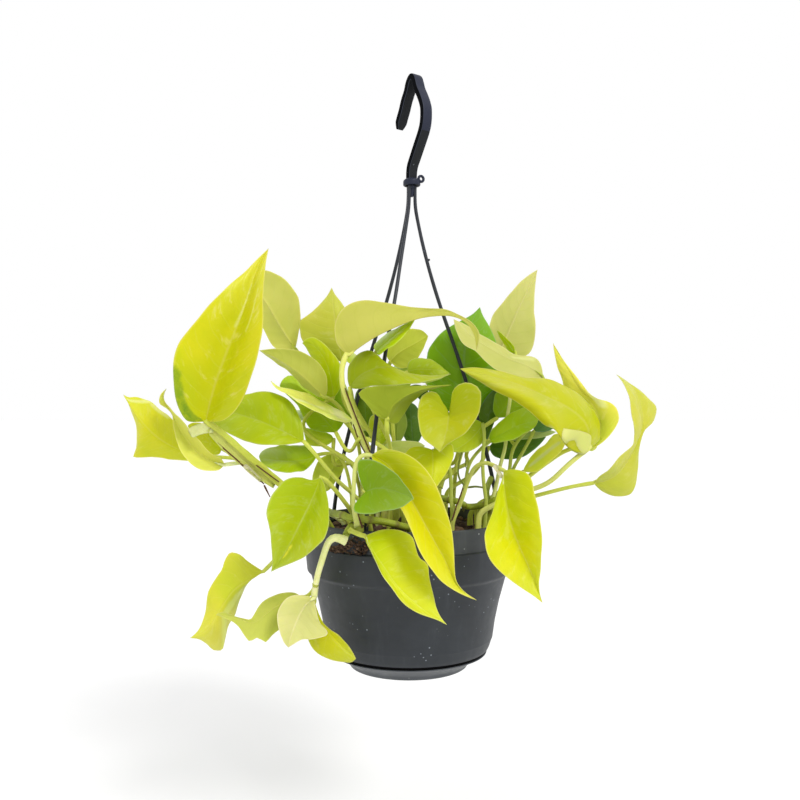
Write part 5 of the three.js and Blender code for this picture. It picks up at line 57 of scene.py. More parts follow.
('leaf_16', 'L16', 'pale', [191.1, 187.8, 88.8], [-423,-588,2251,-423,-588,2251,-423,-588,2251,-423,-588,2251,-423,-588,2251,-488,-629,2325,-443,-611,2307,-389,-596,2274,-403,-504,2318,-404,-417,2340,-497,-663,2425,-427,-630,2377,-343,-603,2305,-363,-448,2380,-360,-304,2418,-463,-685,2522,-382,-640,2449,-283,-607,2345,-301,-432,2430,-293,-271,2474,-383,-686,2583,-309,-640,2499,-216,-606,2384,-229,-428,2471,-217,-266,2517,-283,-665,2603,-222,-625,2526,-144,-594,2420,-151,-424,2505,-136,-268,2549,-182,-629,2595,-132,-599,2535,-70,-574,2453,-71,-419,2533,-51,-272,2573,-80,-591,2582,-41,-569,2542,6,-551,2484,13,-434,2543,34,-324,2572,24,-545,2570,53,-531,2545,85,-519,2508,99,-434,2549,120,-352,2566,130,-506,2568,150,-496,2549,171,-487,2522,187,-417,2555,206,-347,2567,236,-474,2566,248,-467,2550,259,-461,2527,274,-417,2543,288,-376,2547,338,-445,2531,343,-441,2522,347,-438,2508,358,-412,2512,365,-388,2508,433,-426,2478,427,-421,2468,418,-418,2455,426,-399,2455,431,-383,2452,488,-411,2392,475,-404,2385,459,-401,2377,460,-391,2376,459,-383,2373,470,-388,2288,470,-388,2288,470,-388,2288,470,-388,2288,470,-388,2288], [-165,-80,920,-165,-80,943,-165,-80,965,-165,-80,987,-165,-80,1008,-165,-80,1030,-165,-80,1051,-165,-80,1071,-165,-80,1091,-165,-80,1111,-165,-80,1131,-165,-80,1150,-165,-80,1169,-165,-80,1187,-165,-81,1205,-166,-83,1223,-169,-88,1240,-172,-96,1256,-177,-106,1272,-182,-119,1288,-189,-133,1303,-195,-148,1319,-202,-163,1334,-209,-177,1350,-215,-191,1365,-220,-203,1382,-226,-214,1398,-231,-225,1414,-236,-235,1431,-241,-246,1448,-246,-256,1465,-251,-266,1482,-256,-276,1499,-261,-286,1516,-266,-296,1533,-272,-305,1550,-278,-314,1567,-284,-324,1584,-290,-333,1601,-297,-341,1618,-303,-350,1635,-310,-359,1652,-317,-367,1669,-324,-376,1687,-331,-384,1704,-338,-393,1721,-345,-402,1738,-351,-410,1755,-358,-419,1772,-365,-428,1789,-372,-437,1806,-378,-446,1823,-385,-455,1840,-392,-465,1857,-398,-474,1874,-404,-483,1891,-410,-493,1907,-416,-503,1924,-422,-514,1940,-427,-526,1957,-433,-540,1972,-438,-554,1988,-443,-567,2004,-448,-578,2020,-451,-586,2037,-453,-591,2055,-454,-594,2074,-455,-596,2094,-456,-597,2115,-456,-597,2135,-454,-597,2156,-450,-597,2176,-445,-597,2195,-438,-595,2214,-431,-592,2233,-423,-588,2251], [2.6,1.7]),
('leaf_16b', 'L16b', 'pale', [191.8, 190.7, 109.5], [979,-94,2100,979,-94,2100,979,-94,2100,979,-94,2100,979,-94,2100,910,-143,2100,924,-120,2114,942,-101,2131,958,-74,2144,979,-52,2161,844,-186,2102,869,-142,2127,900,-108,2160,929,-57,2186,965,-17,2220,781,-217,2106,814,-159,2141,852,-113,2187,884,-57,2216,921,-13,2256,723,-224,2123,758,-163,2159,798,-114,2208,827,-66,2232,860,-27,2265,666,-227,2142,701,-164,2179,742,-114,2229,769,-73,2247,798,-40,2273,609,-234,2161,647,-167,2201,691,-114,2253,715,-75,2270,744,-44,2294,565,-222,2200,599,-162,2235,640,-114,2281,665,-72,2300,694,-39,2328,524,-203,2243,555,-150,2272,590,-109,2311,615,-69,2330,643,-36,2357,482,-177,2285,510,-132,2309,541,-96,2343,565,-57,2361,592,-25,2387,429,-167,2315,459,-119,2341,493,-80,2377,516,-43,2394,541,-14,2418,387,-152,2352,415,-105,2378,448,-68,2413,468,-34,2429,491,-8,2451,360,-117,2409,381,-83,2427,406,-56,2452,422,-28,2465,441,-6,2484,342,-77,2469,353,-59,2479,367,-45,2492,377,-28,2500,388,-15,2511,332,-34,2533,332,-34,2533,332,-34,2533,332,-34,2533,332,-34,2533], [622,-49,920,622,-49,937,623,-49,954,623,-49,970,624,-50,987,625,-50,1004,626,-50,1020,627,-50,1036,629,-50,1052,631,-50,1069,632,-50,1085,634,-50,1101,636,-50,1116,639,-50,1132,642,-50,1148,645,-49,1164,650,-48,1179,655,-46,1194,661,-45,1209,668,-43,1225,674,-41,1240,680,-39,1255,687,-38,1270,693,-37,1285,700,-36,1300,706,-35,1315,712,-34,1330,718,-34,1345,724,-33,1360,730,-33,1376,735,-33,1391,739,-33,1407,743,-32,1423,745,-32,1439,747,-31,1455,748,-31,1472,749,-30,1488,751,-30,1504,752,-30,1520,755,-32,1536,758,-34,1552,762,-37,1568,768,-39,1583,775,-38,1597,783,-37,1611,792,-35,1624,802,-34,1637,811,-35,1651,820,-37,1665,829,-40,1678,839,-43,1690,851,-47,1700,863,-52,1709,876,-56,1718,889,-60,1728,900,-63,1738,910,-66,1750,920,-69,1764,928,-72,1778,936,-74,1792,944,-76,1807,950,-78,1821,956,-79,1836,962,-81,1852,967,-82,1867,971,-83,1883,976,-84,1899,980,-85,1915,984,-86,1931,987,-86,1947,991,-86,1963,995,-86,1979,998,-86,1996,1001,-86,2012,1004,-86,2028,1004,-86,2043,1003,-87,2058,997,-89,2073,989,-91,2087,979,-94,2100], [1.5,1.2]),
('leaf_17', 'L17', 'green', [201.3, 230.3, 12.9], [-230,-387,2274,-230,-387,2274,-230,-387,2274,-230,-387,2274,-230,-387,2274,-210,-441,2249,-218,-417,2267,-222,-389,2282,-236,-352,2296,-245,-311,2306,-189,-453,2258,-201,-424,2278,-208,-392,2294,-231,-333,2318,-244,-267,2333,-166,-455,2279,-180,-427,2297,-190,-397,2310,-212,-332,2338,-225,-261,2357,-143,-466,2294,-158,-435,2314,-169,-401,2328,-192,-335,2358,-204,-261,2377,-119,-479,2307,-136,-444,2330,-148,-406,2346,-170,-341,2375,-182,-268,2395,-96,-489,2322,-114,-452,2346,-127,-411,2364,-147,-351,2391,-158,-284,2409,-74,-497,2339,-93,-459,2363,-106,-417,2381,-123,-364,2405,-132,-306,2421,-54,-500,2357,-72,-464,2380,-84,-423,2398,-99,-376,2419,-108,-324,2433,-36,-496,2378,-51,-463,2399,-62,-427,2415,-76,-384,2434,-83,-337,2447,-19,-484,2401,-32,-457,2419,-41,-427,2432,-52,-390,2449,-59,-349,2460,-3,-469,2425,-13,-448,2439,-20,-425,2449,-29,-396,2462,-34,-363,2471,13,-452,2449,6,-437,2459,1,-421,2466,-5,-401,2475,-9,-378,2482,28,-431,2474,25,-424,2479,22,-415,2483,19,-404,2488,17,-392,2491,43,-407,2500,43,-407,2500,43,-407,2500,43,-407,2500,43,-407,2500], [-151,-190,920,-148,-187,942,-146,-185,963,-143,-182,985,-141,-180,1006,-139,-178,1027,-137,-176,1049,-135,-174,1070,-133,-173,1091,-132,-171,1112,-130,-170,1133,-129,-169,1153,-128,-168,1174,-127,-167,1195,-126,-166,1215,-125,-165,1236,-125,-165,1256,-124,-164,1276,-124,-164,1297,-123,-163,1317,-123,-163,1337,-123,-162,1357,-122,-162,1377,-122,-162,1396,-122,-162,1416,-122,-162,1436,-122,-162,1455,-122,-162,1475,-122,-162,1494,-122,-162,1513,-122,-162,1532,-123,-163,1551,-125,-166,1570,-128,-169,1588,-133,-174,1607,-138,-180,1625,-144,-186,1643,-150,-194,1661,-158,-202,1679,-166,-211,1696,-174,-221,1714,-183,-231,1732,-192,-241,1749,-201,-252,1767,-210,-263,1784,-219,-273,1802,-229,-284,1819,-237,-295,1836,-246,-305,1854,-254,-315,1872,-262,-324,1889,-268,-333,1907,-275,-341,1925,-280,-349,1943,-285,-355,1961,-288,-361,1980,-290,-366,1998,-292,-369,2017,-292,-372,2036,-291,-374,2055,-289,-376,2074,-286,-378,2094,-282,-379,2114,-278,-381,2133,-273,-383,2153,-267,-384,2173,-260,-385,2193,-253,-386,2213,-246,-387,2233,-238,-387,2254,-230,-387,2274], [1.7,1.4]),
('leaf_18', 'L18', 'pale', [195.5, 199.9, 71.9], [-136,276,2232,-136,276,2232,-136,276,2232,-136,276,2232,-136,276,2232,-161,290,2265,-145,283,2252,-131,272,2238,-120,268,2223,-110,260,2207,-171,297,2298,-145,284,2273,-123,265,2248,-101,257,2219,-83,244,2189,-164,293,2331,-134,277,2297,-109,253,2262,-79,243,2223,-55,224,2182,-143,284,2363,-113,266,2322,-89,239,2282,-53,226,2233,-23,204,2184,-122,273,2392,-91,253,2346,-65,223,2301,-25,210,2246,7,184,2191,-98,263,2419,-65,242,2368,-38,210,2319,0,196,2261,31,170,2204,-71,255,2443,-37,232,2387,-9,197,2334,24,184,2280,51,160,2228,-42,246,2463,-8,222,2404,19,186,2349,46,175,2302,69,154,2257,-9,237,2481,22,213,2421,47,177,2364,68,168,2322,86,150,2283,25,224,2486,51,203,2431,73,170,2379,89,162,2343,103,147,2309,61,209,2481,81,192,2436,97,165,2393,108,158,2364,118,147,2336,95,194,2474,107,181,2438,117,161,2405,124,156,2384,130,148,2364,124,177,2454,129,169,2434,134,158,2415,138,156,2404,141,151,2393,149,156,2424,149,156,2424,149,156,2424,149,156,2424,149,156,2424], [-111,227,920,-107,227,941,-102,227,962,-98,228,983,-95,228,1004,-91,228,1024,-88,228,1045,-86,229,1066,-83,229,1086,-81,230,1107,-78,230,1128,-77,231,1148,-75,231,1168,-73,232,1189,-72,233,1209,-71,233,1230,-70,234,1250,-69,235,1270,-68,236,1290,-68,237,1310,-67,238,1331,-67,239,1351,-66,240,1371,-66,241,1391,-66,242,1411,-66,243,1430,-66,244,1450,-66,245,1470,-66,246,1490,-66,247,1509,-67,249,1529,-69,251,1549,-72,253,1568,-77,256,1588,-83,259,1607,-89,262,1626,-96,266,1646,-104,270,1665,-113,274,1684,-122,279,1703,-131,283,1722,-141,287,1741,-151,292,1760,-160,296,1779,-169,300,1798,-178,304,1817,-187,308,1836,-195,311,1855,-202,314,1874,-209,317,1893,-214,320,1911,-219,322,1930,-222,323,1949,-224,324,1968,-225,324,1987,-224,324,2006,-222,322,2025,-219,321,2044,-214,318,2063,-209,315,2082,-202,312,2101,-195,308,2120,-187,303,2138,-178,298,2157,-168,293,2176,-158,288,2195,-147,282,2214,-136,276,2232], [1.7,1.4]),
('leaf_19', 'L19', 'limegreen', [156.4, 168.2, 12.9], [-412,-371,2024,-412,-371,2024,-412,-371,2024,-412,-371,2024,-412,-371,2024,-357,-444,2016,-377,-421,2037,-391,-393,2057,-413,-380,2075,-431,-363,2093,-305,-507,2020,-337,-467,2057,-361,-418,2092,-399,-396,2127,-429,-366,2160,-255,-552,2035,-293,-505,2080,-321,-446,2121,-363,-417,2173,-396,-378,2221,-205,-595,2037,-242,-539,2094,-271,-470,2143,-312,-437,2210,-344,-390,2270,-155,-633,2034,-189,-571,2102,-215,-494,2160,-249,-462,2225,-276,-418,2283,-106,-656,2036,-134,-594,2106,-159,-516,2165,-188,-492,2211,-215,-459,2251,-57,-655,2040,-79,-598,2104,-104,-530,2154,-136,-511,2179,-169,-486,2198,-8,-633,2044,-27,-585,2096,-50,-531,2136,-80,-514,2151,-113,-493,2160,41,-610,2052,23,-573,2091,3,-531,2120,-23,-517,2128,-51,-499,2131,90,-592,2061,74,-563,2090,57,-531,2111,36,-519,2114,14,-506,2112,139,-574,2070,126,-554,2089,113,-531,2103,97,-522,2105,81,-512,2104,188,-559,2081,179,-546,2092,169,-531,2100,159,-525,2103,149,-518,2105,236,-545,2096,231,-538,2101,226,-531,2105,221,-528,2108,216,-524,2109,282,-531,2117,282,-531,2117,282,-531,2117,282,-531,2117,282,-531,2117], [-93,100,920,-93,100,941,-93,100,963,-93,100,984,-93,100,1005,-93,100,1026,-93,100,1047,-93,100,1068,-93,100,1088,-93,100,1108,-93,100,1128,-93,100,1148,-93,100,1168,-93,100,1187,-94,99,1207,-95,96,1226,-96,93,1245,-99,88,1264,-102,82,1283,-105,74,1301,-109,66,1320,-113,57,1339,-118,47,1357,-123,36,1375,-129,26,1393,-135,14,1411,-140,3,1429,-147,-9,1446,-153,-21,1464,-159,-32,1481,-165,-43,1498,-171,-54,1515,-178,-64,1531,-184,-74,1547,-191,-84,1563,-198,-95,1579,-206,-105,1595,-215,-115,1610,-224,-126,1625,-233,-137,1640,-242,-148,1655,-252,-159,1669,-262,-170,1684,-272,-181,1699,-281,-193,1713,-291,-204,1728,-301,-215,1743,-310,-226,1757,-319,-238,1772,-327,-249,1787,-335,-261,1802,-343,-273,1817,-351,-286,1832,-360,-300,1847,-367,-313,1862,-375,-326,1877,-382,-338,1893,-388,-348,1909,-394,-355,1926,-399,-361,1943,-403,-365,1962,-406,-368,1982,-409,-370,2003,-412,-371,2024], [1.9,1.5]),
('leaf_20', 'L20', 'limegreen', [162.1, 178.1, 12.9], [-11,37,2148,-11,37,2148,-11,37,2148,-11,37,2148,-11,37,2148,3,28,2124,1,29,2138,-1,33,2152,-6,46,2167,-9,62,2181,20,18,2103,15,21,2131,12,28,2156,3,51,2184,-3,80,2209,39,7,2089,33,11,2126,29,21,2161,20,52,2199,15,90,2233,61,-5,2078,55,0,2124,52,13,2166,45,47,2210,42,90,2248,87,-17,2069,80,-11,2121,78,3,2169,72,38,2214,71,83,2254,112,-29,2065,107,-23,2119,105,-9,2168,101,27,2214,101,71,2254,137,-42,2066,133,-36,2119,133,-22,2167,130,12,2210,131,55,2249,162,-53,2071,159,-48,2120,160,-35,2164,158,-2,2206,159,39,2243,187,-58,2078,186,-54,2122,186,-42,2162,185,-14,2198,185,22,2230,211,-57,2085,211,-53,2124,211,-43,2159,211,-20,2188,211,9,2213,234,-53,2094,235,-50,2126,235,-41,2155,235,-24,2177,235,-2,2196,257,-46,2106,258,-44,2129,258,-37,2150,258,-26,2164,257,-11,2177,279,-36,2121,280,-35,2133,280,-32,2144,280,-26,2151,279,-18,2157,301,-23,2137,301,-23,2137,301,-23,2137,301,-23,2137,301,-23,2137], [63,47,920,57,44,935,52,41,951,47,39,966,42,36,981,37,34,997,32,31,1012,28,29,1028,24,27,1044,20,25,1059,17,23,1075,14,22,1091,12,21,1106,10,20,1122,8,19,1138,7,18,1155,6,17,1171,5,16,1188,5,16,1204,4,15,1221,3,14,1238,2,14,1254,2,13,1270,1,13,1286,-1,13,1302,-2,13,1317,-4,14,1332,-7,16,1346,-12,21,1360,-18,26,1373,-24,34,1386,-32,43,1399,-40,52,1412,-49,62,1425,-58,72,1437,-66,82,1450,-74,91,1462,-81,99,1475,-88,105,1489,-93,110,1502,-97,113,1516,-100,114,1530,-102,113,1545,-104,110,1559,-105,106,1575,-107,102,1590,-108,96,1605,-109,91,1621,-110,85,1637,-111,79,1653,-112,73,1669,-113,68,1685,-114,64,1701,-115,60,1717,-116,58,1733,-117,56,1749,-119,56,1765,-120,56,1782,-122,56,1798,-124,56,1815,-125,56,1831,-127,57,1848,-129,57,1864,-130,57,1881,-132,57,1897,-133,58,1913,-134,58,1929,-134,58,1944,-134,58,1959,-133,58,1974,-131,57,1989,-127,57,2003,-121,56,2017,-115,55,2031,-107,53,2045,-97,52,2058,-87,50,2072,-76,48,2085,-64,46,2098,-52,44,2111,-39,42,2123,-25,39,2136,-11,37,2148], [1.7,1.4]),
('leaf_21', 'L21', 'grey', [143.4, 155.3, 36.8], [-150,-645,1813,-150,-645,1813,-150,-645,1813,-150,-645,1813,-150,-645,1813,-211,-658,1831,-181,-650,1829,-148,-647,1824,-136,-604,1804,-119,-567,1782,-257,-670,1877,-203,-656,1860,-144,-650,1838,-119,-582,1813,-87,-525,1782,-297,-684,1927,-221,-662,1896,-137,-654,1858,-100,-572,1838,-55,-505,1811,-340,-698,1979,-237,-668,1935,-125,-658,1883,-82,-570,1866,-32,-498,1842,-300,-700,2018,-208,-671,1968,-108,-662,1908,-64,-576,1897,-13,-505,1878,-236,-695,2030,-162,-672,1986,-81,-664,1933,-39,-584,1926,9,-518,1911,-172,-690,2034,-113,-672,2000,-48,-665,1957,-10,-594,1954,34,-535,1942,-108,-682,2036,-61,-668,2010,-11,-663,1978,24,-600,1976,63,-547,1966,-43,-672,2037,-7,-662,2020,33,-658,1997,63,-603,1996,97,-556,1986,21,-661,2035,49,-653,2026,79,-650,2013,105,-605,2011,134,-565,2002,86,-648,2035,106,-643,2030,128,-641,2023,148,-606,2022,170,-576,2015,152,-631,2036,164,-628,2035,178,-627,2032,192,-603,2031,207,-583,2026,218,-610,2038,224,-608,2039,230,-608,2038,237,-596,2038,245,-585,2035,284,-585,2041,284,-585,2041,284,-585,2041,284,-585,2041,284,-585,2041], [-34,-60,920,-34,-60,942,-34,-60,964,-34,-60,986,-34,-60,1008,-34,-60,1029,-34,-60,1050,-34,-60,1070,-34,-60,1091,-34,-60,1110,-34,-60,1130,-34,-60,1148,-34,-60,1167,-34,-62,1185,-35,-65,1202,-37,-71,1219,-39,-79,1236,-42,-89,1253,-45,-100,1269,-48,-113,1285,-52,-127,1301,-56,-143,1316,-60,-159,1331,-65,-175,1347,-69,-192,1362,-73,-209,1377,-78,-226,1391,-82,-242,1406,-85,-258,1421,-89,-273,1436,-93,-287,1450,-96,-301,1465,-99,-315,1479,-103,-330,1494,-106,-344,1508,-109,-359,1522,-113,-373,1536,-116,-388,1550,-119,-403,1564,-123,-418,1578,-126,-433,1591,-129,-449,1605,-132,-464,1618,-134,-480,1631,-137,-495,1644,-139,-511,1657,-142,-528,1669,-144,-547,1681,-146,-567,1692,-148,-589,1703,-150,-608,1714,-151,-625,1726,-152,-637,1739,-153,-643,1754,-152,-645,1771,-151,-645,1791,-150,-645,1813], [1.7,1.4]),
('leaf_22', 'L22', 'lime', [172.5, 176.8, 12.9], [273,-471,1850,273,-471,1850,273,-471,1850,273,-471,1850,273,-471,1850,250,-499,1896,262,-484,1869,272,-474,1845,280,-487,1878,284,-505,1915,216,-526,1937,247,-497,1885,272,-478,1840,283,-502,1906,288,-538,1980,195,-554,1982,236,-510,1904,271,-481,1835,299,-517,1929,320,-570,2035,146,-576,1999,210,-521,1908,271,-484,1830,328,-528,1936,379,-593,2058,100,-587,1976,187,-527,1894,270,-487,1825,358,-535,1924,441,-607,2040,70,-591,1933,171,-530,1870,270,-491,1820,378,-538,1897,483,-611,1991,57,-592,1884,164,-533,1843,269,-495,1814,377,-537,1863,484,-601,1927,54,-597,1833,161,-540,1811,267,-502,1803,369,-540,1827,471,-596,1864,58,-609,1782,161,-555,1773,263,-520,1777,353,-551,1786,442,-600,1806,68,-629,1734,161,-580,1730,255,-547,1738,329,-573,1741,404,-613,1753,91,-644,1688,167,-604,1688,242,-577,1696,300,-598,1698,358,-629,1706,125,-647,1653,178,-618,1653,231,-600,1658,268,-613,1663,305,-633,1671,167,-640,1623,193,-626,1622,219,-617,1624,234,-623,1630,250,-632,1637,206,-631,1590,206,-631,1590,206,-631,1590,206,-631,1590,206,-631,1590], [295,-333,920,298,-332,936,299,-334,953,301,-335,969,302,-337,985,303,-338,1002,303,-338,1018,304,-339,1034,304,-340,1051,305,-340,1067,305,-340,1083,305,-341,1099,305,-341,1116,305,-341,1132,305,-341,1148,304,-340,1164,302,-339,1180,300,-338,1196,297,-337,1213,295,-336,1229,294,-336,1245,294,-335,1261,295,-336,1277,295,-336,1294,295,-336,1310,296,-336,1326,296,-337,1343,295,-337,1359,295,-339,1375,293,-340,1391,291,-343,1407,289,-345,1423,287,-347,1440,285,-348,1456,282,-350,1471,278,-351,1487,275,-353,1503,271,-354,1519,268,-356,1535,266,-357,1551,264,-358,1567,262,-360,1584,261,-361,1600,259,-362,1617,258,-364,1633,258,-366,1649,257,-368,1664,257,-371,1680,258,-375,1695,258,-380,1710,259,-385,1724,259,-392,1739,262,-394,1753,263,-403,1768,264,-412,1782,266,-423,1796,267,-434,1810,269,-445,1823,271,-457,1837,273,-471,1850], [1.5,1.3]),
('leaf_23', 'L23', 'dark', [118.8, 162.5, 12.9], [467,165,1811,467,165,1811,467,165,1811,467,165,1811,467,165,1811,535,174,1830,497,162,1832,458,158,1837,419,162,1831,380,175,1827,583,177,1873,514,155,1872,445,147,1875,373,156,1864,301,179,1856,621,175,1934,525,145,1929,429,134,1928,328,146,1915,227,178,1908,653,171,1995,535,134,1991,416,120,1991,296,134,1980,177,172,1974,675,165,2059,543,124,2058,410,109,2060,278,124,2057,145,166,2056,689,160,2127,550,116,2129,411,100,2135,272,116,2138,134,160,2143,693,153,2195,553,109,2201,414,93,2211,275,109,2220,137,153,2231,685,145,2262,552,103,2273,418,88,2284,283,103,2298,148,147,2313,674,139,2330,549,99,2342,424,85,2354,310,98,2370,197,135,2386,656,133,2396,546,98,2408,436,86,2420,345,96,2435,255,125,2449,629,126,2457,543,98,2468,455,88,2478,390,96,2488,324,117,2498,594,117,2516,537,99,2525,479,92,2532,440,97,2536,400,110,2539,560,109,2574,533,101,2580,507,98,2585,490,100,2583,473,105,2581,537,105,2638,537,105,2638,537,105,2638,537,105,2638,537,105,2638], [2,297,920,-4,306,934,-10,315,948,-16,323,963,-22,331,977,-28,339,992,-33,346,1006,-37,352,1021,-41,358,1036,-45,363,1051,-48,368,1066,-51,371,1082,-53,374,1097,-55,376,1112,-56,378,1128,-56,378,1144,-56,378,1160,-56,378,1176,-56,377,1193,-55,376,1209,-55,375,1226,-54,374,1243,-53,372,1259,-52,371,1276,-51,370,1291,-50,369,1307,-47,368,1323,-43,366,1339,-37,365,1356,-29,364,1373,-20,363,1390,-9,361,1407,2,360,1422,14,359,1436,27,357,1447,39,355,1456,51,353,1462,63,350,1466,75,347,1467,87,342,1467,101,336,1467,115,328,1466,130,320,1465,145,310,1464,160,300,1463,176,288,1462,192,277,1461,208,265,1459,224,253,1458,240,241,1457,255,230,1456,269,219,1454,283,208,1453,296,198,1452,308,190,1452,319,182,1451,328,176,1451,337,171,1451,344,167,1454,350,163,1460,356,160,1471,361,157,1484,366,155,1501,370,152,1520,374,150,1540,379,149,1559,384,148,1578,388,147,1596,393,147,1612,399,147,1628,404,147,1643,410,148,1659,415,148,1674,421,149,1689,426,150,1705,432,151,1720,438,153,1735,443,155,1750,449,157,1766,455,159,1781,461,162,1796,467,165,1811], [1.7,1.4]),
('leaf_24', 'L24', 'pale', [196.6, 193.1, 116.1], [709,440,2302,709,440,2302,709,440,2302,709,440,2302,709,440,2302,652,413,2338,683,429,2329,716,437,2318,744,450,2296,773,456,2272,626,394,2386,675,419,2365,726,434,2341,781,458,2305,839,469,2265,616,376,2447,678,410,2414,743,429,2378,824,463,2331,909,478,2279,627,366,2505,694,403,2467,764,424,2427,861,465,2372,963,483,2312,646,361,2562,715,399,2523,789,421,2481,889,462,2428,994,481,2372,673,361,2616,741,399,2578,814,420,2538,906,459,2489,1005,476,2438,709,369,2665,771,403,2630,838,423,2594,920,457,2550,1007,472,2505,749,380,2713,804,410,2681,863,428,2649,932,457,2611,1006,470,2571,786,391,2763,836,418,2733,889,434,2703,941,457,2671,997,467,2638,827,403,2810,869,427,2783,916,441,2756,956,459,2730,999,467,2704,871,420,2856,906,440,2833,944,451,2810,972,464,2791,1003,470,2771,920,442,2899,945,457,2881,972,465,2864,989,473,2852,1008,476,2839,972,469,2940,986,477,2929,1001,482,2919,1008,485,2913,1016,487,2907,1029,500,2975,1029,500,2975,1029,500,2975,1029,500,2975,1029,500,2975], [563,-79,920,564,-79,937,564,-79,953,565,-79,970,566,-79,986,567,-79,1003,568,-80,1019,570,-80,1035,571,-80,1051,573,-80,1067,575,-80,1083,577,-81,1099,579,-81,1115,582,-82,1131,586,-84,1146,590,-86,1162,595,-88,1178,601,-91,1193,606,-93,1208,611,-94,1223,617,-92,1238,622,-88,1253,627,-82,1267,632,-74,1282,637,-67,1296,641,-61,1310,644,-59,1325,647,-60,1339,649,-64,1353,651,-72,1368,652,-80,1382,654,-89,1397,656,-98,1412,658,-105,1426,660,-110,1442,663,-113,1457,667,-114,1473,671,-116,1489,676,-116,1505,680,-116,1520,685,-115,1534,689,-110,1547,694,-102,1559,698,-92,1571,702,-80,1583,706,-67,1595,710,-55,1607,712,-44,1619,715,-33,1632,717,-23,1646,718,-13,1660,720,-4,1674,721,3,1688,722,8,1703,723,9,1717,724,8,1733,724,4,1748,725,-1,1764,725,-6,1779,725,-13,1795,726,-19,1811,727,-25,1826,729,-32,1841,731,-39,1856,734,-46,1870,736,-53,1885,738,-58,1900,740,-63,1915,741,-66,1931,741,-69,1948,742,-71,1964,742,-72,1981,742,-73,1996,742,-73,2011,740,-70,2025,738,-64,2039,735,-55,2052,732,-44,2065,728,-32,2077,724,-18,2089,721,-4,2099,719,9,2109,717,22,2118,716,35,2126,715,49,2134,714,63,2141,714,77,2147,713,92,2154,712,107,2160,712,123,2166,711,139,2171,711,154,2177,710,170,2182,710,186,2188,710,202,2194,709,218,2200,709,233,2206,709,248,2212,709,263,2218,709,278,2225,709,293,2232,709,308,2239,709,323,2246,709,337,2252,709,352,2259,709,367,2266,709,381,2274,709,396,2281,709,411,2288,709,425,2295,709,440,2302], [1.5,1.2]),
('leaf_25', 'L25', 'green', [200.3, 217.0, 12.9], [830,340,2301,830,340,2301,830,340,2301,830,340,2301,830,340,2301,826,313,2318,823,323,2314,821,334,2312,817,346,2308,814,359,2306,821,288,2333,815,307,2327,812,328,2324,804,350,2316,799,373,2312,816,267,2348,807,294,2339,802,322,2335,793,350,2326,786,379,2320,807,256,2361,798,285,2352,792,316,2348,782,345,2337,776,376,2331,795,254,2374,786,281,2366,781,311,2361,772,338,2352,766,367,2346,782,254,2387,774,279,2379,770,305,2375,761,329,2367,756,354,2362,770,253,2399,763,276,2392,759,301,2389,751,322,2382,746,344,2378,759,253,2412,752,274,2406,748,297,2402,740,317,2396,736,338,2392,747,253,2424,740,272,2418,737,293,2416,729,313,2409,725,334,2405,735,255,2436,729,272,2431,726,289,2429,719,308,2423,714,329,2419,723,259,2447,718,272,2443,715,286,2441,709,303,2436,705,321,2433,710,264,2458,707,274,2455,705,284,2454,700,296,2450,697,309,2448,697,271,2469,695,276,2467,694,282,2467,692,288,2465,690,296,2463,684,280,2479,684,280,2479,684,280,2479,684,280,2479,684,280,2479], [340,282,920,340,281,943,340,281,966,340,280,988,341,280,1011,341,279,1033,342,279,1055,343,279,1077,343,278,1099,344,278,1121,345,278,1143,347,277,1164,348,277,1185,349,277,1206,351,277,1227,352,276,1247,354,276,1268,355,276,1288,357,276,1308,359,276,1328,361,276,1347,363,276,1367,365,276,1386,367,276,1405,369,276,1423,372,276,1442,374,276,1460,376,276,1478,379,276,1495,381,276,1513,384,276,1530,388,276,1547,392,276,1563,398,277,1579,406,278,1595,416,280,1610,427,282,1626,440,284,1640,454,287,1655,469,290,1669,485,293,1683,503,296,1697,521,300,1710,540,303,1724,559,307,1737,579,311,1750,599,315,1764,619,319,1777,640,324,1790,660,328,1803,681,332,1816,701,336,1829,720,340,1842,739,344,1855,758,348,1869,776,352,1882,793,355,1896,809,359,1910,823,362,1924,837,364,1938,849,367,1953,860,369,1967,869,371,1983,876,373,1998,882,374,2014,886,375,2030,887,375,2047,888,375,2064,887,374,2082,885,373,2100,883,371,2119,880,369,2138,877,366,2157,872,363,2177,867,360,2197,861,356,2218,855,352,2239,847,348,2259,839,344,2280,830,340,2301], [1.7,1.4]),
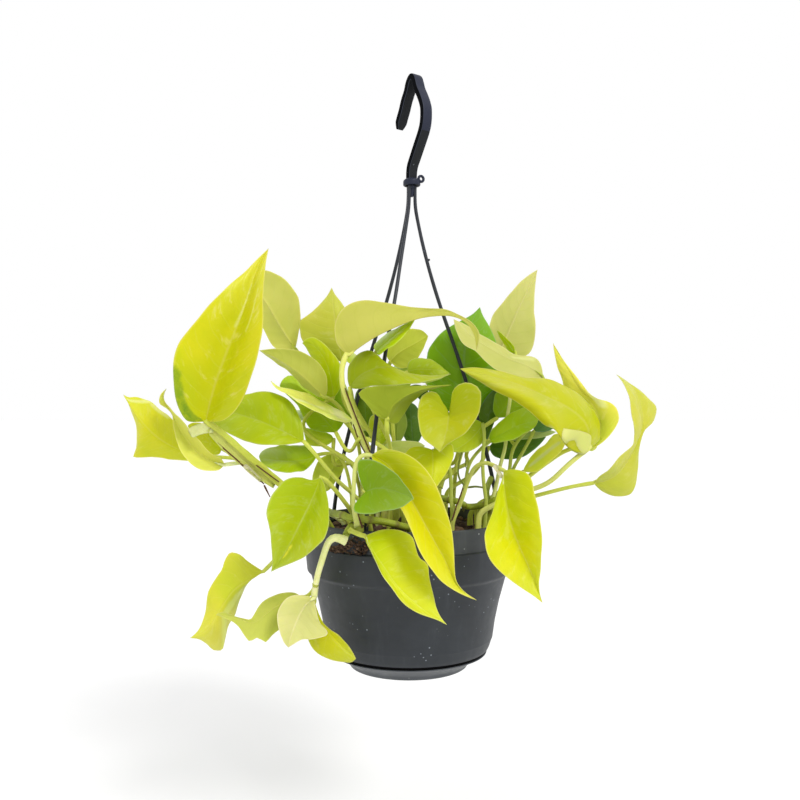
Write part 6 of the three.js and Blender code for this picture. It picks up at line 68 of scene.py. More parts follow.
('leaf_26', 'L26', 'lime', [180.5, 182.1, 12.9], [1256,-400,1614,1256,-400,1614,1256,-400,1614,1256,-400,1614,1256,-400,1614,1341,-314,1665,1300,-373,1673,1248,-424,1681,1203,-443,1562,1257,-436,1689,1347,-310,1762,1296,-384,1754,1233,-446,1745,1110,-510,1593,1172,-494,1729,1319,-301,1851,1264,-387,1832,1197,-459,1805,1038,-586,1657,1080,-562,1742,1266,-276,1928,1205,-376,1901,1134,-460,1861,995,-629,1730,996,-598,1755,1195,-264,1991,1135,-370,1956,1066,-460,1906,955,-655,1801,919,-620,1773,1113,-260,2037,1054,-368,1999,988,-460,1943,903,-644,1861,859,-608,1815,1022,-262,2070,969,-362,2033,912,-447,1979,847,-609,1913,804,-573,1868,927,-270,2088,884,-350,2059,839,-419,2015,786,-569,1954,745,-534,1910,830,-281,2099,798,-340,2079,764,-390,2049,717,-528,1990,681,-496,1949,739,-266,2119,712,-316,2102,685,-359,2076,649,-476,2025,619,-448,1988,650,-237,2146,627,-286,2127,604,-327,2098,580,-418,2058,555,-396,2029,557,-227,2162,540,-267,2145,523,-302,2120,509,-365,2091,491,-349,2070,461,-235,2168,452,-259,2157,442,-279,2141,435,-313,2123,426,-305,2113,363,-260,2162,363,-260,2162,363,-260,2162,363,-260,2162,363,-260,2162], [497,-237,920,496,-236,939,495,-235,959,495,-235,977,495,-234,995,494,-234,1013,494,-233,1029,494,-233,1045,494,-233,1061,494,-233,1075,494,-233,1089,494,-233,1102,497,-233,1114,501,-233,1125,509,-234,1136,520,-235,1146,534,-236,1156,550,-237,1165,566,-239,1174,584,-240,1183,601,-242,1191,617,-244,1199,633,-246,1207,647,-248,1215,661,-251,1222,676,-254,1229,690,-258,1236,704,-263,1243,719,-267,1249,733,-272,1256,748,-278,1262,762,-283,1268,776,-289,1274,791,-294,1280,805,-300,1287,819,-306,1293,833,-312,1299,847,-318,1305,861,-325,1310,875,-332,1316,889,-339,1322,903,-345,1327,917,-352,1333,930,-359,1340,943,-365,1347,956,-371,1354,968,-377,1362,980,-383,1371,992,-389,1381,1003,-395,1391,1014,-401,1402,1025,-407,1414,1036,-413,1426,1046,-418,1438,1057,-422,1450,1068,-426,1462,1079,-429,1473,1091,-430,1485,1103,-431,1496,1115,-431,1506,1127,-431,1516,1139,-430,1527,1152,-429,1537,1164,-427,1547,1177,-425,1556,1190,-422,1566,1203,-419,1576,1216,-415,1585,1229,-410,1595,1243,-405,1604,1256,-400,1614], [2.1,1.6]),
('leaf_27', 'L27', 'lime', [219.9, 216.5, 69.0], [1300,-260,1592,1300,-260,1592,1300,-260,1592,1300,-260,1592,1300,-260,1592,1362,-277,1632,1346,-267,1633,1332,-253,1631,1303,-229,1636,1279,-199,1636,1414,-288,1680,1384,-269,1682,1359,-244,1680,1305,-200,1685,1261,-144,1684,1455,-300,1740,1408,-270,1740,1370,-232,1738,1299,-175,1738,1243,-104,1735,1480,-313,1809,1414,-272,1806,1361,-217,1804,1284,-157,1796,1222,-79,1788,1467,-300,1879,1398,-257,1872,1342,-200,1867,1264,-139,1854,1202,-60,1842,1419,-265,1927,1361,-229,1922,1313,-181,1919,1240,-124,1906,1182,-51,1897,1355,-229,1947,1310,-200,1955,1273,-163,1966,1210,-114,1957,1159,-52,1953,1300,-200,1986,1265,-177,1998,1237,-147,2014,1183,-106,2009,1140,-53,2009,1257,-173,2043,1229,-155,2054,1207,-131,2066,1162,-97,2065,1127,-54,2067,1217,-145,2104,1196,-132,2113,1179,-114,2122,1143,-87,2123,1114,-52,2125,1176,-114,2164,1162,-105,2172,1151,-92,2181,1120,-69,2181,1096,-40,2181,1137,-79,2226,1129,-74,2233,1122,-66,2239,1101,-50,2240,1084,-29,2240,1100,-41,2291,1097,-38,2295,1095,-35,2299,1084,-26,2299,1075,-16,2299,1068,0,2359,1068,0,2359,1068,0,2359,1068,0,2359,1068,0,2359], [554,-34,920,554,-34,945,554,-34,969,554,-34,993,554,-34,1015,554,-34,1037,554,-34,1057,554,-34,1075,555,-34,1093,555,-34,1108,558,-33,1122,565,-31,1135,577,-27,1146,593,-22,1157,613,-16,1167,634,-10,1176,657,-4,1186,678,0,1196,698,3,1207,716,4,1219,732,5,1231,748,5,1245,763,5,1259,778,5,1274,793,5,1288,807,5,1303,822,4,1317,837,3,1331,852,0,1345,867,-5,1358,882,-11,1372,896,-17,1385,911,-23,1398,926,-29,1411,941,-36,1424,956,-42,1437,971,-49,1449,986,-57,1462,1001,-65,1474,1015,-73,1486,1030,-82,1497,1044,-91,1509,1058,-100,1521,1072,-110,1533,1087,-121,1544,1101,-131,1555,1115,-142,1564,1130,-153,1573,1145,-165,1580,1161,-176,1587,1178,-187,1594,1194,-199,1599,1211,-210,1602,1228,-221,1603,1246,-231,1603,1264,-241,1600,1282,-251,1597,1300,-260,1592], [1.9,1.5]),
('leaf_29', 'L29', 'lime', [184.9, 185.5, 48.1], [1370,20,1325,1370,20,1325,1370,20,1325,1370,20,1325,1370,20,1325,1464,113,1248,1450,69,1287,1434,31,1333,1416,-21,1354,1396,-67,1383,1576,185,1211,1540,108,1276,1497,44,1352,1472,-34,1385,1442,-102,1427,1690,237,1221,1629,139,1298,1555,57,1386,1524,-39,1427,1484,-123,1476,1738,234,1300,1680,147,1367,1608,72,1441,1578,-15,1479,1539,-92,1522,1744,201,1407,1704,141,1452,1654,90,1502,1631,21,1532,1600,-41,1566,1750,171,1509,1725,133,1538,1694,100,1570,1682,53,1591,1664,12,1615,1759,141,1611,1743,119,1627,1724,100,1644,1699,50,1659,1668,5,1678,1776,123,1707,1764,111,1713,1751,100,1720,1704,19,1733,1645,-53,1748,1864,186,1781,1816,139,1789,1759,100,1796,1703,5,1806,1633,-77,1817,1895,212,1876,1825,147,1877,1744,91,1876,1693,6,1881,1630,-68,1884,1815,160,1956,1770,117,1956,1718,81,1955,1674,8,1954,1620,-56,1951,1735,125,2027,1711,102,2026,1684,83,2023,1647,23,2021,1604,-31,2014,1645,111,2076,1637,104,2080,1629,97,2083,1609,64,2081,1586,34,2075,1564,120,2132,1564,120,2132,1564,120,2132,1564,120,2132,1564,120,2132], [464,120,920,464,120,947,464,120,974,464,120,999,464,120,1023,464,120,1044,464,120,1063,464,120,1079,464,120,1091,467,120,1100,473,119,1107,485,117,1112,502,114,1117,522,111,1121,545,108,1125,571,104,1128,597,101,1132,623,97,1135,648,93,1139,671,90,1144,692,87,1148,712,85,1154,732,82,1159,752,80,1165,772,77,1171,791,75,1177,811,73,1183,831,70,1190,850,68,1196,870,65,1203,889,63,1209,909,60,1215,929,57,1221,948,54,1227,968,50,1233,987,46,1238,1007,41,1244,1026,38,1249,1046,35,1255,1066,34,1260,1086,32,1266,1106,32,1271,1126,31,1276,1146,30,1281,1166,30,1286,1186,29,1291,1207,28,1296,1227,27,1300,1247,26,1304,1267,25,1308,1288,24,1311,1308,23,1315,1329,22,1319,1349,21,1322,1370,20,1325], [1.9,1.4]),
('leaf_30', 'L30', 'green', [177.2, 206.6, 12.9], [588,-140,1640,588,-140,1640,588,-140,1640,588,-140,1640,588,-140,1640,609,-174,1628,605,-162,1641,604,-148,1652,594,-129,1666,588,-107,1677,635,-196,1633,628,-178,1651,624,-157,1667,610,-126,1691,602,-89,1712,662,-217,1639,653,-194,1663,648,-167,1683,634,-127,1716,627,-82,1743,687,-236,1645,678,-208,1675,674,-175,1699,660,-129,1740,654,-76,1772,713,-252,1653,705,-220,1687,701,-183,1715,689,-131,1761,683,-72,1798,739,-266,1661,732,-231,1699,729,-190,1731,718,-135,1781,715,-72,1821,764,-276,1671,759,-239,1712,758,-196,1746,750,-139,1799,748,-73,1841,789,-278,1684,787,-242,1725,788,-200,1758,783,-140,1814,783,-71,1859,814,-273,1698,816,-239,1736,819,-200,1767,818,-136,1829,821,-62,1877,841,-264,1711,845,-234,1747,850,-197,1775,853,-133,1839,859,-57,1888,869,-252,1725,874,-225,1756,879,-192,1782,888,-135,1838,897,-68,1882,893,-234,1741,898,-213,1766,903,-187,1786,915,-144,1829,927,-92,1862,912,-210,1762,916,-198,1777,919,-183,1788,926,-158,1813,933,-127,1832,929,-180,1789,929,-180,1789,929,-180,1789,929,-180,1789,929,-180,1789], [305,-116,920,305,-117,937,306,-118,954,306,-118,970,307,-119,987,309,-119,1003,310,-119,1019,312,-120,1036,313,-120,1052,316,-120,1068,320,-120,1084,324,-120,1099,330,-120,1115,336,-120,1130,343,-120,1146,349,-120,1161,355,-120,1176,361,-120,1192,368,-120,1207,374,-120,1222,380,-121,1237,385,-123,1253,390,-125,1268,395,-127,1284,400,-129,1300,404,-130,1315,409,-130,1331,413,-130,1347,416,-131,1363,418,-132,1380,419,-134,1396,421,-137,1412,423,-140,1428,426,-144,1444,431,-147,1459,436,-150,1474,443,-153,1489,450,-156,1504,459,-158,1517,468,-160,1531,478,-160,1544,489,-160,1557,500,-160,1569,512,-160,1580,524,-159,1591,536,-157,1602,548,-154,1612,561,-150,1622,575,-145,1631,588,-140,1640], [1.4,1.15]),
('leaf_31', 'L31', 'lime', [247.0, 247.0, 82.6], [835,-80,1418,835,-80,1418,835,-80,1418,835,-80,1418,835,-80,1418,862,-120,1416,856,-107,1426,853,-93,1436,850,-81,1443,848,-68,1448,888,-156,1418,878,-132,1437,872,-105,1454,866,-85,1467,864,-61,1477,913,-186,1425,900,-154,1451,892,-118,1473,884,-90,1491,881,-59,1505,939,-204,1442,923,-170,1470,914,-131,1494,905,-98,1514,902,-61,1531,963,-220,1461,946,-184,1490,937,-142,1515,927,-106,1538,923,-66,1556,985,-235,1481,969,-197,1511,959,-155,1537,949,-118,1560,945,-76,1579,1007,-247,1502,991,-209,1533,982,-167,1559,972,-130,1582,969,-89,1601,1029,-255,1523,1014,-218,1554,1006,-176,1580,997,-140,1603,993,-100,1621,1053,-255,1544,1040,-220,1575,1031,-180,1600,1022,-141,1625,1018,-97,1645,1076,-249,1566,1064,-217,1595,1057,-180,1618,1048,-134,1649,1044,-82,1673,1096,-238,1590,1087,-211,1615,1081,-180,1634,1072,-133,1667,1069,-80,1691,1114,-223,1616,1107,-203,1634,1104,-180,1649,1096,-144,1674,1093,-103,1692,1130,-203,1644,1127,-192,1654,1125,-180,1662,1121,-158,1677,1119,-134,1688,1145,-180,1674,1145,-180,1674,1145,-180,1674,1145,-180,1674,1145,-180,1674], [500,11,920,500,11,947,500,11,974,500,11,999,500,11,1023,500,11,1046,500,11,1068,500,11,1088,500,11,1106,500,11,1124,500,11,1140,500,11,1154,504,11,1166,514,11,1177,530,10,1187,551,9,1196,574,8,1204,596,7,1213,617,6,1224,635,6,1235,652,5,1248,669,4,1261,685,3,1275,701,3,1288,716,2,1302,731,0,1316,745,-3,1329,759,-9,1342,773,-16,1355,786,-26,1367,799,-38,1380,811,-51,1393,823,-65,1405,835,-80,1418], [1.4,1.2]),
('leaf_32', 'L32', 'limegreen', [166.2, 183.0, 12.9], [539,-120,1766,539,-120,1766,539,-120,1766,539,-120,1766,539,-120,1766,516,-101,1787,525,-114,1774,535,-123,1759,543,-132,1749,552,-138,1738,492,-86,1799,509,-110,1776,528,-127,1748,542,-143,1731,557,-153,1710,467,-79,1800,491,-111,1769,516,-134,1733,535,-154,1710,555,-168,1683,439,-77,1792,469,-115,1756,501,-143,1713,521,-166,1686,542,-182,1656,411,-80,1778,445,-122,1738,481,-154,1691,502,-177,1664,524,-194,1631,387,-86,1763,423,-131,1721,460,-165,1670,481,-188,1643,503,-205,1611,364,-97,1745,400,-143,1702,437,-177,1650,457,-199,1624,478,-215,1594,343,-111,1724,377,-155,1681,413,-189,1631,432,-209,1608,452,-223,1581,324,-127,1700,356,-168,1661,388,-198,1614,406,-216,1594,424,-229,1570,311,-144,1676,337,-179,1642,364,-205,1601,380,-220,1585,395,-231,1565,301,-161,1651,321,-189,1623,342,-210,1591,354,-221,1579,367,-230,1565,291,-180,1625,306,-199,1605,321,-214,1582,329,-222,1574,338,-227,1566,284,-199,1597,292,-210,1587,300,-218,1574,304,-221,1571,309,-224,1567,280,-220,1568,280,-220,1568,280,-220,1568,280,-220,1568,280,-220,1568], [534,-185,920,536,-185,936,538,-185,953,539,-186,969,541,-186,985,542,-186,1002,544,-187,1018,545,-187,1034,546,-188,1050,548,-189,1067,549,-189,1083,549,-190,1099,550,-191,1116,551,-192,1132,552,-193,1148,553,-194,1165,553,-195,1181,553,-197,1197,554,-198,1214,553,-200,1230,551,-202,1246,549,-204,1262,546,-206,1278,543,-207,1294,540,-209,1310,538,-210,1326,537,-212,1342,535,-213,1359,533,-214,1375,532,-215,1391,531,-216,1408,530,-217,1424,529,-218,1440,528,-219,1456,528,-221,1473,527,-222,1489,527,-224,1505,527,-225,1522,527,-227,1538,528,-229,1555,529,-230,1572,531,-232,1588,533,-234,1605,536,-235,1621,537,-236,1636,538,-235,1651,539,-233,1665,539,-229,1678,539,-222,1690,539,-213,1703,539,-201,1715,539,-188,1726,539,-173,1737,539,-156,1747,539,-138,1757,539,-120,1766], [1.5,1.2]),
('leaf_33', 'L33', 'lime', [195.4, 202.1, 12.9], [158,-440,1595,158,-440,1595,158,-440,1595,158,-440,1595,158,-440,1595,120,-427,1611,139,-438,1602,159,-445,1589,178,-438,1601,198,-427,1610,81,-415,1618,120,-436,1603,159,-449,1583,199,-436,1606,239,-415,1622,40,-404,1613,99,-434,1599,160,-454,1577,224,-433,1610,288,-400,1634,2,-396,1601,81,-434,1591,161,-459,1570,234,-436,1601,307,-399,1623,-25,-396,1574,68,-441,1571,161,-469,1557,236,-447,1570,311,-411,1573,-41,-406,1533,60,-455,1539,162,-486,1533,231,-466,1537,301,-433,1533,-40,-429,1496,60,-478,1502,162,-509,1498,223,-491,1500,284,-462,1494,-34,-453,1456,62,-501,1462,161,-530,1458,212,-515,1461,265,-490,1458,-24,-475,1418,64,-519,1421,155,-546,1418,198,-533,1422,243,-512,1424,-12,-496,1385,65,-535,1386,145,-558,1381,181,-547,1387,219,-529,1389,7,-517,1354,69,-549,1354,133,-568,1349,163,-559,1354,194,-543,1357,32,-538,1327,76,-561,1326,121,-574,1322,143,-568,1326,166,-556,1328,63,-559,1301,86,-571,1301,110,-578,1299,122,-574,1301,134,-568,1302,99,-580,1279,99,-580,1279,99,-580,1279,99,-580,1279,99,-580,1279], [133,-340,920,133,-340,941,133,-340,962,133,-340,982,133,-340,1003,133,-340,1024,133,-340,1044,133,-340,1065,133,-340,1086,133,-340,1106,133,-340,1127,134,-340,1147,136,-341,1168,138,-341,1188,141,-343,1209,145,-344,1229,149,-345,1249,154,-347,1270,158,-349,1290,162,-351,1310,167,-354,1331,170,-356,1351,173,-359,1371,176,-362,1391,178,-365,1412,180,-369,1433,182,-374,1453,184,-379,1474,185,-385,1494,186,-391,1513,186,-398,1531,183,-407,1548,177,-417,1565,168,-428,1580,158,-440,1595], [1.5,1.2]),
('leaf_34', 'L34', 'lime', [203.9, 202.0, 14.7], [-257,-640,1570,-257,-640,1570,-257,-640,1570,-257,-640,1570,-257,-640,1570,-222,-769,1497,-209,-741,1523,-189,-706,1546,-181,-738,1585,-165,-761,1620,-182,-873,1428,-161,-828,1470,-130,-771,1507,-104,-821,1562,-69,-857,1610,-140,-946,1361,-114,-896,1406,-79,-831,1445,-37,-900,1515,17,-949,1576,-90,-994,1299,-65,-946,1341,-32,-883,1379,21,-962,1453,86,-1019,1520,-43,-1032,1235,-19,-988,1273,11,-929,1307,68,-1011,1380,138,-1069,1447,-8,-1070,1165,20,-1025,1201,54,-965,1234,112,-1046,1304,180,-1103,1369,22,-1105,1094,56,-1057,1128,95,-993,1159,151,-1070,1225,214,-1122,1286,53,-1133,1023,93,-1082,1056,137,-1013,1085,188,-1083,1144,241,-1129,1199,90,-1146,954,134,-1095,985,177,-1026,1013,219,-1082,1062,260,-1119,1108,140,-1143,888,180,-1097,916,218,-1035,942,244,-1073,979,269,-1099,1013,196,-1119,824,225,-1085,846,251,-1040,866,263,-1063,892,272,-1079,918,264,-1082,769,277,-1064,782,288,-1040,794,287,-1051,809,286,-1059,822,339,-1057,725,343,-1050,731,346,-1040,736,343,-1045,741,340,-1048,746,417,-1040,691,417,-1040,691,417,-1040,691,417,-1040,691,417,-1040,691], [-342,-746,1108,-345,-738,1122,-348,-729,1137,-351,-722,1151,-355,-715,1166,-359,-709,1181,-364,-703,1196,-367,-697,1212,-371,-692,1227,-373,-688,1243,-373,-685,1259,-373,-684,1276,-373,-682,1292,-372,-681,1309,-371,-680,1326,-371,-678,1343,-370,-676,1360,-369,-674,1376,-369,-672,1393,-368,-670,1409,-368,-668,1426,-367,-667,1443,-366,-665,1460,-365,-664,1477,-363,-663,1493,-361,-662,1510,-357,-661,1526,-352,-660,1542,-343,-659,1556,-332,-658,1567,-318,-658,1574,-303,-656,1577,-287,-653,1578,-272,-647,1575,-257,-640,1570], [1.6,1.25]),
('leaf_35', 'L35', 'green', [126.3, 156.5, 12.9], [-288,-860,1348,-288,-860,1348,-288,-860,1348,-288,-860,1348,-288,-860,1348,-314,-901,1323,-297,-879,1336,-282,-862,1351,-294,-866,1371,-309,-876,1394,-338,-943,1298,-304,-898,1323,-277,-864,1354,-297,-873,1395,-324,-892,1441,-355,-983,1268,-308,-916,1309,-271,-866,1357,-298,-880,1420,-334,-908,1490,-348,-1008,1241,-301,-928,1297,-265,-868,1359,-292,-886,1449,-331,-925,1544,-307,-1009,1230,-276,-930,1294,-257,-872,1362,-276,-891,1461,-307,-932,1564,-267,-1019,1227,-248,-939,1295,-242,-879,1368,-240,-898,1465,-251,-937,1567,-228,-1036,1232,-215,-956,1301,-215,-896,1376,-204,-913,1461,-206,-947,1551,-189,-1057,1241,-176,-981,1307,-178,-922,1379,-165,-937,1451,-164,-966,1529,-151,-1085,1252,-137,-1017,1311,-138,-962,1377,-126,-975,1437,-125,-999,1502,-113,-1115,1264,-99,-1057,1315,-99,-1010,1371,-89,-1021,1421,-89,-1041,1475,-75,-1140,1277,-64,-1092,1318,-64,-1053,1364,-56,-1062,1403,-56,-1077,1444,-40,-1156,1292,-32,-1121,1322,-32,-1092,1356,-26,-1098,1383,-26,-1108,1411,-10,-1159,1316,-5,-1141,1331,-4,-1127,1347,-1,-1130,1361,0,-1136,1376,21,-1160,1337,21,-1160,1337,21,-1160,1337,21,-1160,1337,21,-1160,1337], [-259,-362,920,-259,-379,939,-259,-395,957,-260,-410,976,-261,-423,995,-263,-434,1013,-264,-445,1032,-266,-454,1051,-268,-461,1070,-270,-467,1089,-273,-472,1108,-276,-476,1127,-278,-478,1146,-282,-479,1166,-287,-477,1187,-294,-474,1208,-302,-469,1228,-307,-466,1244,-310,-465,1256,-310,-467,1266,-310,-471,1274,-310,-478,1282,-310,-486,1289,-310,-497,1296,-310,-509,1303,-309,-524,1309,-309,-541,1315,-308,-560,1321,-307,-581,1326,-306,-604,1330,-304,-629,1334,-303,-656,1338,-301,-685,1341,-299,-716,1343,-297,-749,1345,-294,-785,1347,-291,-822,1348,-288,-860,1348], [1.7,1.4]),
('leaf_36', 'L36', 'lime', [199.2, 205.4, 12.9], [-289,-840,1062,-289,-840,1062,-289,-840,1062,-289,-840,1062,-289,-840,1062,-274,-866,1013,-274,-864,1026,-273,-859,1037,-260,-847,1062,-246,-828,1082,-245,-894,966,-250,-890,989,-255,-880,1008,-218,-854,1059,-179,-812,1100,-222,-923,917,-226,-917,946,-230,-905,971,-170,-866,1043,-110,-804,1100,-199,-950,869,-199,-944,901,-200,-930,929,-119,-882,1017,-42,-803,1086,-168,-972,823,-166,-966,856,-165,-952,884,-72,-899,975,15,-812,1047,-133,-986,780,-131,-980,809,-130,-967,835,-41,-918,918,38,-837,986,-99,-998,736,-94,-993,761,-91,-982,783,-11,-935,863,62,-859,928,-66,-1009,692,-56,-1004,715,-46,-993,735,38,-945,815,114,-867,881,-26,-1016,652,-12,-1011,675,0,-999,694,65,-960,762,121,-897,819,21,-1014,620,33,-1010,640,44,-1000,657,91,-970,710,132,-921,757,73,-1006,594,81,-1003,608,88,-996,621,120,-974,660,147,-939,694,128,-993,572,131,-991,579,133,-988,586,152,-975,611,166,-954,632,182,-977,549,182,-977,550,182,-976,552,188,-971,563,193,-962,573,234,-960,518,234,-960,518,234,-960,518,234,-960,518,234,-960,518], [-390,-740,1085,-381,-755,1083,-372,-769,1081,-363,-784,1079,-353,-799,1077,-343,-813,1074,-332,-826,1072,-319,-835,1069,-305,-839,1066,-289,-840,1062], [1.6,1.4]),
('leaf_37', 'L37', 'lime', [203.6, 205.1, 12.9], [636,-600,1466,636,-600,1466,636,-600,1466,636,-600,1466,636,-600,1466,614,-663,1396,621,-652,1413,633,-639,1427,658,-684,1458,695,-723,1483,579,-729,1331,601,-708,1358,631,-682,1381,681,-767,1433,750,-839,1473,552,-794,1266,586,-767,1298,630,-731,1324,693,-834,1381,777,-919,1424,527,-856,1201,575,-822,1234,633,-777,1259,700,-886,1316,785,-972,1359,493,-919,1140,562,-877,1171,641,-817,1194,711,-931,1251,796,-1017,1295,468,-980,1079,557,-929,1110,656,-853,1131,724,-963,1185,803,-1044,1230,470,-1016,1013,570,-961,1044,675,-876,1069,740,-979,1118,811,-1054,1162,497,-1026,949,597,-972,979,700,-887,1006,758,-978,1050,819,-1043,1091,542,-1022,891,634,-972,919,727,-895,945,775,-970,982,824,-1024,1018,596,-1008,838,676,-965,861,754,-899,884,791,-956,914,826,-997,943,656,-983,788,719,-950,805,780,-899,824,804,-937,845,827,-964,867,721,-944,738,765,-921,749,805,-887,762,815,-906,774,824,-919,788,790,-894,687,811,-883,692,830,-867,697,832,-873,702,833,-877,707,856,-840,630,856,-840,630,856,-840,630,856,-840,630,856,-840,630], [290,-396,920,290,-397,937,291,-399,954,291,-401,971,292,-402,988,293,-404,1004,294,-405,1021,295,-406,1037,296,-407,1053,298,-407,1069,300,-408,1085,304,-408,1101,309,-408,1117,315,-408,1132,322,-408,1147,329,-409,1163,336,-409,1178,343,-410,1193,350,-411,1208,356,-413,1224,362,-414,1239,367,-415,1255,372,-416,1271,377,-417,1286,382,-418,1302,387,-419,1318,391,-422,1334,396,-425,1349,402,-428,1365,407,-433,1380,412,-438,1395,417,-445,1409,422,-452,1423,427,-459,1437,432,-468,1451,438,-476,1464,445,-484,1476,454,-493,1487,465,-501,1496,477,-508,1504,491,-516,1510,505,-523,1513,519,-532,1515,533,-541,1515,546,-549,1512,559,-556,1507,572,-561,1498,584,-566,1489,597,-573,1481,610,-581,1475,623,-590,1470,636,-600,1466], [1.6,1.3]),
('leaf_38', 'L38', 'dark', [76, 114, 24], [620,260,1579,620,260,1579,620,260,1579,620,260,1579,620,260,1579,635,254,1539,637,253,1557,640,254,1574,641,259,1591,643,266,1608,656,248,1511,659,245,1541,664,248,1570,665,256,1602,668,270,1632,688,240,1496,689,237,1532,692,240,1567,692,251,1610,695,270,1650,727,231,1487,725,228,1527,724,231,1566,723,244,1616,725,266,1665,765,221,1486,761,218,1527,760,221,1567,757,235,1623,758,260,1677,803,211,1490,798,207,1532,797,211,1573,792,225,1631,791,251,1686,839,200,1497,834,196,1540,832,200,1582,825,214,1638,823,239,1692,873,190,1507,868,186,1550,866,190,1592,859,203,1646,856,227,1698,906,181,1526,902,178,1565,899,181,1602,892,194,1653,889,217,1702,938,175,1550,934,172,1582,931,175,1613,925,187,1659,921,208,1704,966,170,1574,964,168,1600,962,170,1624,956,180,1664,953,198,1701,993,166,1600,991,164,1618,990,166,1636,986,173,1665,983,186,1692,1019,162,1629,1017,161,1639,1017,162,1648,1014,166,1663,1013,173,1678,1042,160,1660,1042,160,1660,1042,160,1660,1042,160,1660,1042,160,1660], [279,117,920,279,117,946,279,117,971,279,117,995,279,117,1019,279,117,1043,279,117,1065,279,117,1087,279,117,1108,279,117,1129,279,117,1148,279,117,1166,279,117,1183,279,117,1199,280,118,1214,282,120,1227,287,125,1240,295,133,1251,306,144,1262,319,157,1271,335,171,1281,351,187,1290,370,203,1299,388,219,1307,408,235,1316,427,249,1325,446,262,1335,463,273,1345,480,282,1356,495,287,1368,508,290,1381,520,291,1394,532,290,1409,543,290,1425,554,289,1442,564,288,1460,574,285,1478,584,282,1497,594,278,1517,603,273,1537,612,267,1558,620,260,1579], [1.7,1.4]),
('leaf_39', 'L39', 'lime', [201.8, 199.3, 53.4], [-1005,-440,757,-1005,-440,757,-1005,-440,757,-1005,-440,757,-1005,-440,757,-1063,-433,791,-1052,-447,764,-1043,-453,738,-1049,-445,728,-1057,-432,719,-1120,-423,829,-1097,-452,774,-1079,-465,718,-1092,-447,698,-1107,-422,678,-1174,-412,871,-1140,-455,784,-1114,-477,698,-1129,-447,661,-1148,-405,625,-1238,-408,885,-1190,-461,780,-1150,-488,676,-1162,-444,620,-1179,-383,564,-1274,-426,837,-1226,-474,742,-1188,-498,650,-1191,-440,573,-1204,-359,499,-1286,-448,775,-1247,-488,693,-1221,-510,615,-1215,-439,523,-1226,-344,435,-1323,-463,723,-1281,-502,644,-1252,-523,569,-1243,-448,472,-1253,-348,380,-1358,-475,670,-1316,-514,594,-1284,-535,521,-1271,-455,418,-1274,-348,320,-1383,-483,610,-1343,-520,537,-1313,-540,468,-1296,-456,360,-1295,-343,258,-1391,-491,545,-1361,-522,480,-1339,-539,420,-1321,-446,295,-1319,-319,182,-1395,-501,480,-1380,-525,430,-1369,-538,384,-1361,-465,283,-1363,-365,195,-1411,-511,418,-1405,-527,386,-1401,-535,357,-1397,-495,303,-1396,-441,256,-1444,-519,363,-1443,-526,349,-1441,-529,336,-1440,-515,316,-1439,-494,299,-1493,-520,319,-1493,-520,319,-1493,-520,319,-1493,-520,319,-1493,-520,319], [-493,-306,920,-503,-307,946,-513,-309,972,-523,-312,997,-532,-316,1021,-542,-321,1043,-551,-327,1063,-560,-333,1082,-569,-341,1097,-578,-349,1110,-587,-357,1120,-596,-366,1127,-604,-375,1130,-613,-387,1131,-620,-404,1131,-628,-424,1131,-635,-446,1131,-642,-471,1131,-649,-495,1131,-657,-517,1130,-665,-537,1130,-673,-552,1129,-683,-562,1128,-693,-568,1124,-705,-572,1117,-718,-576,1105,-732,-579,1089,-747,-581,1072,-761,-583,1052,-776,-585,1033,-790,-585,1015,-803,-585,998,-815,-584,983,-827,-580,968,-838,-573,954,-849,-565,939,-860,-555,925,-871,-544,910,-882,-532,896,-893,-520,881,-904,-508,867,-915,-497,853,-927,-487,839,-939,-477,825,-951,-469,811,-964,-461,797,-977,-454,784,-991,-447,770,-1005,-440,757], [1.6,1.3]),
('leaf_40', 'L40', 'limepale', [189.6, 193.3, 86.4], [-746,-440,584,-746,-440,584,-746,-440,584,-746,-440,584,-746,-440,584,-747,-477,529,-763,-467,552,-776,-462,579,-783,-448,593,-788,-438,609,-756,-514,481,-785,-496,523,-811,-486,570,-824,-465,591,-835,-449,616,-789,-550,439,-823,-527,495,-852,-515,558,-867,-489,583,-880,-470,613,-833,-580,412,-866,-556,472,-895,-543,539,-910,-514,568,-923,-492,602,-884,-605,390,-913,-581,449,-939,-569,516,-953,-536,549,-965,-512,587,-926,-627,356,-953,-602,419,-978,-589,488,-990,-555,523,-1002,-529,563,-959,-645,323,-985,-618,389,-1010,-605,462,-1020,-573,494,-1028,-550,531,-1014,-644,354,-1027,-627,399,-1038,-618,448,-1043,-597,470,-1046,-581,495,-1062,-662,334,-1067,-641,390,-1066,-630,449,-1068,-622,458,-1070,-615,468,-1098,-668,379,-1101,-653,419,-1099,-644,463,-1107,-635,470,-1114,-629,479,-1130,-676,431,-1136,-667,456,-1139,-662,484,-1148,-653,490,-1157,-647,496,-1173,-689,471,-1179,-684,485,-1183,-681,501,-1191,-672,509,-1198,-665,517,-1224,-705,500,-1227,-702,507,-1229,-700,515,-1234,-691,524,-1239,-684,535,-1275,-720,526,-1275,-720,526,-1275,-720,526,-1275,-720,526,-1275,-720,526], [-547,-687,985,-552,-681,970,-556,-675,955,-561,-669,940,-565,-663,926,-570,-657,911,-574,-652,896,-579,-646,881,-583,-641,866,-588,-635,851,-592,-630,836,-597,-624,821,-601,-619,806,-605,-613,791,-608,-607,776,-612,-601,760,-615,-595,745,-618,-589,730,-622,-583,715,-627,-577,701,-633,-572,686,-640,-567,672,-648,-561,658,-656,-555,645,-665,-548,633,-674,-540,621,-684,-532,612,-694,-522,604,-704,-511,598,-713,-499,593,-721,-486,590,-730,-471,587,-738,-456,585,-746,-440,584], [1.5,1.3]),
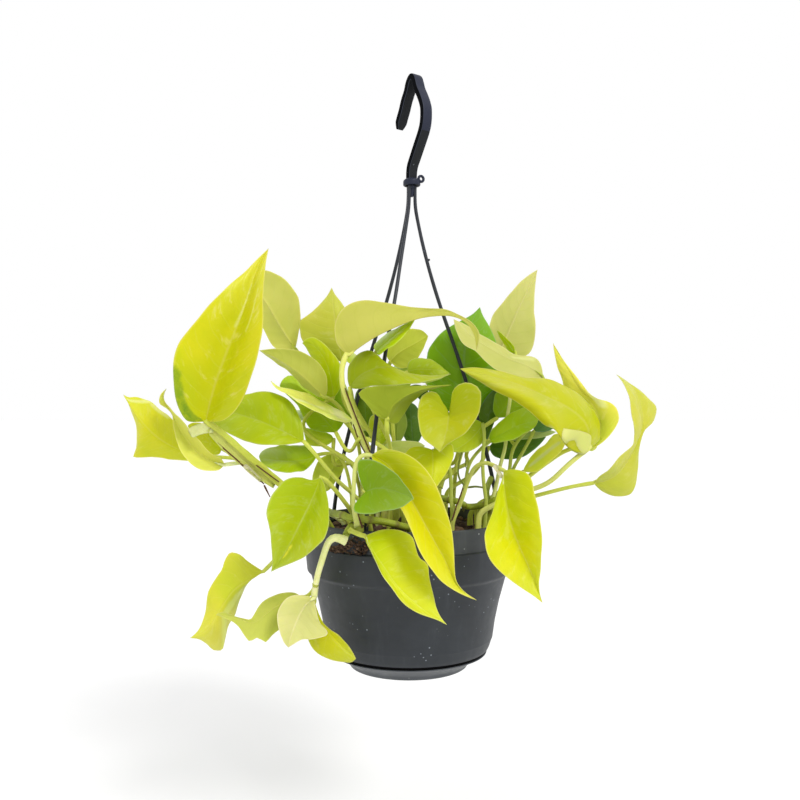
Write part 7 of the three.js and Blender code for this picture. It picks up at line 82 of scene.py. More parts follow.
('leaf_41', 'L41', 'pale', [211.5, 207.5, 137.8], [-639,-620,613,-639,-620,613,-639,-620,613,-639,-620,613,-639,-620,613,-632,-632,577,-645,-633,589,-655,-638,605,-667,-632,615,-677,-629,627,-623,-644,541,-650,-646,565,-671,-657,594,-695,-644,612,-715,-639,636,-613,-658,506,-653,-661,539,-686,-676,582,-723,-658,608,-753,-650,641,-599,-673,473,-654,-677,514,-700,-697,566,-749,-673,596,-791,-664,636,-578,-687,443,-650,-692,488,-713,-717,548,-771,-690,578,-822,-679,620,-548,-701,414,-642,-706,461,-725,-738,527,-789,-710,553,-845,-698,593,-540,-720,394,-643,-726,438,-736,-760,504,-802,-731,527,-861,-720,563,-578,-746,385,-666,-751,424,-745,-781,480,-811,-752,499,-870,-742,530,-614,-768,385,-686,-771,415,-754,-797,457,-811,-771,472,-866,-762,497,-651,-786,385,-707,-788,406,-761,-808,435,-811,-786,445,-858,-779,462,-688,-803,386,-728,-804,397,-768,-818,413,-807,-801,418,-846,-795,429,-721,-817,375,-747,-818,381,-774,-827,390,-802,-815,391,-830,-811,396,-752,-830,359,-766,-830,362,-779,-835,366,-795,-828,365,-812,-826,366,-783,-840,342,-783,-840,342,-783,-840,342,-783,-840,342,-783,-840,342], [-417,-755,1016,-435,-760,1026,-454,-766,1034,-472,-774,1043,-490,-780,1048,-506,-783,1045,-519,-781,1033,-529,-774,1016,-538,-766,998,-545,-756,980,-552,-747,962,-558,-739,943,-564,-732,924,-570,-725,905,-576,-718,886,-582,-711,867,-588,-704,848,-595,-696,829,-601,-688,810,-606,-680,791,-611,-672,772,-616,-664,753,-620,-656,734,-624,-648,715,-628,-642,695,-631,-636,675,-634,-630,655,-637,-625,634,-639,-620,613], [2.4,1.9]),
('leaf_41', 'L42', 'lime', [183.5, 186.1, 12.9], [-642,-550,571,-642,-550,571,-642,-550,571,-642,-550,571,-642,-550,571,-665,-552,529,-649,-561,536,-631,-566,541,-631,-565,541,-631,-565,541,-681,-555,486,-652,-572,500,-619,-581,512,-618,-580,512,-617,-580,512,-689,-560,441,-650,-583,464,-605,-596,484,-603,-595,484,-602,-594,484,-694,-565,396,-645,-595,427,-589,-611,455,-587,-609,456,-584,-606,456,-692,-572,351,-636,-607,391,-571,-625,427,-568,-621,430,-563,-616,432,-678,-582,307,-619,-620,355,-552,-641,400,-545,-634,405,-537,-624,410,-656,-596,271,-597,-635,325,-531,-656,374,-521,-645,383,-510,-629,391,-618,-613,244,-566,-650,298,-509,-669,349,-496,-654,361,-481,-633,373,-577,-629,224,-533,-662,276,-485,-679,325,-470,-662,339,-454,-639,352,-533,-643,210,-497,-672,257,-459,-686,301,-445,-669,316,-430,-646,329,-487,-657,202,-460,-680,241,-432,-692,280,-420,-677,293,-408,-657,306,-440,-670,198,-423,-688,230,-405,-696,260,-397,-685,271,-388,-669,281,-394,-682,199,-387,-694,221,-379,-699,244,-375,-693,249,-370,-684,255,-355,-700,229,-355,-700,229,-355,-700,229,-355,-700,229,-355,-700,229], [-624,-648,715,-632,-634,664,-640,-599,601,-641,-585,592,-642,-550,571], [1.8,1.6]),
('leaf_43', 'L43', 'green', [142.3, 172.5, 12.9], [662,76,1805,662,76,1805,662,76,1805,662,76,1805,662,76,1805,690,78,1807,680,72,1813,671,69,1820,657,72,1828,644,79,1837,717,79,1811,699,68,1823,682,61,1836,657,67,1852,633,80,1869,744,78,1816,719,62,1834,695,53,1854,663,61,1878,633,78,1904,770,75,1824,739,56,1847,710,44,1873,672,55,1905,636,76,1939,795,73,1835,761,50,1863,728,37,1892,684,49,1931,642,74,1971,819,70,1847,783,45,1878,748,31,1911,704,44,1955,661,70,2002,842,66,1863,805,40,1895,770,26,1929,728,39,1976,687,66,2025,863,60,1881,828,35,1913,794,21,1947,754,34,1994,716,60,2043,880,52,1900,848,29,1932,818,16,1964,782,28,2009,748,52,2056,896,44,1923,867,23,1951,840,11,1981,810,21,2019,781,42,2059,908,34,1948,883,16,1972,860,6,1996,837,14,2027,815,31,2059,908,21,1974,893,9,1991,878,2,2009,862,8,2033,848,21,2059,906,9,2001,899,3,2010,892,-1,2020,884,3,2035,877,10,2051,904,-4,2029,904,-4,2029,904,-4,2029,904,-4,2029,904,-4,2029], [11,-120,920,13,-135,931,15,-150,943,17,-165,955,19,-178,967,22,-190,979,24,-200,991,27,-207,1004,30,-212,1017,33,-215,1030,36,-215,1044,39,-213,1059,42,-210,1074,45,-206,1090,49,-201,1106,53,-196,1122,57,-190,1139,61,-184,1156,65,-177,1172,69,-171,1189,74,-165,1205,79,-159,1220,84,-154,1235,90,-150,1250,96,-147,1263,102,-145,1276,109,-144,1288,117,-144,1299,126,-146,1309,138,-148,1318,151,-152,1327,165,-156,1335,180,-161,1343,196,-166,1351,212,-172,1359,228,-177,1366,245,-183,1374,261,-188,1381,276,-193,1389,291,-197,1397,304,-201,1406,316,-203,1415,326,-205,1425,334,-205,1435,341,-204,1447,348,-201,1460,353,-196,1473,358,-190,1488,363,-182,1502,367,-173,1517,371,-164,1532,376,-154,1547,380,-143,1561,385,-133,1574,390,-123,1585,396,-112,1596,402,-101,1605,408,-88,1614,415,-74,1622,422,-59,1629,429,-43,1636,436,-26,1643,443,-10,1650,451,6,1656,459,22,1662,467,35,1669,475,48,1675,484,58,1682,493,66,1689,503,71,1696,513,73,1704,524,75,1712,535,75,1721,547,75,1730,559,75,1738,573,76,1748,586,76,1757,601,76,1766,616,76,1776,631,76,1786,646,76,1796,662,76,1805], [1.7,1.4]),
('leaf_44', 'L44', 'green', [153.0, 166.7, 12.9], [-219,40,1598,-219,40,1598,-219,40,1598,-219,40,1598,-219,40,1598,-198,61,1608,-209,51,1609,-221,45,1610,-232,50,1610,-244,57,1609,-179,80,1619,-201,62,1623,-223,50,1624,-244,59,1624,-265,72,1623,-165,96,1633,-195,72,1638,-225,56,1640,-252,67,1641,-280,84,1640,-155,110,1650,-190,82,1655,-226,62,1658,-258,75,1660,-290,96,1660,-147,123,1670,-186,91,1676,-227,69,1679,-262,84,1683,-299,106,1684,-141,133,1692,-183,99,1698,-227,75,1702,-265,91,1707,-303,115,1709,-138,140,1714,-182,105,1721,-227,80,1726,-264,96,1731,-303,120,1734,-140,143,1735,-182,109,1744,-225,85,1750,-262,101,1757,-300,125,1762,-143,143,1758,-182,111,1766,-222,89,1772,-258,105,1780,-295,129,1787,-148,139,1780,-182,112,1787,-217,93,1792,-252,108,1799,-288,131,1806,-155,134,1800,-183,111,1805,-212,95,1809,-244,109,1815,-276,129,1820,-165,126,1818,-186,109,1821,-207,97,1824,-231,107,1829,-255,123,1833,-180,114,1835,-191,105,1836,-203,99,1838,-215,104,1841,-229,113,1844,-198,100,1850,-198,100,1850,-198,100,1850,-198,100,1850,-198,100,1850], [-99,18,920,-99,18,943,-99,18,966,-99,18,989,-99,18,1011,-99,18,1032,-99,18,1054,-99,18,1075,-99,18,1095,-99,18,1115,-99,18,1135,-99,18,1154,-99,18,1173,-99,18,1192,-99,18,1210,-101,18,1228,-107,18,1245,-118,17,1261,-133,16,1276,-151,15,1292,-169,14,1307,-185,13,1322,-199,12,1338,-207,12,1355,-211,12,1372,-213,13,1391,-214,14,1409,-215,15,1428,-216,17,1448,-217,19,1468,-218,22,1489,-218,25,1510,-219,28,1531,-219,32,1553,-219,36,1575,-219,40,1598], [1.7,1.4]),
('shoot_back_left', 'b1', 'lime', [140, 165, 45], [-550,517,1822,-550,517,1822,-550,517,1822,-550,517,1822,-550,517,1822,-507,572,1817,-535,545,1821,-566,517,1826,-535,490,1820,-507,462,1816,-499,636,1805,-537,577,1817,-582,517,1831,-538,458,1815,-500,398,1802,-530,698,1787,-559,608,1812,-598,517,1835,-560,427,1810,-531,337,1783,-591,746,1777,-599,632,1819,-614,517,1839,-600,403,1817,-594,289,1772,-668,781,1786,-660,649,1830,-657,517,1847,-661,386,1827,-670,255,1780,-748,797,1793,-745,657,1840,-744,518,1859,-747,379,1837,-751,240,1786,-829,798,1794,-832,658,1842,-833,518,1861,-833,379,1839,-832,239,1788,-907,779,1793,-914,648,1836,-917,519,1854,-915,389,1833,-909,260,1787,-977,747,1787,-987,633,1825,-992,519,1840,-988,406,1822,-980,292,1782,-1044,708,1778,-1055,614,1808,-1060,520,1820,-1056,426,1806,-1046,332,1774,-1107,664,1765,-1117,592,1788,-1122,520,1797,-1118,448,1786,-1108,377,1762,-1167,617,1750,-1175,569,1764,-1179,521,1770,-1176,473,1763,-1168,425,1747,-1226,569,1730,-1231,545,1737,-1233,521,1740,-1231,498,1736,-1227,474,1729,-1289,522,1703,-1289,522,1703,-1289,522,1703,-1289,522,1703,-1289,522,1703], [-337,430,920,-338,426,942,-338,423,963,-339,420,985,-340,417,1006,-340,415,1027,-341,413,1048,-342,411,1069,-343,410,1090,-344,409,1111,-346,408,1132,-347,407,1152,-348,406,1173,-349,406,1193,-351,405,1214,-352,405,1234,-354,405,1254,-355,405,1274,-357,405,1294,-358,405,1314,-360,406,1333,-362,409,1353,-363,415,1373,-365,422,1392,-367,432,1411,-369,443,1431,-371,454,1450,-373,466,1469,-376,478,1487,-379,489,1506,-382,499,1525,-385,507,1543,-388,512,1562,-392,515,1580,-397,517,1598,-403,517,1616,-410,517,1634,-418,517,1651,-428,517,1669,-438,517,1686,-450,517,1704,-462,517,1721,-475,517,1738,-489,517,1755,-504,517,1772,-519,517,1789,-535,517,1805,-550,517,1822], [1.8,1.5]),
('shoot_back_left', 'b2', 'limegreen', None, [-253,691,2140,-253,691,2140,-253,691,2140,-253,691,2140,-253,691,2140,-202,732,2100,-232,713,2126,-264,695,2153,-245,660,2131,-229,625,2110,-185,792,2078,-228,745,2121,-276,699,2166,-257,629,2132,-242,560,2100,-205,862,2078,-242,781,2129,-288,703,2178,-286,606,2146,-292,510,2112,-253,926,2107,-268,816,2157,-299,707,2191,-322,593,2179,-363,481,2150,-308,981,2159,-312,849,2202,-333,719,2225,-375,592,2227,-434,468,2209,-374,1018,2216,-380,879,2264,-404,743,2289,-447,608,2290,-508,476,2269,-448,1044,2273,-456,905,2323,-481,767,2349,-523,632,2349,-582,499,2326,-524,1047,2328,-534,919,2376,-558,792,2400,-597,666,2400,-649,541,2377,-599,1036,2377,-610,925,2420,-631,814,2442,-664,703,2441,-708,593,2420,-673,1018,2421,-683,926,2457,-701,834,2476,-728,743,2475,-763,651,2457,-745,993,2461,-754,923,2489,-768,853,2504,-788,783,2503,-814,713,2489,-816,965,2498,-823,918,2517,-832,871,2526,-846,824,2526,-862,777,2516,-887,934,2531,-891,912,2540,-896,889,2545,-902,866,2545,-910,843,2540,-964,907,2562,-964,907,2562,-964,907,2562,-964,907,2562,-964,907,2562], [-348,406,1173,-345,428,1184,-341,448,1195,-338,463,1207,-336,472,1220,-335,474,1235,-333,473,1251,-333,470,1268,-332,466,1286,-331,462,1305,-330,457,1325,-330,451,1346,-329,444,1367,-329,438,1389,-329,431,1411,-328,425,1433,-328,418,1455,-327,412,1477,-327,406,1499,-326,401,1521,-326,396,1543,-325,393,1564,-324,390,1584,-323,389,1603,-322,389,1622,-320,391,1640,-318,395,1658,-315,401,1675,-312,410,1692,-308,420,1709,-304,431,1725,-299,444,1742,-294,458,1758,-289,473,1774,-284,489,1790,-279,505,1805,-274,521,1821,-268,538,1837,-263,555,1853,-258,571,1869,-253,587,1885,-249,603,1901,-244,618,1917,-241,631,1934,-237,644,1950,-234,655,1968,-232,664,1985,-230,672,2003,-229,677,2021,-230,681,2039,-232,684,2058,-235,687,2078,-241,689,2099,-246,690,2119,-253,691,2140], [1.8,1.5]),
('shoot_back_mid', 'b3', 'lime', None, [-171,558,1833,-171,558,1833,-171,558,1833,-171,558,1833,-171,558,1833,-135,496,1846,-152,532,1843,-169,571,1841,-197,557,1813,-224,546,1786,-78,462,1869,-123,520,1858,-167,584,1850,-220,574,1793,-271,571,1739,-10,461,1898,-90,524,1878,-165,597,1857,-236,607,1780,-302,626,1701,51,493,1936,-64,547,1909,-163,610,1865,-249,651,1785,-318,702,1687,95,541,1985,-40,590,1946,-156,646,1885,-252,710,1803,-330,782,1698,126,603,2023,-16,658,1984,-139,719,1921,-241,785,1832,-324,857,1720,148,671,2051,7,731,2013,-116,794,1950,-219,859,1860,-304,927,1746,154,746,2062,25,806,2028,-89,866,1971,-185,925,1887,-266,983,1780,150,821,2063,38,877,2034,-61,931,1983,-146,981,1910,-218,1029,1815,141,896,2055,50,945,2031,-31,990,1990,-102,1031,1929,-163,1068,1850,129,971,2041,61,1010,2023,-1,1045,1991,-56,1076,1944,-103,1103,1884,116,1045,2022,70,1072,2010,29,1096,1988,-7,1116,1957,-40,1133,1917,103,1119,1999,81,1133,1993,61,1145,1982,43,1155,1967,27,1163,1948,96,1196,1972,96,1196,1972,96,1196,1972,96,1196,1972,96,1196,1972], [-89,328,920,-90,327,942,-91,326,964,-92,325,986,-93,325,1008,-95,324,1029,-96,323,1051,-98,323,1072,-100,322,1093,-102,322,1114,-103,322,1135,-105,321,1155,-108,321,1176,-110,321,1196,-112,321,1216,-114,321,1236,-117,321,1255,-119,321,1275,-121,321,1294,-124,321,1314,-127,322,1333,-130,324,1351,-133,328,1370,-137,335,1388,-142,343,1406,-147,353,1423,-152,364,1441,-156,377,1458,-161,390,1475,-166,403,1492,-170,416,1510,-173,429,1527,-176,442,1545,-178,453,1563,-179,463,1581,-180,472,1599,-180,480,1618,-180,488,1637,-179,496,1656,-179,503,1675,-179,511,1695,-178,518,1714,-178,525,1733,-177,532,1753,-176,539,1773,-174,545,1793,-172,551,1813,-171,558,1833], [1.8,1.5]),
('shoot_back_mid', 'b15', 'limegreen', None, [127,693,2131,127,693,2131,127,693,2131,127,693,2131,127,693,2131,165,708,2103,144,702,2122,122,697,2141,122,673,2123,120,651,2106,191,741,2090,156,720,2120,118,701,2150,107,658,2124,94,616,2098,200,787,2097,159,744,2129,113,706,2159,86,649,2135,53,597,2109,194,833,2125,156,768,2151,108,710,2168,63,648,2158,8,593,2139,180,875,2165,143,794,2184,94,722,2192,36,656,2193,-33,598,2182,157,908,2210,116,824,2231,64,748,2240,4,678,2240,-69,616,2228,126,936,2256,84,852,2278,32,776,2287,-29,705,2287,-101,642,2273,87,952,2300,48,874,2321,-1,804,2330,-57,738,2329,-124,679,2316,45,960,2339,10,892,2359,-33,830,2367,-82,772,2366,-139,720,2353,2,962,2375,-28,907,2392,-63,856,2399,-104,808,2398,-151,764,2387,-42,961,2409,-65,919,2422,-93,880,2427,-124,843,2426,-159,810,2417,-87,957,2439,-102,929,2448,-121,903,2452,-142,879,2451,-165,856,2445,-132,952,2468,-140,939,2473,-149,926,2474,-159,914,2474,-170,903,2471,-179,951,2497,-179,951,2497,-179,951,2497,-179,951,2497,-179,951,2497], [-124,321,1314,-115,326,1328,-106,331,1342,-98,335,1357,-91,340,1371,-84,345,1386,-79,349,1401,-75,353,1416,-72,357,1431,-71,361,1446,-70,365,1462,-71,369,1479,-73,372,1496,-75,375,1514,-77,378,1531,-80,381,1549,-82,384,1566,-85,387,1582,-87,391,1597,-88,395,1611,-88,399,1623,-86,405,1634,-81,413,1643,-73,421,1651,-61,431,1659,-48,442,1666,-34,453,1673,-20,463,1680,-7,473,1688,5,481,1696,14,488,1706,23,494,1718,30,500,1731,36,505,1745,43,510,1760,49,514,1775,55,519,1791,61,523,1807,67,527,1822,74,532,1837,81,537,1850,90,541,1863,101,547,1874,113,552,1885,128,557,1894,143,563,1903,158,568,1912,171,574,1922,181,580,1931,188,586,1941,191,593,1952,192,599,1963,191,606,1975,190,613,1988,189,620,2000,187,628,2013,184,635,2027,180,643,2041,175,651,2055,168,659,2069,160,667,2084,151,676,2100,139,684,2116,127,693,2131], [1.8,1.5]),
('shoot_back_centre', 'b4', 'green', None, [-144,413,1939,-144,413,1939,-144,413,1939,-144,413,1939,-144,413,1939,-134,381,1904,-138,397,1926,-141,413,1950,-156,426,1929,-170,439,1908,-109,350,1891,-125,381,1925,-139,414,1961,-165,444,1930,-188,476,1901,-74,325,1904,-108,368,1938,-136,415,1971,-168,464,1945,-194,517,1919,-39,309,1941,-93,358,1963,-134,415,1982,-168,479,1973,-190,551,1961,-11,297,1991,-75,353,2004,-126,418,2012,-162,492,2015,-184,575,2014,13,296,2047,-55,356,2062,-108,424,2071,-147,503,2074,-171,591,2071,34,303,2105,-34,363,2121,-87,433,2130,-126,512,2133,-151,600,2128,47,322,2161,-15,378,2177,-65,442,2186,-101,515,2188,-125,597,2183,55,347,2212,1,396,2227,-42,452,2236,-74,516,2237,-95,588,2231,60,375,2259,16,416,2273,-20,463,2280,-46,516,2281,-64,575,2275,64,407,2304,30,438,2315,3,474,2320,-18,514,2321,-31,559,2316,65,440,2346,43,461,2353,25,485,2357,11,512,2357,2,542,2354,67,474,2386,56,484,2390,48,496,2392,41,509,2392,36,524,2390,73,509,2427,73,509,2427,73,509,2427,73,509,2427,73,509,2427], [-299,208,920,-305,196,943,-310,185,965,-315,176,987,-319,167,1009,-323,159,1031,-327,152,1053,-330,145,1074,-333,140,1095,-335,135,1116,-337,130,1136,-339,127,1156,-341,123,1176,-343,121,1196,-344,119,1215,-345,117,1234,-346,116,1253,-346,115,1272,-347,114,1290,-347,113,1308,-347,113,1325,-347,113,1343,-348,113,1360,-347,113,1376,-347,116,1392,-346,120,1408,-344,128,1423,-341,139,1438,-338,152,1452,-333,167,1466,-329,183,1479,-324,202,1493,-318,221,1506,-312,241,1519,-306,261,1532,-299,281,1545,-293,300,1558,-286,320,1571,-279,337,1584,-272,354,1598,-265,369,1612,-258,381,1626,-251,392,1641,-245,399,1656,-238,404,1672,-232,406,1688,-226,407,1705,-220,408,1723,-213,409,1741,-207,409,1759,-200,410,1778,-194,411,1797,-187,411,1816,-180,412,1836,-173,412,1856,-166,412,1876,-158,412,1897,-151,413,1918,-144,413,1939], [1.8,1.5]),
('shoot_back_centre', 'b9', 'limegreen', None, [-80,660,1500,-80,660,1500,-80,660,1500,-80,660,1500,-80,660,1500,-24,620,1512,-52,647,1505,-81,677,1499,-106,643,1505,-131,614,1512,39,613,1505,-21,649,1501,-82,693,1498,-137,642,1501,-192,599,1505,97,640,1479,7,671,1490,-83,709,1496,-168,660,1490,-254,618,1479,141,699,1451,28,713,1484,-84,725,1495,-194,699,1484,-304,672,1451,169,777,1435,41,775,1474,-87,770,1488,-214,760,1474,-341,746,1435,179,858,1414,43,861,1455,-92,856,1470,-227,844,1455,-361,825,1414,176,936,1388,39,944,1428,-97,941,1442,-233,927,1428,-367,904,1388,152,1009,1360,25,1019,1395,-102,1018,1407,-227,1004,1395,-352,978,1360,117,1072,1329,5,1084,1359,-106,1084,1369,-216,1071,1359,-325,1045,1329,75,1129,1297,-18,1141,1320,-109,1142,1328,-200,1130,1320,-290,1107,1297,29,1181,1262,-42,1192,1279,-112,1193,1284,-182,1184,1279,-251,1164,1262,-21,1229,1226,-68,1237,1236,-115,1238,1240,-162,1231,1236,-208,1218,1226,-71,1274,1187,-95,1279,1192,-118,1279,1193,-140,1276,1192,-163,1269,1187,-120,1320,1140,-120,1320,1140,-120,1320,1140,-120,1320,1140,-120,1320,1140], [-345,117,1234,-335,131,1249,-326,145,1263,-316,160,1277,-308,175,1287,-299,190,1294,-291,207,1297,-282,225,1299,-274,245,1299,-266,267,1299,-257,290,1300,-249,314,1300,-241,339,1300,-233,364,1300,-224,390,1300,-216,416,1300,-209,442,1301,-201,468,1301,-193,493,1301,-186,518,1301,-179,542,1301,-172,564,1301,-165,585,1301,-159,605,1301,-153,622,1301,-148,637,1302,-143,650,1302,-138,661,1302,-134,669,1303,-130,673,1303,-127,672,1306,-124,665,1312,-122,650,1324,-120,632,1340,-118,615,1359,-115,603,1377,-112,599,1395,-108,600,1412,-104,605,1429,-98,614,1446,-93,626,1464,-87,642,1482,-80,660,1500], [1.8,1.5]),
('shoot_back_right', 'b5', 'green', None, [360,639,1770,360,639,1770,360,639,1770,360,639,1770,360,639,1770,412,583,1759,387,618,1765,363,658,1773,332,623,1780,302,592,1789,473,567,1732,418,618,1752,365,676,1775,299,628,1785,234,587,1797,532,594,1694,449,639,1736,367,695,1777,268,655,1786,169,624,1792,581,660,1664,478,684,1733,369,713,1779,249,704,1795,123,699,1788,623,746,1655,502,754,1732,374,765,1783,239,777,1804,96,791,1798,646,840,1647,518,853,1729,383,866,1782,239,877,1805,88,888,1799,653,935,1636,525,953,1718,389,968,1772,244,977,1795,92,983,1789,636,1027,1627,518,1048,1702,392,1063,1752,257,1070,1773,116,1071,1769,606,1111,1618,502,1133,1682,392,1147,1725,274,1152,1744,150,1149,1742,567,1189,1606,481,1210,1659,389,1222,1694,292,1226,1710,190,1221,1709,521,1263,1593,456,1280,1632,386,1290,1659,311,1293,1671,233,1287,1671,472,1332,1577,427,1345,1603,381,1352,1621,331,1353,1629,279,1349,1630,419,1400,1559,397,1407,1571,374,1410,1579,350,1411,1584,325,1408,1584,366,1470,1531,366,1470,1531,366,1470,1531,366,1470,1531,366,1470,1531], [162,287,920,162,287,944,162,287,968,162,287,991,162,287,1014,162,287,1037,162,287,1059,162,287,1081,162,287,1103,162,287,1124,162,287,1144,162,287,1164,162,287,1184,162,287,1203,162,287,1222,162,287,1240,162,287,1257,162,287,1274,162,288,1291,163,289,1307,166,291,1322,171,296,1336,178,303,1350,187,312,1363,197,322,1375,209,335,1387,222,348,1399,236,363,1411,250,379,1422,265,395,1434,279,411,1445,292,428,1457,305,444,1469,317,460,1481,327,476,1494,335,490,1507,341,503,1521,345,515,1536,348,526,1551,350,537,1567,351,547,1583,353,557,1600,354,567,1617,356,577,1635,357,586,1653,358,595,1672,359,604,1691,359,613,1710,360,622,1730,360,630,1750,360,639,1770], [1.8,1.5]),
('shoot_back_right', 'b6', 'lime', None, [300,460,1920,300,460,1920,300,460,1920,300,460,1920,300,460,1920,328,402,1894,315,434,1912,304,467,1931,274,470,1906,245,474,1881,379,361,1887,342,416,1915,309,474,1943,252,494,1901,199,517,1860,445,344,1900,376,409,1928,314,482,1954,239,527,1908,171,580,1860,509,350,1936,407,413,1958,318,489,1965,234,563,1932,163,650,1885,562,368,1988,440,432,2000,332,510,1995,240,604,1970,164,712,1929,603,401,2042,475,470,2057,361,553,2052,264,652,2025,182,765,1979,636,445,2093,508,516,2110,394,601,2106,296,699,2079,212,811,2030,651,501,2139,533,570,2157,428,649,2154,336,740,2128,257,841,2081,655,563,2179,553,624,2196,461,694,2194,381,773,2170,310,860,2128,652,627,2214,569,679,2229,494,737,2227,427,802,2208,367,873,2171,646,693,2244,583,734,2256,525,779,2255,474,828,2240,428,882,2212,636,761,2272,594,788,2280,556,819,2279,521,851,2269,490,887,2250,625,829,2296,605,843,2301,586,858,2300,569,874,2295,554,891,2286,620,900,2320,620,900,2320,620,900,2320,620,900,2320,620,900,2320], [162,287,1274,162,302,1290,163,316,1306,163,330,1321,165,345,1335,170,360,1349,179,377,1361,190,394,1374,202,410,1386,213,422,1399,220,430,1413,223,433,1428,224,432,1444,223,430,1463,223,426,1482,222,422,1502,221,417,1523,220,412,1545,219,407,1567,218,402,1589,218,397,1611,217,393,1633,216,390,1654,216,389,1675,217,388,1695,218,389,1715,220,391,1734,224,394,1753,230,398,1772,236,403,1791,243,409,1810,251,416,1829,260,423,1847,270,431,1866,279,440,1884,290,450,1902,300,460,1920], [1.8,1.5]),
('shoot_right', 'b7', 'limegreen', None, [484,542,1956,484,542,1956,484,542,1956,484,542,1956,484,542,1956,479,478,1937,486,512,1949,495,547,1963,459,560,1953,426,573,1945,507,421,1918,504,486,1943,507,553,1971,447,590,1952,393,629,1936,564,384,1902,537,469,1940,518,559,1977,450,626,1954,390,699,1929,636,369,1902,578,463,1953,530,564,1984,468,662,1971,416,768,1936,709,368,1922,631,471,1974,562,581,2001,505,700,1994,456,827,1962,777,386,1943,698,497,2000,626,614,2029,564,739,2021,509,871,1985,839,417,1961,764,530,2020,693,649,2050,629,774,2041,569,905,2004,887,465,1979,822,573,2034,759,684,2062,697,799,2054,638,918,2018,926,522,1993,872,618,2041,818,716,2066,763,817,2059,707,919,2027,958,584,2003,917,665,2044,873,747,2064,826,829,2058,777,912,2032,987,650,2011,957,713,2042,924,775,2057,887,838,2053,848,901,2033,1012,718,2016,993,760,2036,972,803,2047,947,844,2043,920,886,2031,1037,787,2018,1028,808,2027,1018,829,2032,1005,850,2031,991,869,2025,1066,858,2013,1066,858,2013,1066,858,2013,1066,858,2013,1066,858,2013], [225,59,920,225,55,944,225,51,968,226,47,992,226,43,1016,226,40,1039,226,37,1062,227,35,1085,227,33,1108,227,31,1130,228,29,1151,228,28,1173,229,27,1193,229,26,1214,230,25,1234,230,24,1253,231,24,1272,232,23,1290,233,23,1308,233,23,1325,234,23,1342,235,23,1358,236,23,1373,237,23,1388,238,26,1402,241,30,1415,244,37,1428,248,46,1440,252,57,1452,257,70,1463,263,85,1474,270,101,1484,276,119,1494,284,138,1504,291,158,1514,299,179,1523,308,201,1532,316,223,1542,325,245,1551,334,268,1560,342,290,1569,351,313,1579,360,334,1588,369,356,1598,377,376,1608,386,396,1618,394,415,1629,401,432,1640,409,448,1652,416,462,1664,422,474,1676,428,485,1689,434,493,1703,439,500,1718,443,505,1733,448,510,1750,452,515,1768,456,520,1786,460,524,1806,464,528,1826,468,532,1847,471,535,1868,475,538,1890,478,540,1912,481,541,1934,484,542,1956], [1.8,1.5]),
('shoot_right', 'b8', 'lime', None, [520,402,1622,520,402,1622,520,402,1622,520,402,1622,520,402,1622,461,372,1602,497,385,1615,534,397,1634,513,431,1618,494,465,1607,439,319,1586,491,357,1611,548,391,1645,526,457,1616,508,521,1597,457,255,1578,506,322,1613,563,386,1656,559,475,1621,562,561,1593,507,191,1591,536,288,1638,577,380,1667,603,481,1647,641,578,1611,570,135,1633,587,252,1674,617,365,1694,664,474,1685,724,580,1656,644,93,1673,666,215,1719,700,334,1741,748,450,1731,807,563,1697,724,62,1706,752,183,1754,787,302,1778,834,419,1766,888,535,1730,808,50,1733,839,161,1778,874,271,1801,915,380,1790,961,489,1755,891,51,1751,921,147,1792,953,243,1811,988,339,1801,1024,436,1771,973,60,1763,1001,138,1797,1028,217,1813,1056,297,1805,1083,378,1779,1054,73,1769,1077,132,1794,1099,192,1807,1119,254,1801,1138,317,1781,1134,91,1770,1151,130,1787,1166,170,1795,1179,211,1791,1190,254,1778,1215,110,1766,1224,129,1774,1231,148,1778,1237,168,1776,1242,189,1770,1301,125,1754,1301,125,1754,1301,125,1754,1301,125,1754,1301,125,1754], [232,23,1290,238,31,1311,245,39,1331,252,47,1350,260,57,1366,269,67,1380,279,77,1390,291,89,1399,306,102,1406,321,115,1412,338,129,1418,356,143,1424,374,159,1428,391,174,1433,408,191,1437,423,207,1442,437,224,1446,448,241,1451,456,259,1456,460,276,1461,462,296,1467,462,318,1472,460,342,1478,458,367,1484,456,390,1490,455,409,1497,454,421,1505,455,426,1515,459,427,1527,466,426,1542,477,423,1560,490,418,1579,505,411,1600,520,402,1622], [1.8,1.5]),
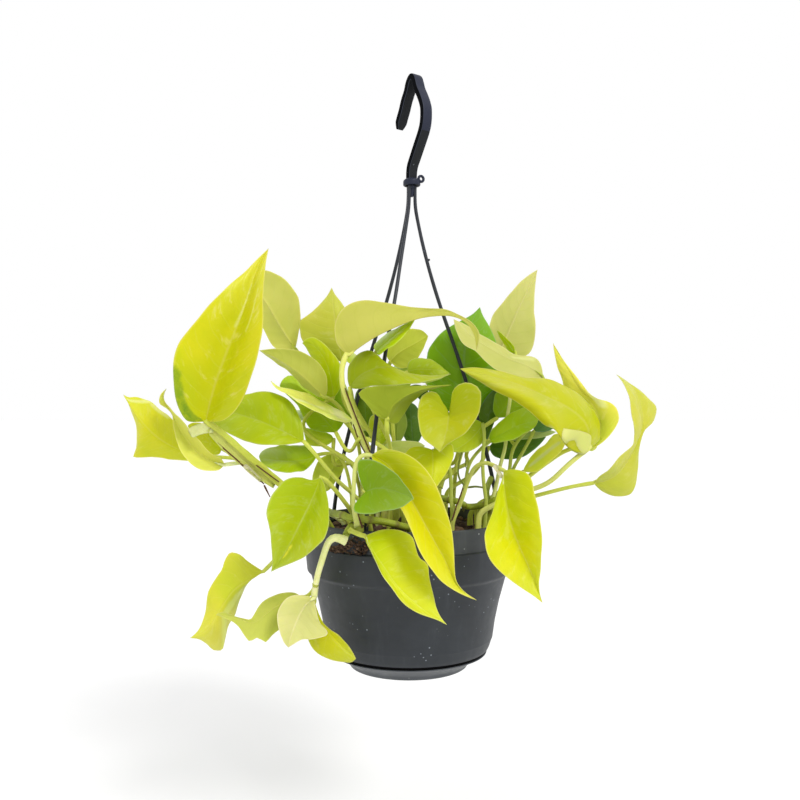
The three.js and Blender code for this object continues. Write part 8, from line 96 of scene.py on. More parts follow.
('trailer_back_left', 'b11', 'lime', None, [-101,883,1194,-101,883,1194,-101,883,1194,-101,883,1194,-101,883,1194,-47,866,1256,-74,877,1216,-100,889,1174,-127,885,1218,-153,882,1260,13,845,1268,-43,869,1212,-100,895,1153,-158,887,1216,-216,880,1276,69,823,1225,-15,863,1182,-100,901,1132,-189,889,1188,-278,876,1237,112,815,1138,8,871,1128,-100,906,1111,-212,905,1135,-327,882,1153,144,828,1033,24,886,1045,-100,919,1052,-228,925,1054,-361,905,1050,158,842,918,31,904,928,-101,939,935,-237,945,937,-377,924,936,157,853,801,29,916,808,-103,951,813,-240,957,817,-381,935,819,135,864,688,16,922,692,-107,955,696,-233,960,701,-364,940,705,101,871,587,-3,922,588,-111,951,591,-222,955,595,-336,937,602,59,875,493,-27,917,492,-116,941,493,-208,945,498,-302,930,505,13,876,404,-53,908,402,-121,926,403,-191,929,407,-263,918,414,-37,875,321,-81,897,320,-126,909,320,-173,911,323,-222,903,328,-88,871,241,-110,882,240,-132,887,240,-155,888,241,-179,885,244,-139,861,156,-139,861,156,-139,861,156,-139,861,156,-139,861,156], [-50,437,920,-50,443,943,-51,449,966,-52,456,988,-53,464,1009,-54,473,1029,-55,483,1048,-56,493,1067,-57,505,1084,-59,516,1100,-60,528,1115,-62,541,1130,-63,555,1143,-65,571,1155,-67,589,1166,-69,608,1176,-71,627,1186,-74,647,1196,-76,667,1206,-78,687,1216,-80,706,1227,-83,725,1238,-85,744,1250,-87,763,1259,-89,782,1264,-91,800,1264,-93,817,1259,-95,834,1249,-97,851,1234,-99,867,1216,-101,883,1194], [1.8,1.5]),
('trailer_back_left', 'b12', 'limegreen', None, [32,1234,1151,32,1234,1151,32,1234,1151,32,1234,1151,32,1234,1151,41,1172,1203,40,1205,1169,40,1239,1134,11,1255,1170,-17,1272,1204,63,1107,1211,56,1175,1167,49,1244,1117,-7,1283,1168,-62,1323,1213,93,1050,1172,77,1150,1140,57,1249,1100,-18,1314,1142,-96,1378,1176,135,1017,1098,109,1140,1097,65,1254,1084,-11,1348,1099,-105,1432,1102,187,1006,1012,148,1143,1030,87,1267,1036,10,1381,1033,-89,1484,1016,231,1014,917,190,1159,934,126,1290,939,44,1411,936,-61,1519,922,264,1032,818,224,1178,832,159,1310,837,77,1432,835,-30,1540,823,281,1067,722,245,1203,733,185,1326,737,108,1439,735,9,1539,727,287,1110,634,255,1230,642,203,1337,644,136,1436,644,48,1524,638,284,1157,552,258,1256,556,215,1345,558,159,1427,558,86,1499,555,274,1206,473,255,1282,476,222,1350,477,179,1413,477,123,1468,476,260,1256,399,247,1307,400,225,1353,400,197,1395,400,159,1431,400,242,1306,325,236,1331,325,225,1353,326,211,1374,326,193,1392,326,222,1352,246,222,1352,246,222,1352,246,222,1352,246,222,1352,246], [-71,627,1186,-71,644,1191,-70,661,1196,-69,677,1201,-69,693,1205,-68,709,1210,-68,724,1215,-68,739,1220,-69,754,1225,-70,769,1230,-74,783,1236,-81,797,1242,-90,811,1248,-99,824,1252,-104,838,1255,-106,851,1255,-105,866,1253,-101,881,1249,-96,896,1244,-90,912,1236,-82,927,1228,-73,942,1219,-64,955,1209,-55,968,1198,-45,978,1187,-36,987,1176,-27,993,1165,-17,997,1154,-7,1000,1141,3,1001,1127,15,1002,1110,27,1003,1093,39,1004,1076,50,1005,1060,60,1005,1047,67,1006,1036,71,1008,1030,73,1011,1027,71,1016,1028,68,1024,1030,62,1035,1034,55,1048,1039,48,1063,1046,39,1079,1053,31,1097,1060,23,1114,1069,15,1132,1077,9,1149,1086,3,1165,1095,0,1180,1103,0,1192,1112,3,1204,1121,10,1214,1130,20,1224,1140,32,1234,1151], [1.8,1.5]),
('trailer_back_right', 'b13', 'lime', None, [325,975,889,325,975,889,325,975,889,325,975,889,325,975,889,369,964,945,348,972,910,327,980,872,299,974,905,270,968,935,425,950,961,377,967,911,329,984,856,270,972,899,211,960,939,483,935,934,407,964,889,331,989,839,245,972,873,159,950,900,533,931,869,433,972,849,333,993,822,228,982,828,123,951,827,573,943,789,456,985,785,338,1004,775,220,997,760,101,966,740,597,956,699,473,1001,692,349,1020,681,224,1012,666,98,979,648,608,965,606,485,1010,595,360,1030,583,233,1022,569,106,988,554,600,972,513,485,1014,501,369,1033,489,252,1025,477,134,994,465,580,976,428,479,1013,416,378,1029,404,275,1023,395,171,995,386,552,977,348,469,1008,336,386,1021,326,301,1016,319,215,993,313,520,976,272,457,999,262,393,1009,254,327,1005,248,262,988,245,484,972,200,442,988,192,399,994,186,355,992,183,311,981,182,446,966,129,426,974,125,405,977,122,383,976,120,362,970,120,411,955,54,411,955,54,411,955,54,411,955,54,411,955,54], [244,434,920,246,439,943,248,445,965,250,452,987,253,460,1007,256,469,1027,259,478,1045,262,488,1062,266,499,1078,270,510,1093,274,522,1107,278,535,1119,284,549,1131,291,565,1143,298,582,1154,306,601,1164,313,620,1173,319,639,1180,323,658,1185,325,677,1187,326,695,1185,326,714,1180,326,732,1172,326,751,1161,326,769,1148,326,786,1134,326,803,1120,326,819,1107,326,834,1093,326,848,1079,326,862,1065,326,875,1050,326,888,1035,326,901,1019,326,913,1002,326,925,984,325,936,967,325,946,948,325,956,929,325,966,909,325,975,889], [1.8,1.5]),
('leaf_43', 'L45', 'green', [80, 110, 22], [590,100,1632,590,100,1632,590,100,1632,590,100,1632,590,100,1632,601,105,1661,596,103,1661,590,102,1661,582,103,1662,574,106,1662,613,111,1689,602,107,1690,590,104,1691,575,107,1691,561,111,1691,625,116,1718,608,110,1719,590,106,1720,569,110,1721,549,116,1722,637,121,1746,614,114,1749,590,109,1750,564,113,1752,538,121,1753,649,126,1775,621,117,1778,593,111,1780,561,117,1783,529,126,1785,662,130,1803,631,120,1806,599,113,1809,560,120,1813,522,132,1818,676,134,1831,642,122,1835,608,115,1838,567,123,1844,525,135,1849,688,137,1860,653,125,1864,618,118,1868,579,125,1875,539,137,1881,702,140,1889,665,128,1894,628,120,1899,592,126,1905,556,137,1910,710,142,1918,674,130,1924,637,122,1930,605,128,1935,573,138,1939,709,142,1950,677,131,1954,645,125,1959,619,129,1963,592,137,1967,704,140,1980,679,132,1983,654,127,1985,634,130,1988,614,136,1991,692,137,2007,676,132,2008,661,128,2009,650,130,2011,639,134,2012,668,130,2030,668,130,2030,668,130,2030,668,130,2030,668,130,2030], [493,66,1689,503,70,1681,513,73,1672,523,74,1665,534,76,1658,545,78,1652,557,81,1647,568,86,1642,579,93,1637,590,100,1632], [1.25,1.1]),
('leaf_16b', 'L46', 'pale', [175, 190, 120], [760,20,1636,760,20,1636,760,20,1636,760,20,1636,760,20,1636,781,25,1650,782,23,1647,782,20,1645,783,18,1642,783,15,1639,804,30,1664,804,26,1658,805,20,1653,806,16,1647,807,11,1642,826,34,1675,828,28,1667,829,20,1660,830,15,1652,831,8,1645,850,38,1686,851,30,1676,852,20,1667,854,14,1657,855,5,1648,874,42,1696,875,32,1683,876,20,1672,878,13,1661,879,4,1651,898,45,1704,900,34,1689,901,20,1677,902,12,1664,903,3,1654,923,48,1711,924,35,1694,925,20,1681,926,12,1667,927,1,1656,948,50,1717,949,37,1699,950,20,1684,951,11,1670,952,0,1658,974,50,1720,974,37,1703,974,20,1688,975,11,1674,976,0,1661,998,47,1720,999,35,1705,999,20,1691,999,12,1678,1000,1,1666,1023,43,1719,1023,33,1706,1023,20,1695,1024,13,1683,1024,4,1673,1048,38,1717,1048,30,1707,1047,20,1698,1047,15,1689,1047,8,1681,1071,31,1712,1071,26,1706,1070,20,1700,1070,17,1695,1070,13,1691,1093,20,1703,1093,20,1703,1093,20,1703,1093,20,1703,1093,20,1703], [783,-37,1611,781,-29,1612,780,-22,1614,777,-15,1616,774,-8,1620,771,-1,1624,767,5,1628,764,11,1632,761,16,1635,760,20,1636], [1.25,1.1]),
('leaf_31', 'L47', 'grey', [85, 125, 60], [924,-20,1712,924,-20,1712,924,-20,1712,924,-20,1712,924,-20,1712,952,-8,1706,945,-13,1713,938,-16,1720,929,-13,1730,920,-8,1740,980,3,1704,967,-5,1717,953,-11,1731,937,-5,1749,920,4,1768,1007,14,1704,989,2,1724,971,-6,1743,948,2,1769,924,15,1795,1035,22,1710,1013,7,1734,990,-2,1757,964,7,1790,937,24,1822,1060,27,1719,1036,10,1746,1011,0,1773,982,10,1810,953,29,1847,1083,29,1731,1057,11,1760,1031,0,1790,1000,11,1829,970,30,1868,1103,30,1747,1077,12,1778,1051,0,1809,1021,11,1848,992,30,1887,1121,29,1767,1096,11,1797,1071,0,1827,1044,10,1865,1017,28,1903,1137,27,1789,1114,10,1817,1090,0,1845,1067,9,1879,1043,25,1913,1150,24,1811,1130,9,1836,1110,0,1860,1090,8,1890,1070,22,1920,1161,19,1835,1145,7,1855,1129,0,1875,1113,6,1900,1098,18,1925,1169,14,1859,1158,5,1874,1146,0,1888,1136,5,1906,1125,13,1924,1175,7,1885,1169,3,1892,1163,0,1900,1157,2,1910,1152,7,1919,1178,0,1910,1178,0,1910,1178,0,1910,1178,0,1910,1178,0,1910], [731,0,1316,740,14,1326,749,26,1337,756,35,1350,761,41,1363,765,42,1377,768,42,1392,771,39,1408,775,37,1424,781,35,1439,789,33,1454,797,32,1468,806,30,1482,814,27,1497,822,24,1511,830,20,1525,837,16,1540,845,11,1554,852,6,1568,859,0,1582,866,-7,1596,872,-13,1610,879,-19,1625,886,-24,1639,893,-26,1653,900,-26,1668,908,-25,1682,916,-23,1697,924,-20,1712], [1.4,1.2]),
('leaf_03', 'L48', 'lime', [150, 180, 30], [-430,300,1778,-430,300,1778,-430,300,1778,-430,300,1778,-430,300,1778,-427,306,1808,-435,302,1805,-443,300,1803,-450,301,1801,-457,304,1799,-427,310,1838,-442,304,1833,-457,300,1828,-470,303,1825,-484,309,1821,-428,314,1868,-449,305,1862,-470,300,1855,-491,305,1848,-512,314,1841,-433,317,1898,-458,306,1890,-482,300,1883,-511,307,1872,-541,320,1861,-439,319,1928,-467,306,1919,-494,300,1911,-530,308,1898,-566,324,1885,-447,320,1957,-476,307,1948,-505,300,1939,-547,309,1926,-589,328,1912,-457,320,1986,-487,307,1977,-516,300,1969,-561,310,1955,-606,330,1941,-468,320,2015,-497,307,2007,-525,300,1999,-572,310,1986,-618,330,1973,-478,319,2043,-506,307,2036,-535,300,2029,-581,310,2019,-627,330,2008,-489,318,2071,-516,306,2066,-543,300,2060,-586,309,2051,-629,327,2042,-502,316,2099,-526,306,2095,-551,300,2090,-588,308,2084,-624,323,2078,-516,314,2128,-537,305,2122,-557,300,2117,-586,306,2114,-615,318,2111,-535,309,2147,-549,303,2143,-562,300,2139,-580,304,2138,-598,311,2136,-565,300,2156,-565,300,2156,-565,300,2156,-565,300,2156,-565,300,2156], [-318,175,1723,-332,185,1722,-346,194,1721,-358,203,1720,-370,212,1719,-380,222,1719,-388,231,1719,-395,241,1719,-400,251,1722,-403,262,1727,-407,272,1735,-410,282,1745,-415,289,1756,-422,295,1767,-430,300,1778], [1.25,1.1]),
('shoot_back_centre', 'L49', 'green', [95, 125, 5], [-324,260,1625,-324,260,1625,-324,260,1625,-324,260,1625,-324,260,1625,-306,269,1653,-315,264,1653,-324,260,1654,-334,263,1653,-344,267,1652,-291,276,1682,-307,267,1682,-324,260,1683,-342,265,1681,-361,273,1680,-280,281,1712,-302,269,1713,-324,260,1713,-349,267,1711,-374,278,1709,-271,285,1745,-298,270,1744,-324,260,1744,-355,268,1742,-386,282,1740,-265,288,1778,-295,272,1777,-324,260,1776,-360,269,1774,-395,285,1772,-264,290,1810,-295,272,1809,-326,260,1808,-364,270,1806,-403,287,1804,-265,290,1844,-296,272,1842,-327,260,1841,-368,271,1839,-409,289,1836,-268,290,1877,-299,272,1876,-330,260,1874,-372,271,1872,-415,290,1869,-271,289,1910,-302,272,1908,-332,260,1907,-375,271,1904,-418,290,1902,-279,287,1942,-307,271,1941,-336,260,1940,-376,271,1937,-416,288,1935,-291,284,1974,-316,270,1973,-340,260,1971,-375,269,1970,-409,284,1968,-307,279,2002,-326,268,2001,-345,260,2000,-373,267,1999,-400,279,1998,-328,271,2026,-339,264,2025,-350,260,2025,-366,264,2025,-382,271,2024,-355,260,2047,-355,260,2047,-355,260,2047,-355,260,2047,-355,260,2047], [-293,300,1558,-299,296,1559,-303,291,1562,-306,287,1570,-308,283,1579,-310,279,1590,-312,275,1600,-315,270,1610,-319,265,1618,-324,260,1625], [1.25,1.1]),
('leaf_20', 'L50', 'grey', [132, 150, 55], [-86,160,1603,-86,160,1603,-86,160,1603,-86,160,1603,-86,160,1603,-104,168,1620,-95,166,1620,-86,162,1620,-77,165,1619,-68,167,1618,-120,174,1639,-103,171,1638,-86,164,1638,-69,170,1636,-53,173,1635,-131,180,1659,-108,175,1658,-86,166,1658,-63,174,1655,-41,178,1653,-141,185,1682,-113,179,1680,-86,168,1679,-58,178,1676,-31,183,1674,-146,189,1706,-116,183,1704,-85,170,1702,-54,182,1698,-23,187,1695,-146,192,1730,-115,186,1727,-84,173,1725,-50,186,1720,-15,191,1717,-145,195,1755,-114,188,1751,-82,175,1748,-46,189,1743,-9,195,1739,-144,197,1779,-112,191,1775,-80,177,1771,-44,191,1766,-8,197,1761,-140,200,1803,-109,193,1798,-77,180,1794,-44,193,1789,-10,199,1784,-130,202,1827,-102,196,1821,-74,184,1816,-44,195,1811,-14,200,1807,-117,203,1847,-93,198,1842,-69,188,1837,-45,197,1832,-20,201,1829,-101,204,1863,-83,200,1859,-65,192,1855,-46,199,1852,-28,202,1849,-80,203,1877,-70,200,1874,-60,196,1872,-50,200,1870,-40,202,1868,-55,200,1887,-55,200,1887,-55,200,1887,-55,200,1887,-55,200,1887], [-97,113,1516,-94,119,1525,-92,125,1534,-91,131,1544,-91,136,1554,-92,141,1565,-93,146,1575,-93,150,1585,-90,155,1594,-86,160,1603], [1.25,1.1]),
('leaf_18', 'L51', 'dark', [85, 120, 35], [37,260,1594,37,260,1594,37,260,1594,37,260,1594,37,260,1594,65,268,1608,50,264,1609,36,261,1610,23,264,1609,10,268,1608,86,275,1626,60,267,1627,35,263,1627,11,267,1626,-13,276,1624,99,280,1648,66,270,1648,33,265,1648,3,270,1646,-27,281,1644,109,285,1675,70,273,1675,32,267,1673,-3,273,1671,-37,285,1668,114,289,1704,72,276,1703,30,270,1701,-7,276,1699,-45,289,1696,114,293,1732,71,279,1731,28,273,1728,-10,279,1727,-48,293,1724,111,296,1761,69,282,1759,26,276,1756,-10,283,1754,-47,295,1752,106,298,1790,65,285,1787,24,279,1784,-10,285,1782,-45,297,1779,101,298,1817,62,286,1815,23,280,1812,-10,286,1809,-42,297,1807,92,297,1844,57,285,1842,21,280,1839,-9,285,1837,-39,296,1835,78,294,1870,49,285,1868,19,280,1865,-8,285,1864,-34,294,1863,61,290,1893,39,283,1891,17,280,1889,-5,284,1889,-26,291,1889,40,286,1911,28,282,1909,15,280,1908,2,282,1909,-12,287,1909,14,280,1925,14,280,1925,14,280,1925,14,280,1925,14,280,1925], [-67,249,1529,-55,250,1535,-42,251,1542,-30,252,1548,-18,253,1555,-6,255,1562,7,257,1568,18,259,1576,28,260,1585,37,260,1594], [1.25,1.1]),
('leaf_19', 'L53', 'pale', [170, 180, 80], [-196,20,1555,-196,20,1555,-196,20,1555,-196,20,1555,-196,20,1555,-174,12,1545,-177,16,1554,-180,22,1562,-185,27,1573,-189,35,1582,-150,5,1537,-156,13,1554,-161,23,1570,-169,32,1587,-177,45,1603,-127,1,1534,-134,11,1557,-141,25,1577,-149,36,1599,-158,52,1618,-103,0,1534,-110,11,1559,-118,28,1582,-125,40,1607,-132,56,1629,-79,1,1534,-86,13,1561,-93,30,1585,-99,42,1611,-106,60,1633,-55,2,1533,-61,15,1562,-67,32,1587,-73,45,1613,-79,62,1636,-31,5,1535,-36,17,1563,-42,35,1589,-47,47,1615,-53,65,1638,-7,9,1539,-12,20,1566,-17,37,1590,-21,49,1615,-26,66,1637,16,14,1545,12,24,1570,8,39,1591,4,51,1615,0,66,1636,40,19,1551,37,28,1573,33,42,1593,30,52,1615,27,66,1634,63,25,1559,60,33,1578,58,44,1594,56,53,1614,53,66,1631,85,31,1568,83,37,1583,81,46,1595,80,53,1611,79,64,1625,105,40,1581,104,43,1589,103,48,1597,103,53,1606,102,59,1615,123,50,1598,123,50,1598,123,50,1598,123,50,1598,123,50,1598], [-153,-21,1464,-155,-14,1475,-158,-7,1485,-162,-2,1496,-166,4,1506,-171,9,1516,-177,13,1526,-183,16,1535,-190,19,1545,-196,20,1555], [1.25,1.1]),
('shoot_back_right', 'L54', 'green', [75, 110, 10], [168,280,1932,168,280,1932,168,280,1932,168,280,1932,168,280,1932,167,286,1950,165,282,1946,163,280,1941,158,282,1934,152,286,1927,166,291,1968,161,284,1959,157,280,1950,147,284,1938,137,291,1925,163,295,1984,157,286,1972,150,280,1960,137,285,1942,123,295,1925,160,298,1998,151,287,1985,142,280,1971,126,287,1949,109,298,1928,151,300,2013,142,288,1998,132,280,1983,114,287,1960,96,299,1937,139,300,2027,130,288,2011,121,280,1995,102,287,1971,84,300,1948,126,299,2038,117,288,2023,109,280,2007,91,287,1983,73,300,1958,112,297,2047,104,287,2033,96,280,2019,80,287,1995,63,300,1970,97,296,2055,89,287,2042,82,280,2029,68,287,2006,54,298,1982,80,295,2059,74,286,2047,67,280,2036,57,286,2016,46,295,1996,64,292,2059,59,285,2050,53,280,2041,46,284,2025,38,292,2009,48,289,2058,44,284,2051,40,280,2044,35,283,2033,30,288,2022,31,285,2054,29,282,2051,27,280,2047,24,282,2041,22,284,2035,14,280,2048,14,280,2048,14,280,2048,14,280,2048,14,280,2048], [251,416,1829,244,408,1839,237,400,1849,230,391,1858,224,381,1867,217,371,1876,211,360,1884,205,349,1891,198,338,1899,192,327,1906,186,316,1913,180,304,1920,174,292,1926,168,280,1932], [1.25,1.1]),
]
VINES = [
('vine_over_rim', [-280,-440,920,-284,-446,936,-288,-453,952,-292,-460,967,-297,-467,982,-302,-475,996,-306,-484,1010,-311,-493,1023,-317,-502,1037,-322,-513,1050,-328,-524,1063,-334,-535,1074,-340,-548,1084,-347,-561,1091,-354,-574,1097,-362,-589,1101,-369,-604,1103,-377,-619,1103,-384,-634,1101,-391,-649,1096,-398,-663,1089,-404,-677,1081,-410,-690,1072,-415,-701,1060,-420,-713,1048], [2.4,2.3]),
('vine_front_left', [5,-412,920,5,-412,943,5,-413,965,5,-414,985,5,-415,1004,5,-417,1020,5,-419,1033,5,-421,1044,4,-425,1053,1,-431,1059,-5,-440,1063,-14,-453,1066,-25,-467,1069,-36,-481,1072,-46,-495,1076,-56,-508,1080,-65,-521,1085,-75,-532,1089,-86,-543,1094,-97,-553,1098,-110,-562,1103,-123,-569,1107,-137,-577,1111,-151,-584,1115,-166,-591,1119,-180,-598,1123,-194,-606,1126,-208,-614,1129,-221,-623,1132,-235,-632,1135,-248,-640,1138,-262,-648,1140,-277,-655,1143,-292,-661,1145,-307,-666,1147,-322,-669,1149,-338,-668,1150,-353,-664,1150,-368,-658,1151,-382,-650,1152,-395,-640,1153,-407,-630,1154,-418,-619,1156,-429,-607,1159,-439,-594,1161,-449,-581,1163,-459,-568,1165,-469,-555,1166,-479,-542,1167,-489,-529,1166,-499,-516,1166,-509,-503,1166,-518,-490,1165,-528,-476,1165,-537,-463,1165,-547,-451,1165,-557,-438,1166,-567,-426,1168,-577,-414,1171,-587,-402,1174,-597,-390,1179,-608,-378,1184,-618,-366,1190,-629,-355,1195,-639,-344,1201,-650,-333,1206,-662,-322,1211,-673,-312,1215,-684,-301,1220,-696,-291,1225,-708,-281,1230,-720,-271,1235,-732,-262,1240,-744,-252,1245,-756,-243,1250,-769,-234,1256,-781,-225,1261,-794,-216,1266], [2.4,2.4]),
('vine_right', [129,-9,920,129,-9,942,130,-10,963,130,-11,984,131,-12,1005,132,-13,1025,134,-14,1045,136,-16,1065,138,-17,1085,141,-19,1105,146,-21,1126,154,-23,1148,164,-25,1170,175,-28,1190,186,-31,1207,198,-35,1218,208,-41,1224,218,-50,1227,227,-63,1227,236,-80,1227,245,-101,1227,254,-125,1227,263,-150,1227,271,-176,1227,280,-201,1227,289,-226,1227,297,-247,1227,306,-266,1227,315,-280,1227,324,-289,1227,333,-291,1226,341,-287,1224,350,-276,1221,358,-260,1215,366,-240,1209,375,-217,1202,383,-192,1194,392,-167,1186,401,-144,1178,411,-123,1172,421,-106,1166,433,-94,1163,446,-88,1161,462,-86,1161,480,-89,1163,500,-93,1166,521,-100,1171,540,-107,1176,560,-116,1183,578,-128,1192,597,-141,1203,613,-154,1214,626,-165,1224,634,-173,1229,637,-176,1230,634,-176,1224,627,-173,1211,618,-168,1193,607,-163,1172,597,-158,1149,588,-154,1127,583,-150,1105,579,-148,1084,577,-146,1064,575,-145,1045,574,-143,1024,572,-142,1004,572,-141,983,571,-140,962,570,-140,941,570,-139,920], [2.3,2.3]),
]
LOOK = {
    # L1: dark green patches of its own colour; pale streaks by the midrib, partly variegation and partly a painted
    # highlight
    'L1': {'wing': 0.28, 'streak': 0.4, 'sheath': 0.15, 'veins': 11, 'stalk': (200, 206, 84), 'spots_and_highlights': ((0.286, 1.0, 0.1, 0.917, 6.09, (105, 140, 25), 0.75, 0.35, 0.35), (0.143, 0.875, 0.057, 0.729, 4.06, (105, 140, 25), 0.7, 0.35, 0.35), (0.586, 0.521, 0.8, 0.479, 1.35, (236, 238, 170), 0.35, 0.9, 0.5), (0.571, 0.292, 0.786, 0.188, 0.95, (232, 236, 160), 0.3, 0.9, 0.5))},
    'L2': {'under': True},
    'L4': {'under': True},
    # L6: pale line along a fold, a painted highlight
    'L6': {'veins': 10, 'spots_and_highlights': ((0.929, 0.354, 0.714, 0.0, 2.18, (226, 229, 168), 0.5, 0.7, 0.3), (0.657, 0.042, 0.471, 0.021, 2.18, (226, 229, 168), 0.45, 0.7, 0.3))},
    'L7': {'under': True, 'streak': 0.75, 'stalk': (240, 244, 180)},
    'L9': {'stalk': (220, 226, 104)},
    'L10': {'stalk': (220, 226, 104)},
    'L11': {'streak': 0.8, 'stalk': (240, 244, 160), 'spots_and_highlights': ((0.229, 0.0, 0.114, 0.708, 4.35, (232, 232, 160), 0.8, 0.5, 0.2), (0.714, 1.0, 0.357, 0.438, 1.74, (238, 240, 190), 0.6, 0.8, 0.4))},
    'L12': {'blot': 0.25, 'stalk': (236, 240, 110)},
    'L15': {'under': True},
    'L16': {'under': True, 'stalk': (226, 226, 122)},
    # L16b: soft pale patch by the curled base, a painted highlight
    'L16b': {'under': True, 'stalk': (186, 196, 92), 'spots_and_highlights': ((0.357, 0.792, 0.214, 0.896, 2.19, (222, 226, 160), 0.35, 0.8, 0.2),)},
    'L18': {'under': True, 'vis': 2.3},
    'L21': {'under': True},
    'L22': {'stalk': (186, 196, 92)},
    'L23': {'tipdark': 0.2, 'blot': 0.45, 'vis': 2.4},
    'L24': {'under': True, 'stalk': (228, 230, 150), 'vis': 2.2},
    'L26': {'stalk': (214, 216, 120), 'undercol': (210, 212, 124), 'spots_and_highlights': ((0.3, 0.917, 0.243, 0.938, 4.51, (214, 216, 128), 0.8, 0.6, 0.1), (0.186, 0.0, 0.1, 0.0, 0.76, (74, 102, 22), 0.8, 0.5, 0.1))},
    'L30': {'stalk': (186, 196, 92)},
    'L32': {'stalk': (186, 196, 92)},
    'L34': {'blot': 0.3, 'vis': 1.8, 'stalk': (214, 218, 130)},
    'L37': {'stalk': (198, 202, 104), 'spots_and_highlights': ((0.014, 0.25, 0.114, 0.417, 2.06, (236, 239, 205), 0.8, 0.4, 0.1),)},
    'L38': {'blot': 0.6},
    'L40': {'under': True},
    'L41': {'under': True, 'stalk': (240, 240, 176)},
    'L46': {'under': True},
    'L47': {'stalk': (186, 196, 92)},
    'L50': {'under': True},
    'L14': {'spots_and_highlights': ((0.814, 0.583, 0.729, 0.562, 1.95, (232, 222, 70), 0.7, 0.6, 0.6),)},
    'L36': {'spots_and_highlights': ((0.029, 0.604, 0.143, 0.229, 1.65, (222, 228, 150), 0.75, 0.4, 0), (0.143, 0.229, 0.314, 0.021, 1.21, (222, 228, 150), 0.75, 0.4, 0), (0.314, 0.021, 0.543, 0.0, 0.7, (222, 228, 146), 0.7, 0.4, 0))},
    # L27: cream patch on a fold, a painted highlight
    'L27': {'spots_and_highlights': ((0.557, 0.0, 0.414, 0.25, 3.97, (228, 230, 160), 0.7, 0.5, 0.2),)},
    # L31: pale band across the blade, a painted highlight
    'L31': {'spots_and_highlights': ((0.2, 0.479, 0.757, 0.458, 2.17, (238, 242, 190), 0.6, 0.7, 0.3),)},
    # L39: paler, duller strip on the half that turns away, a painted reflection of the white surroundings
    'L39': {'spots_and_highlights': ((0.171, 0.979, 0.3, 0.729, 3.09, (214, 220, 118), 0.65, 0.5, 0.2), (0.329, 0.708, 0.529, 0.667, 3.43, (214, 220, 118), 0.65, 0.5, 0.2), (0.543, 0.667, 0.657, 1.0, 3.09, (210, 217, 110), 0.6, 0.5, 0.2))},
}
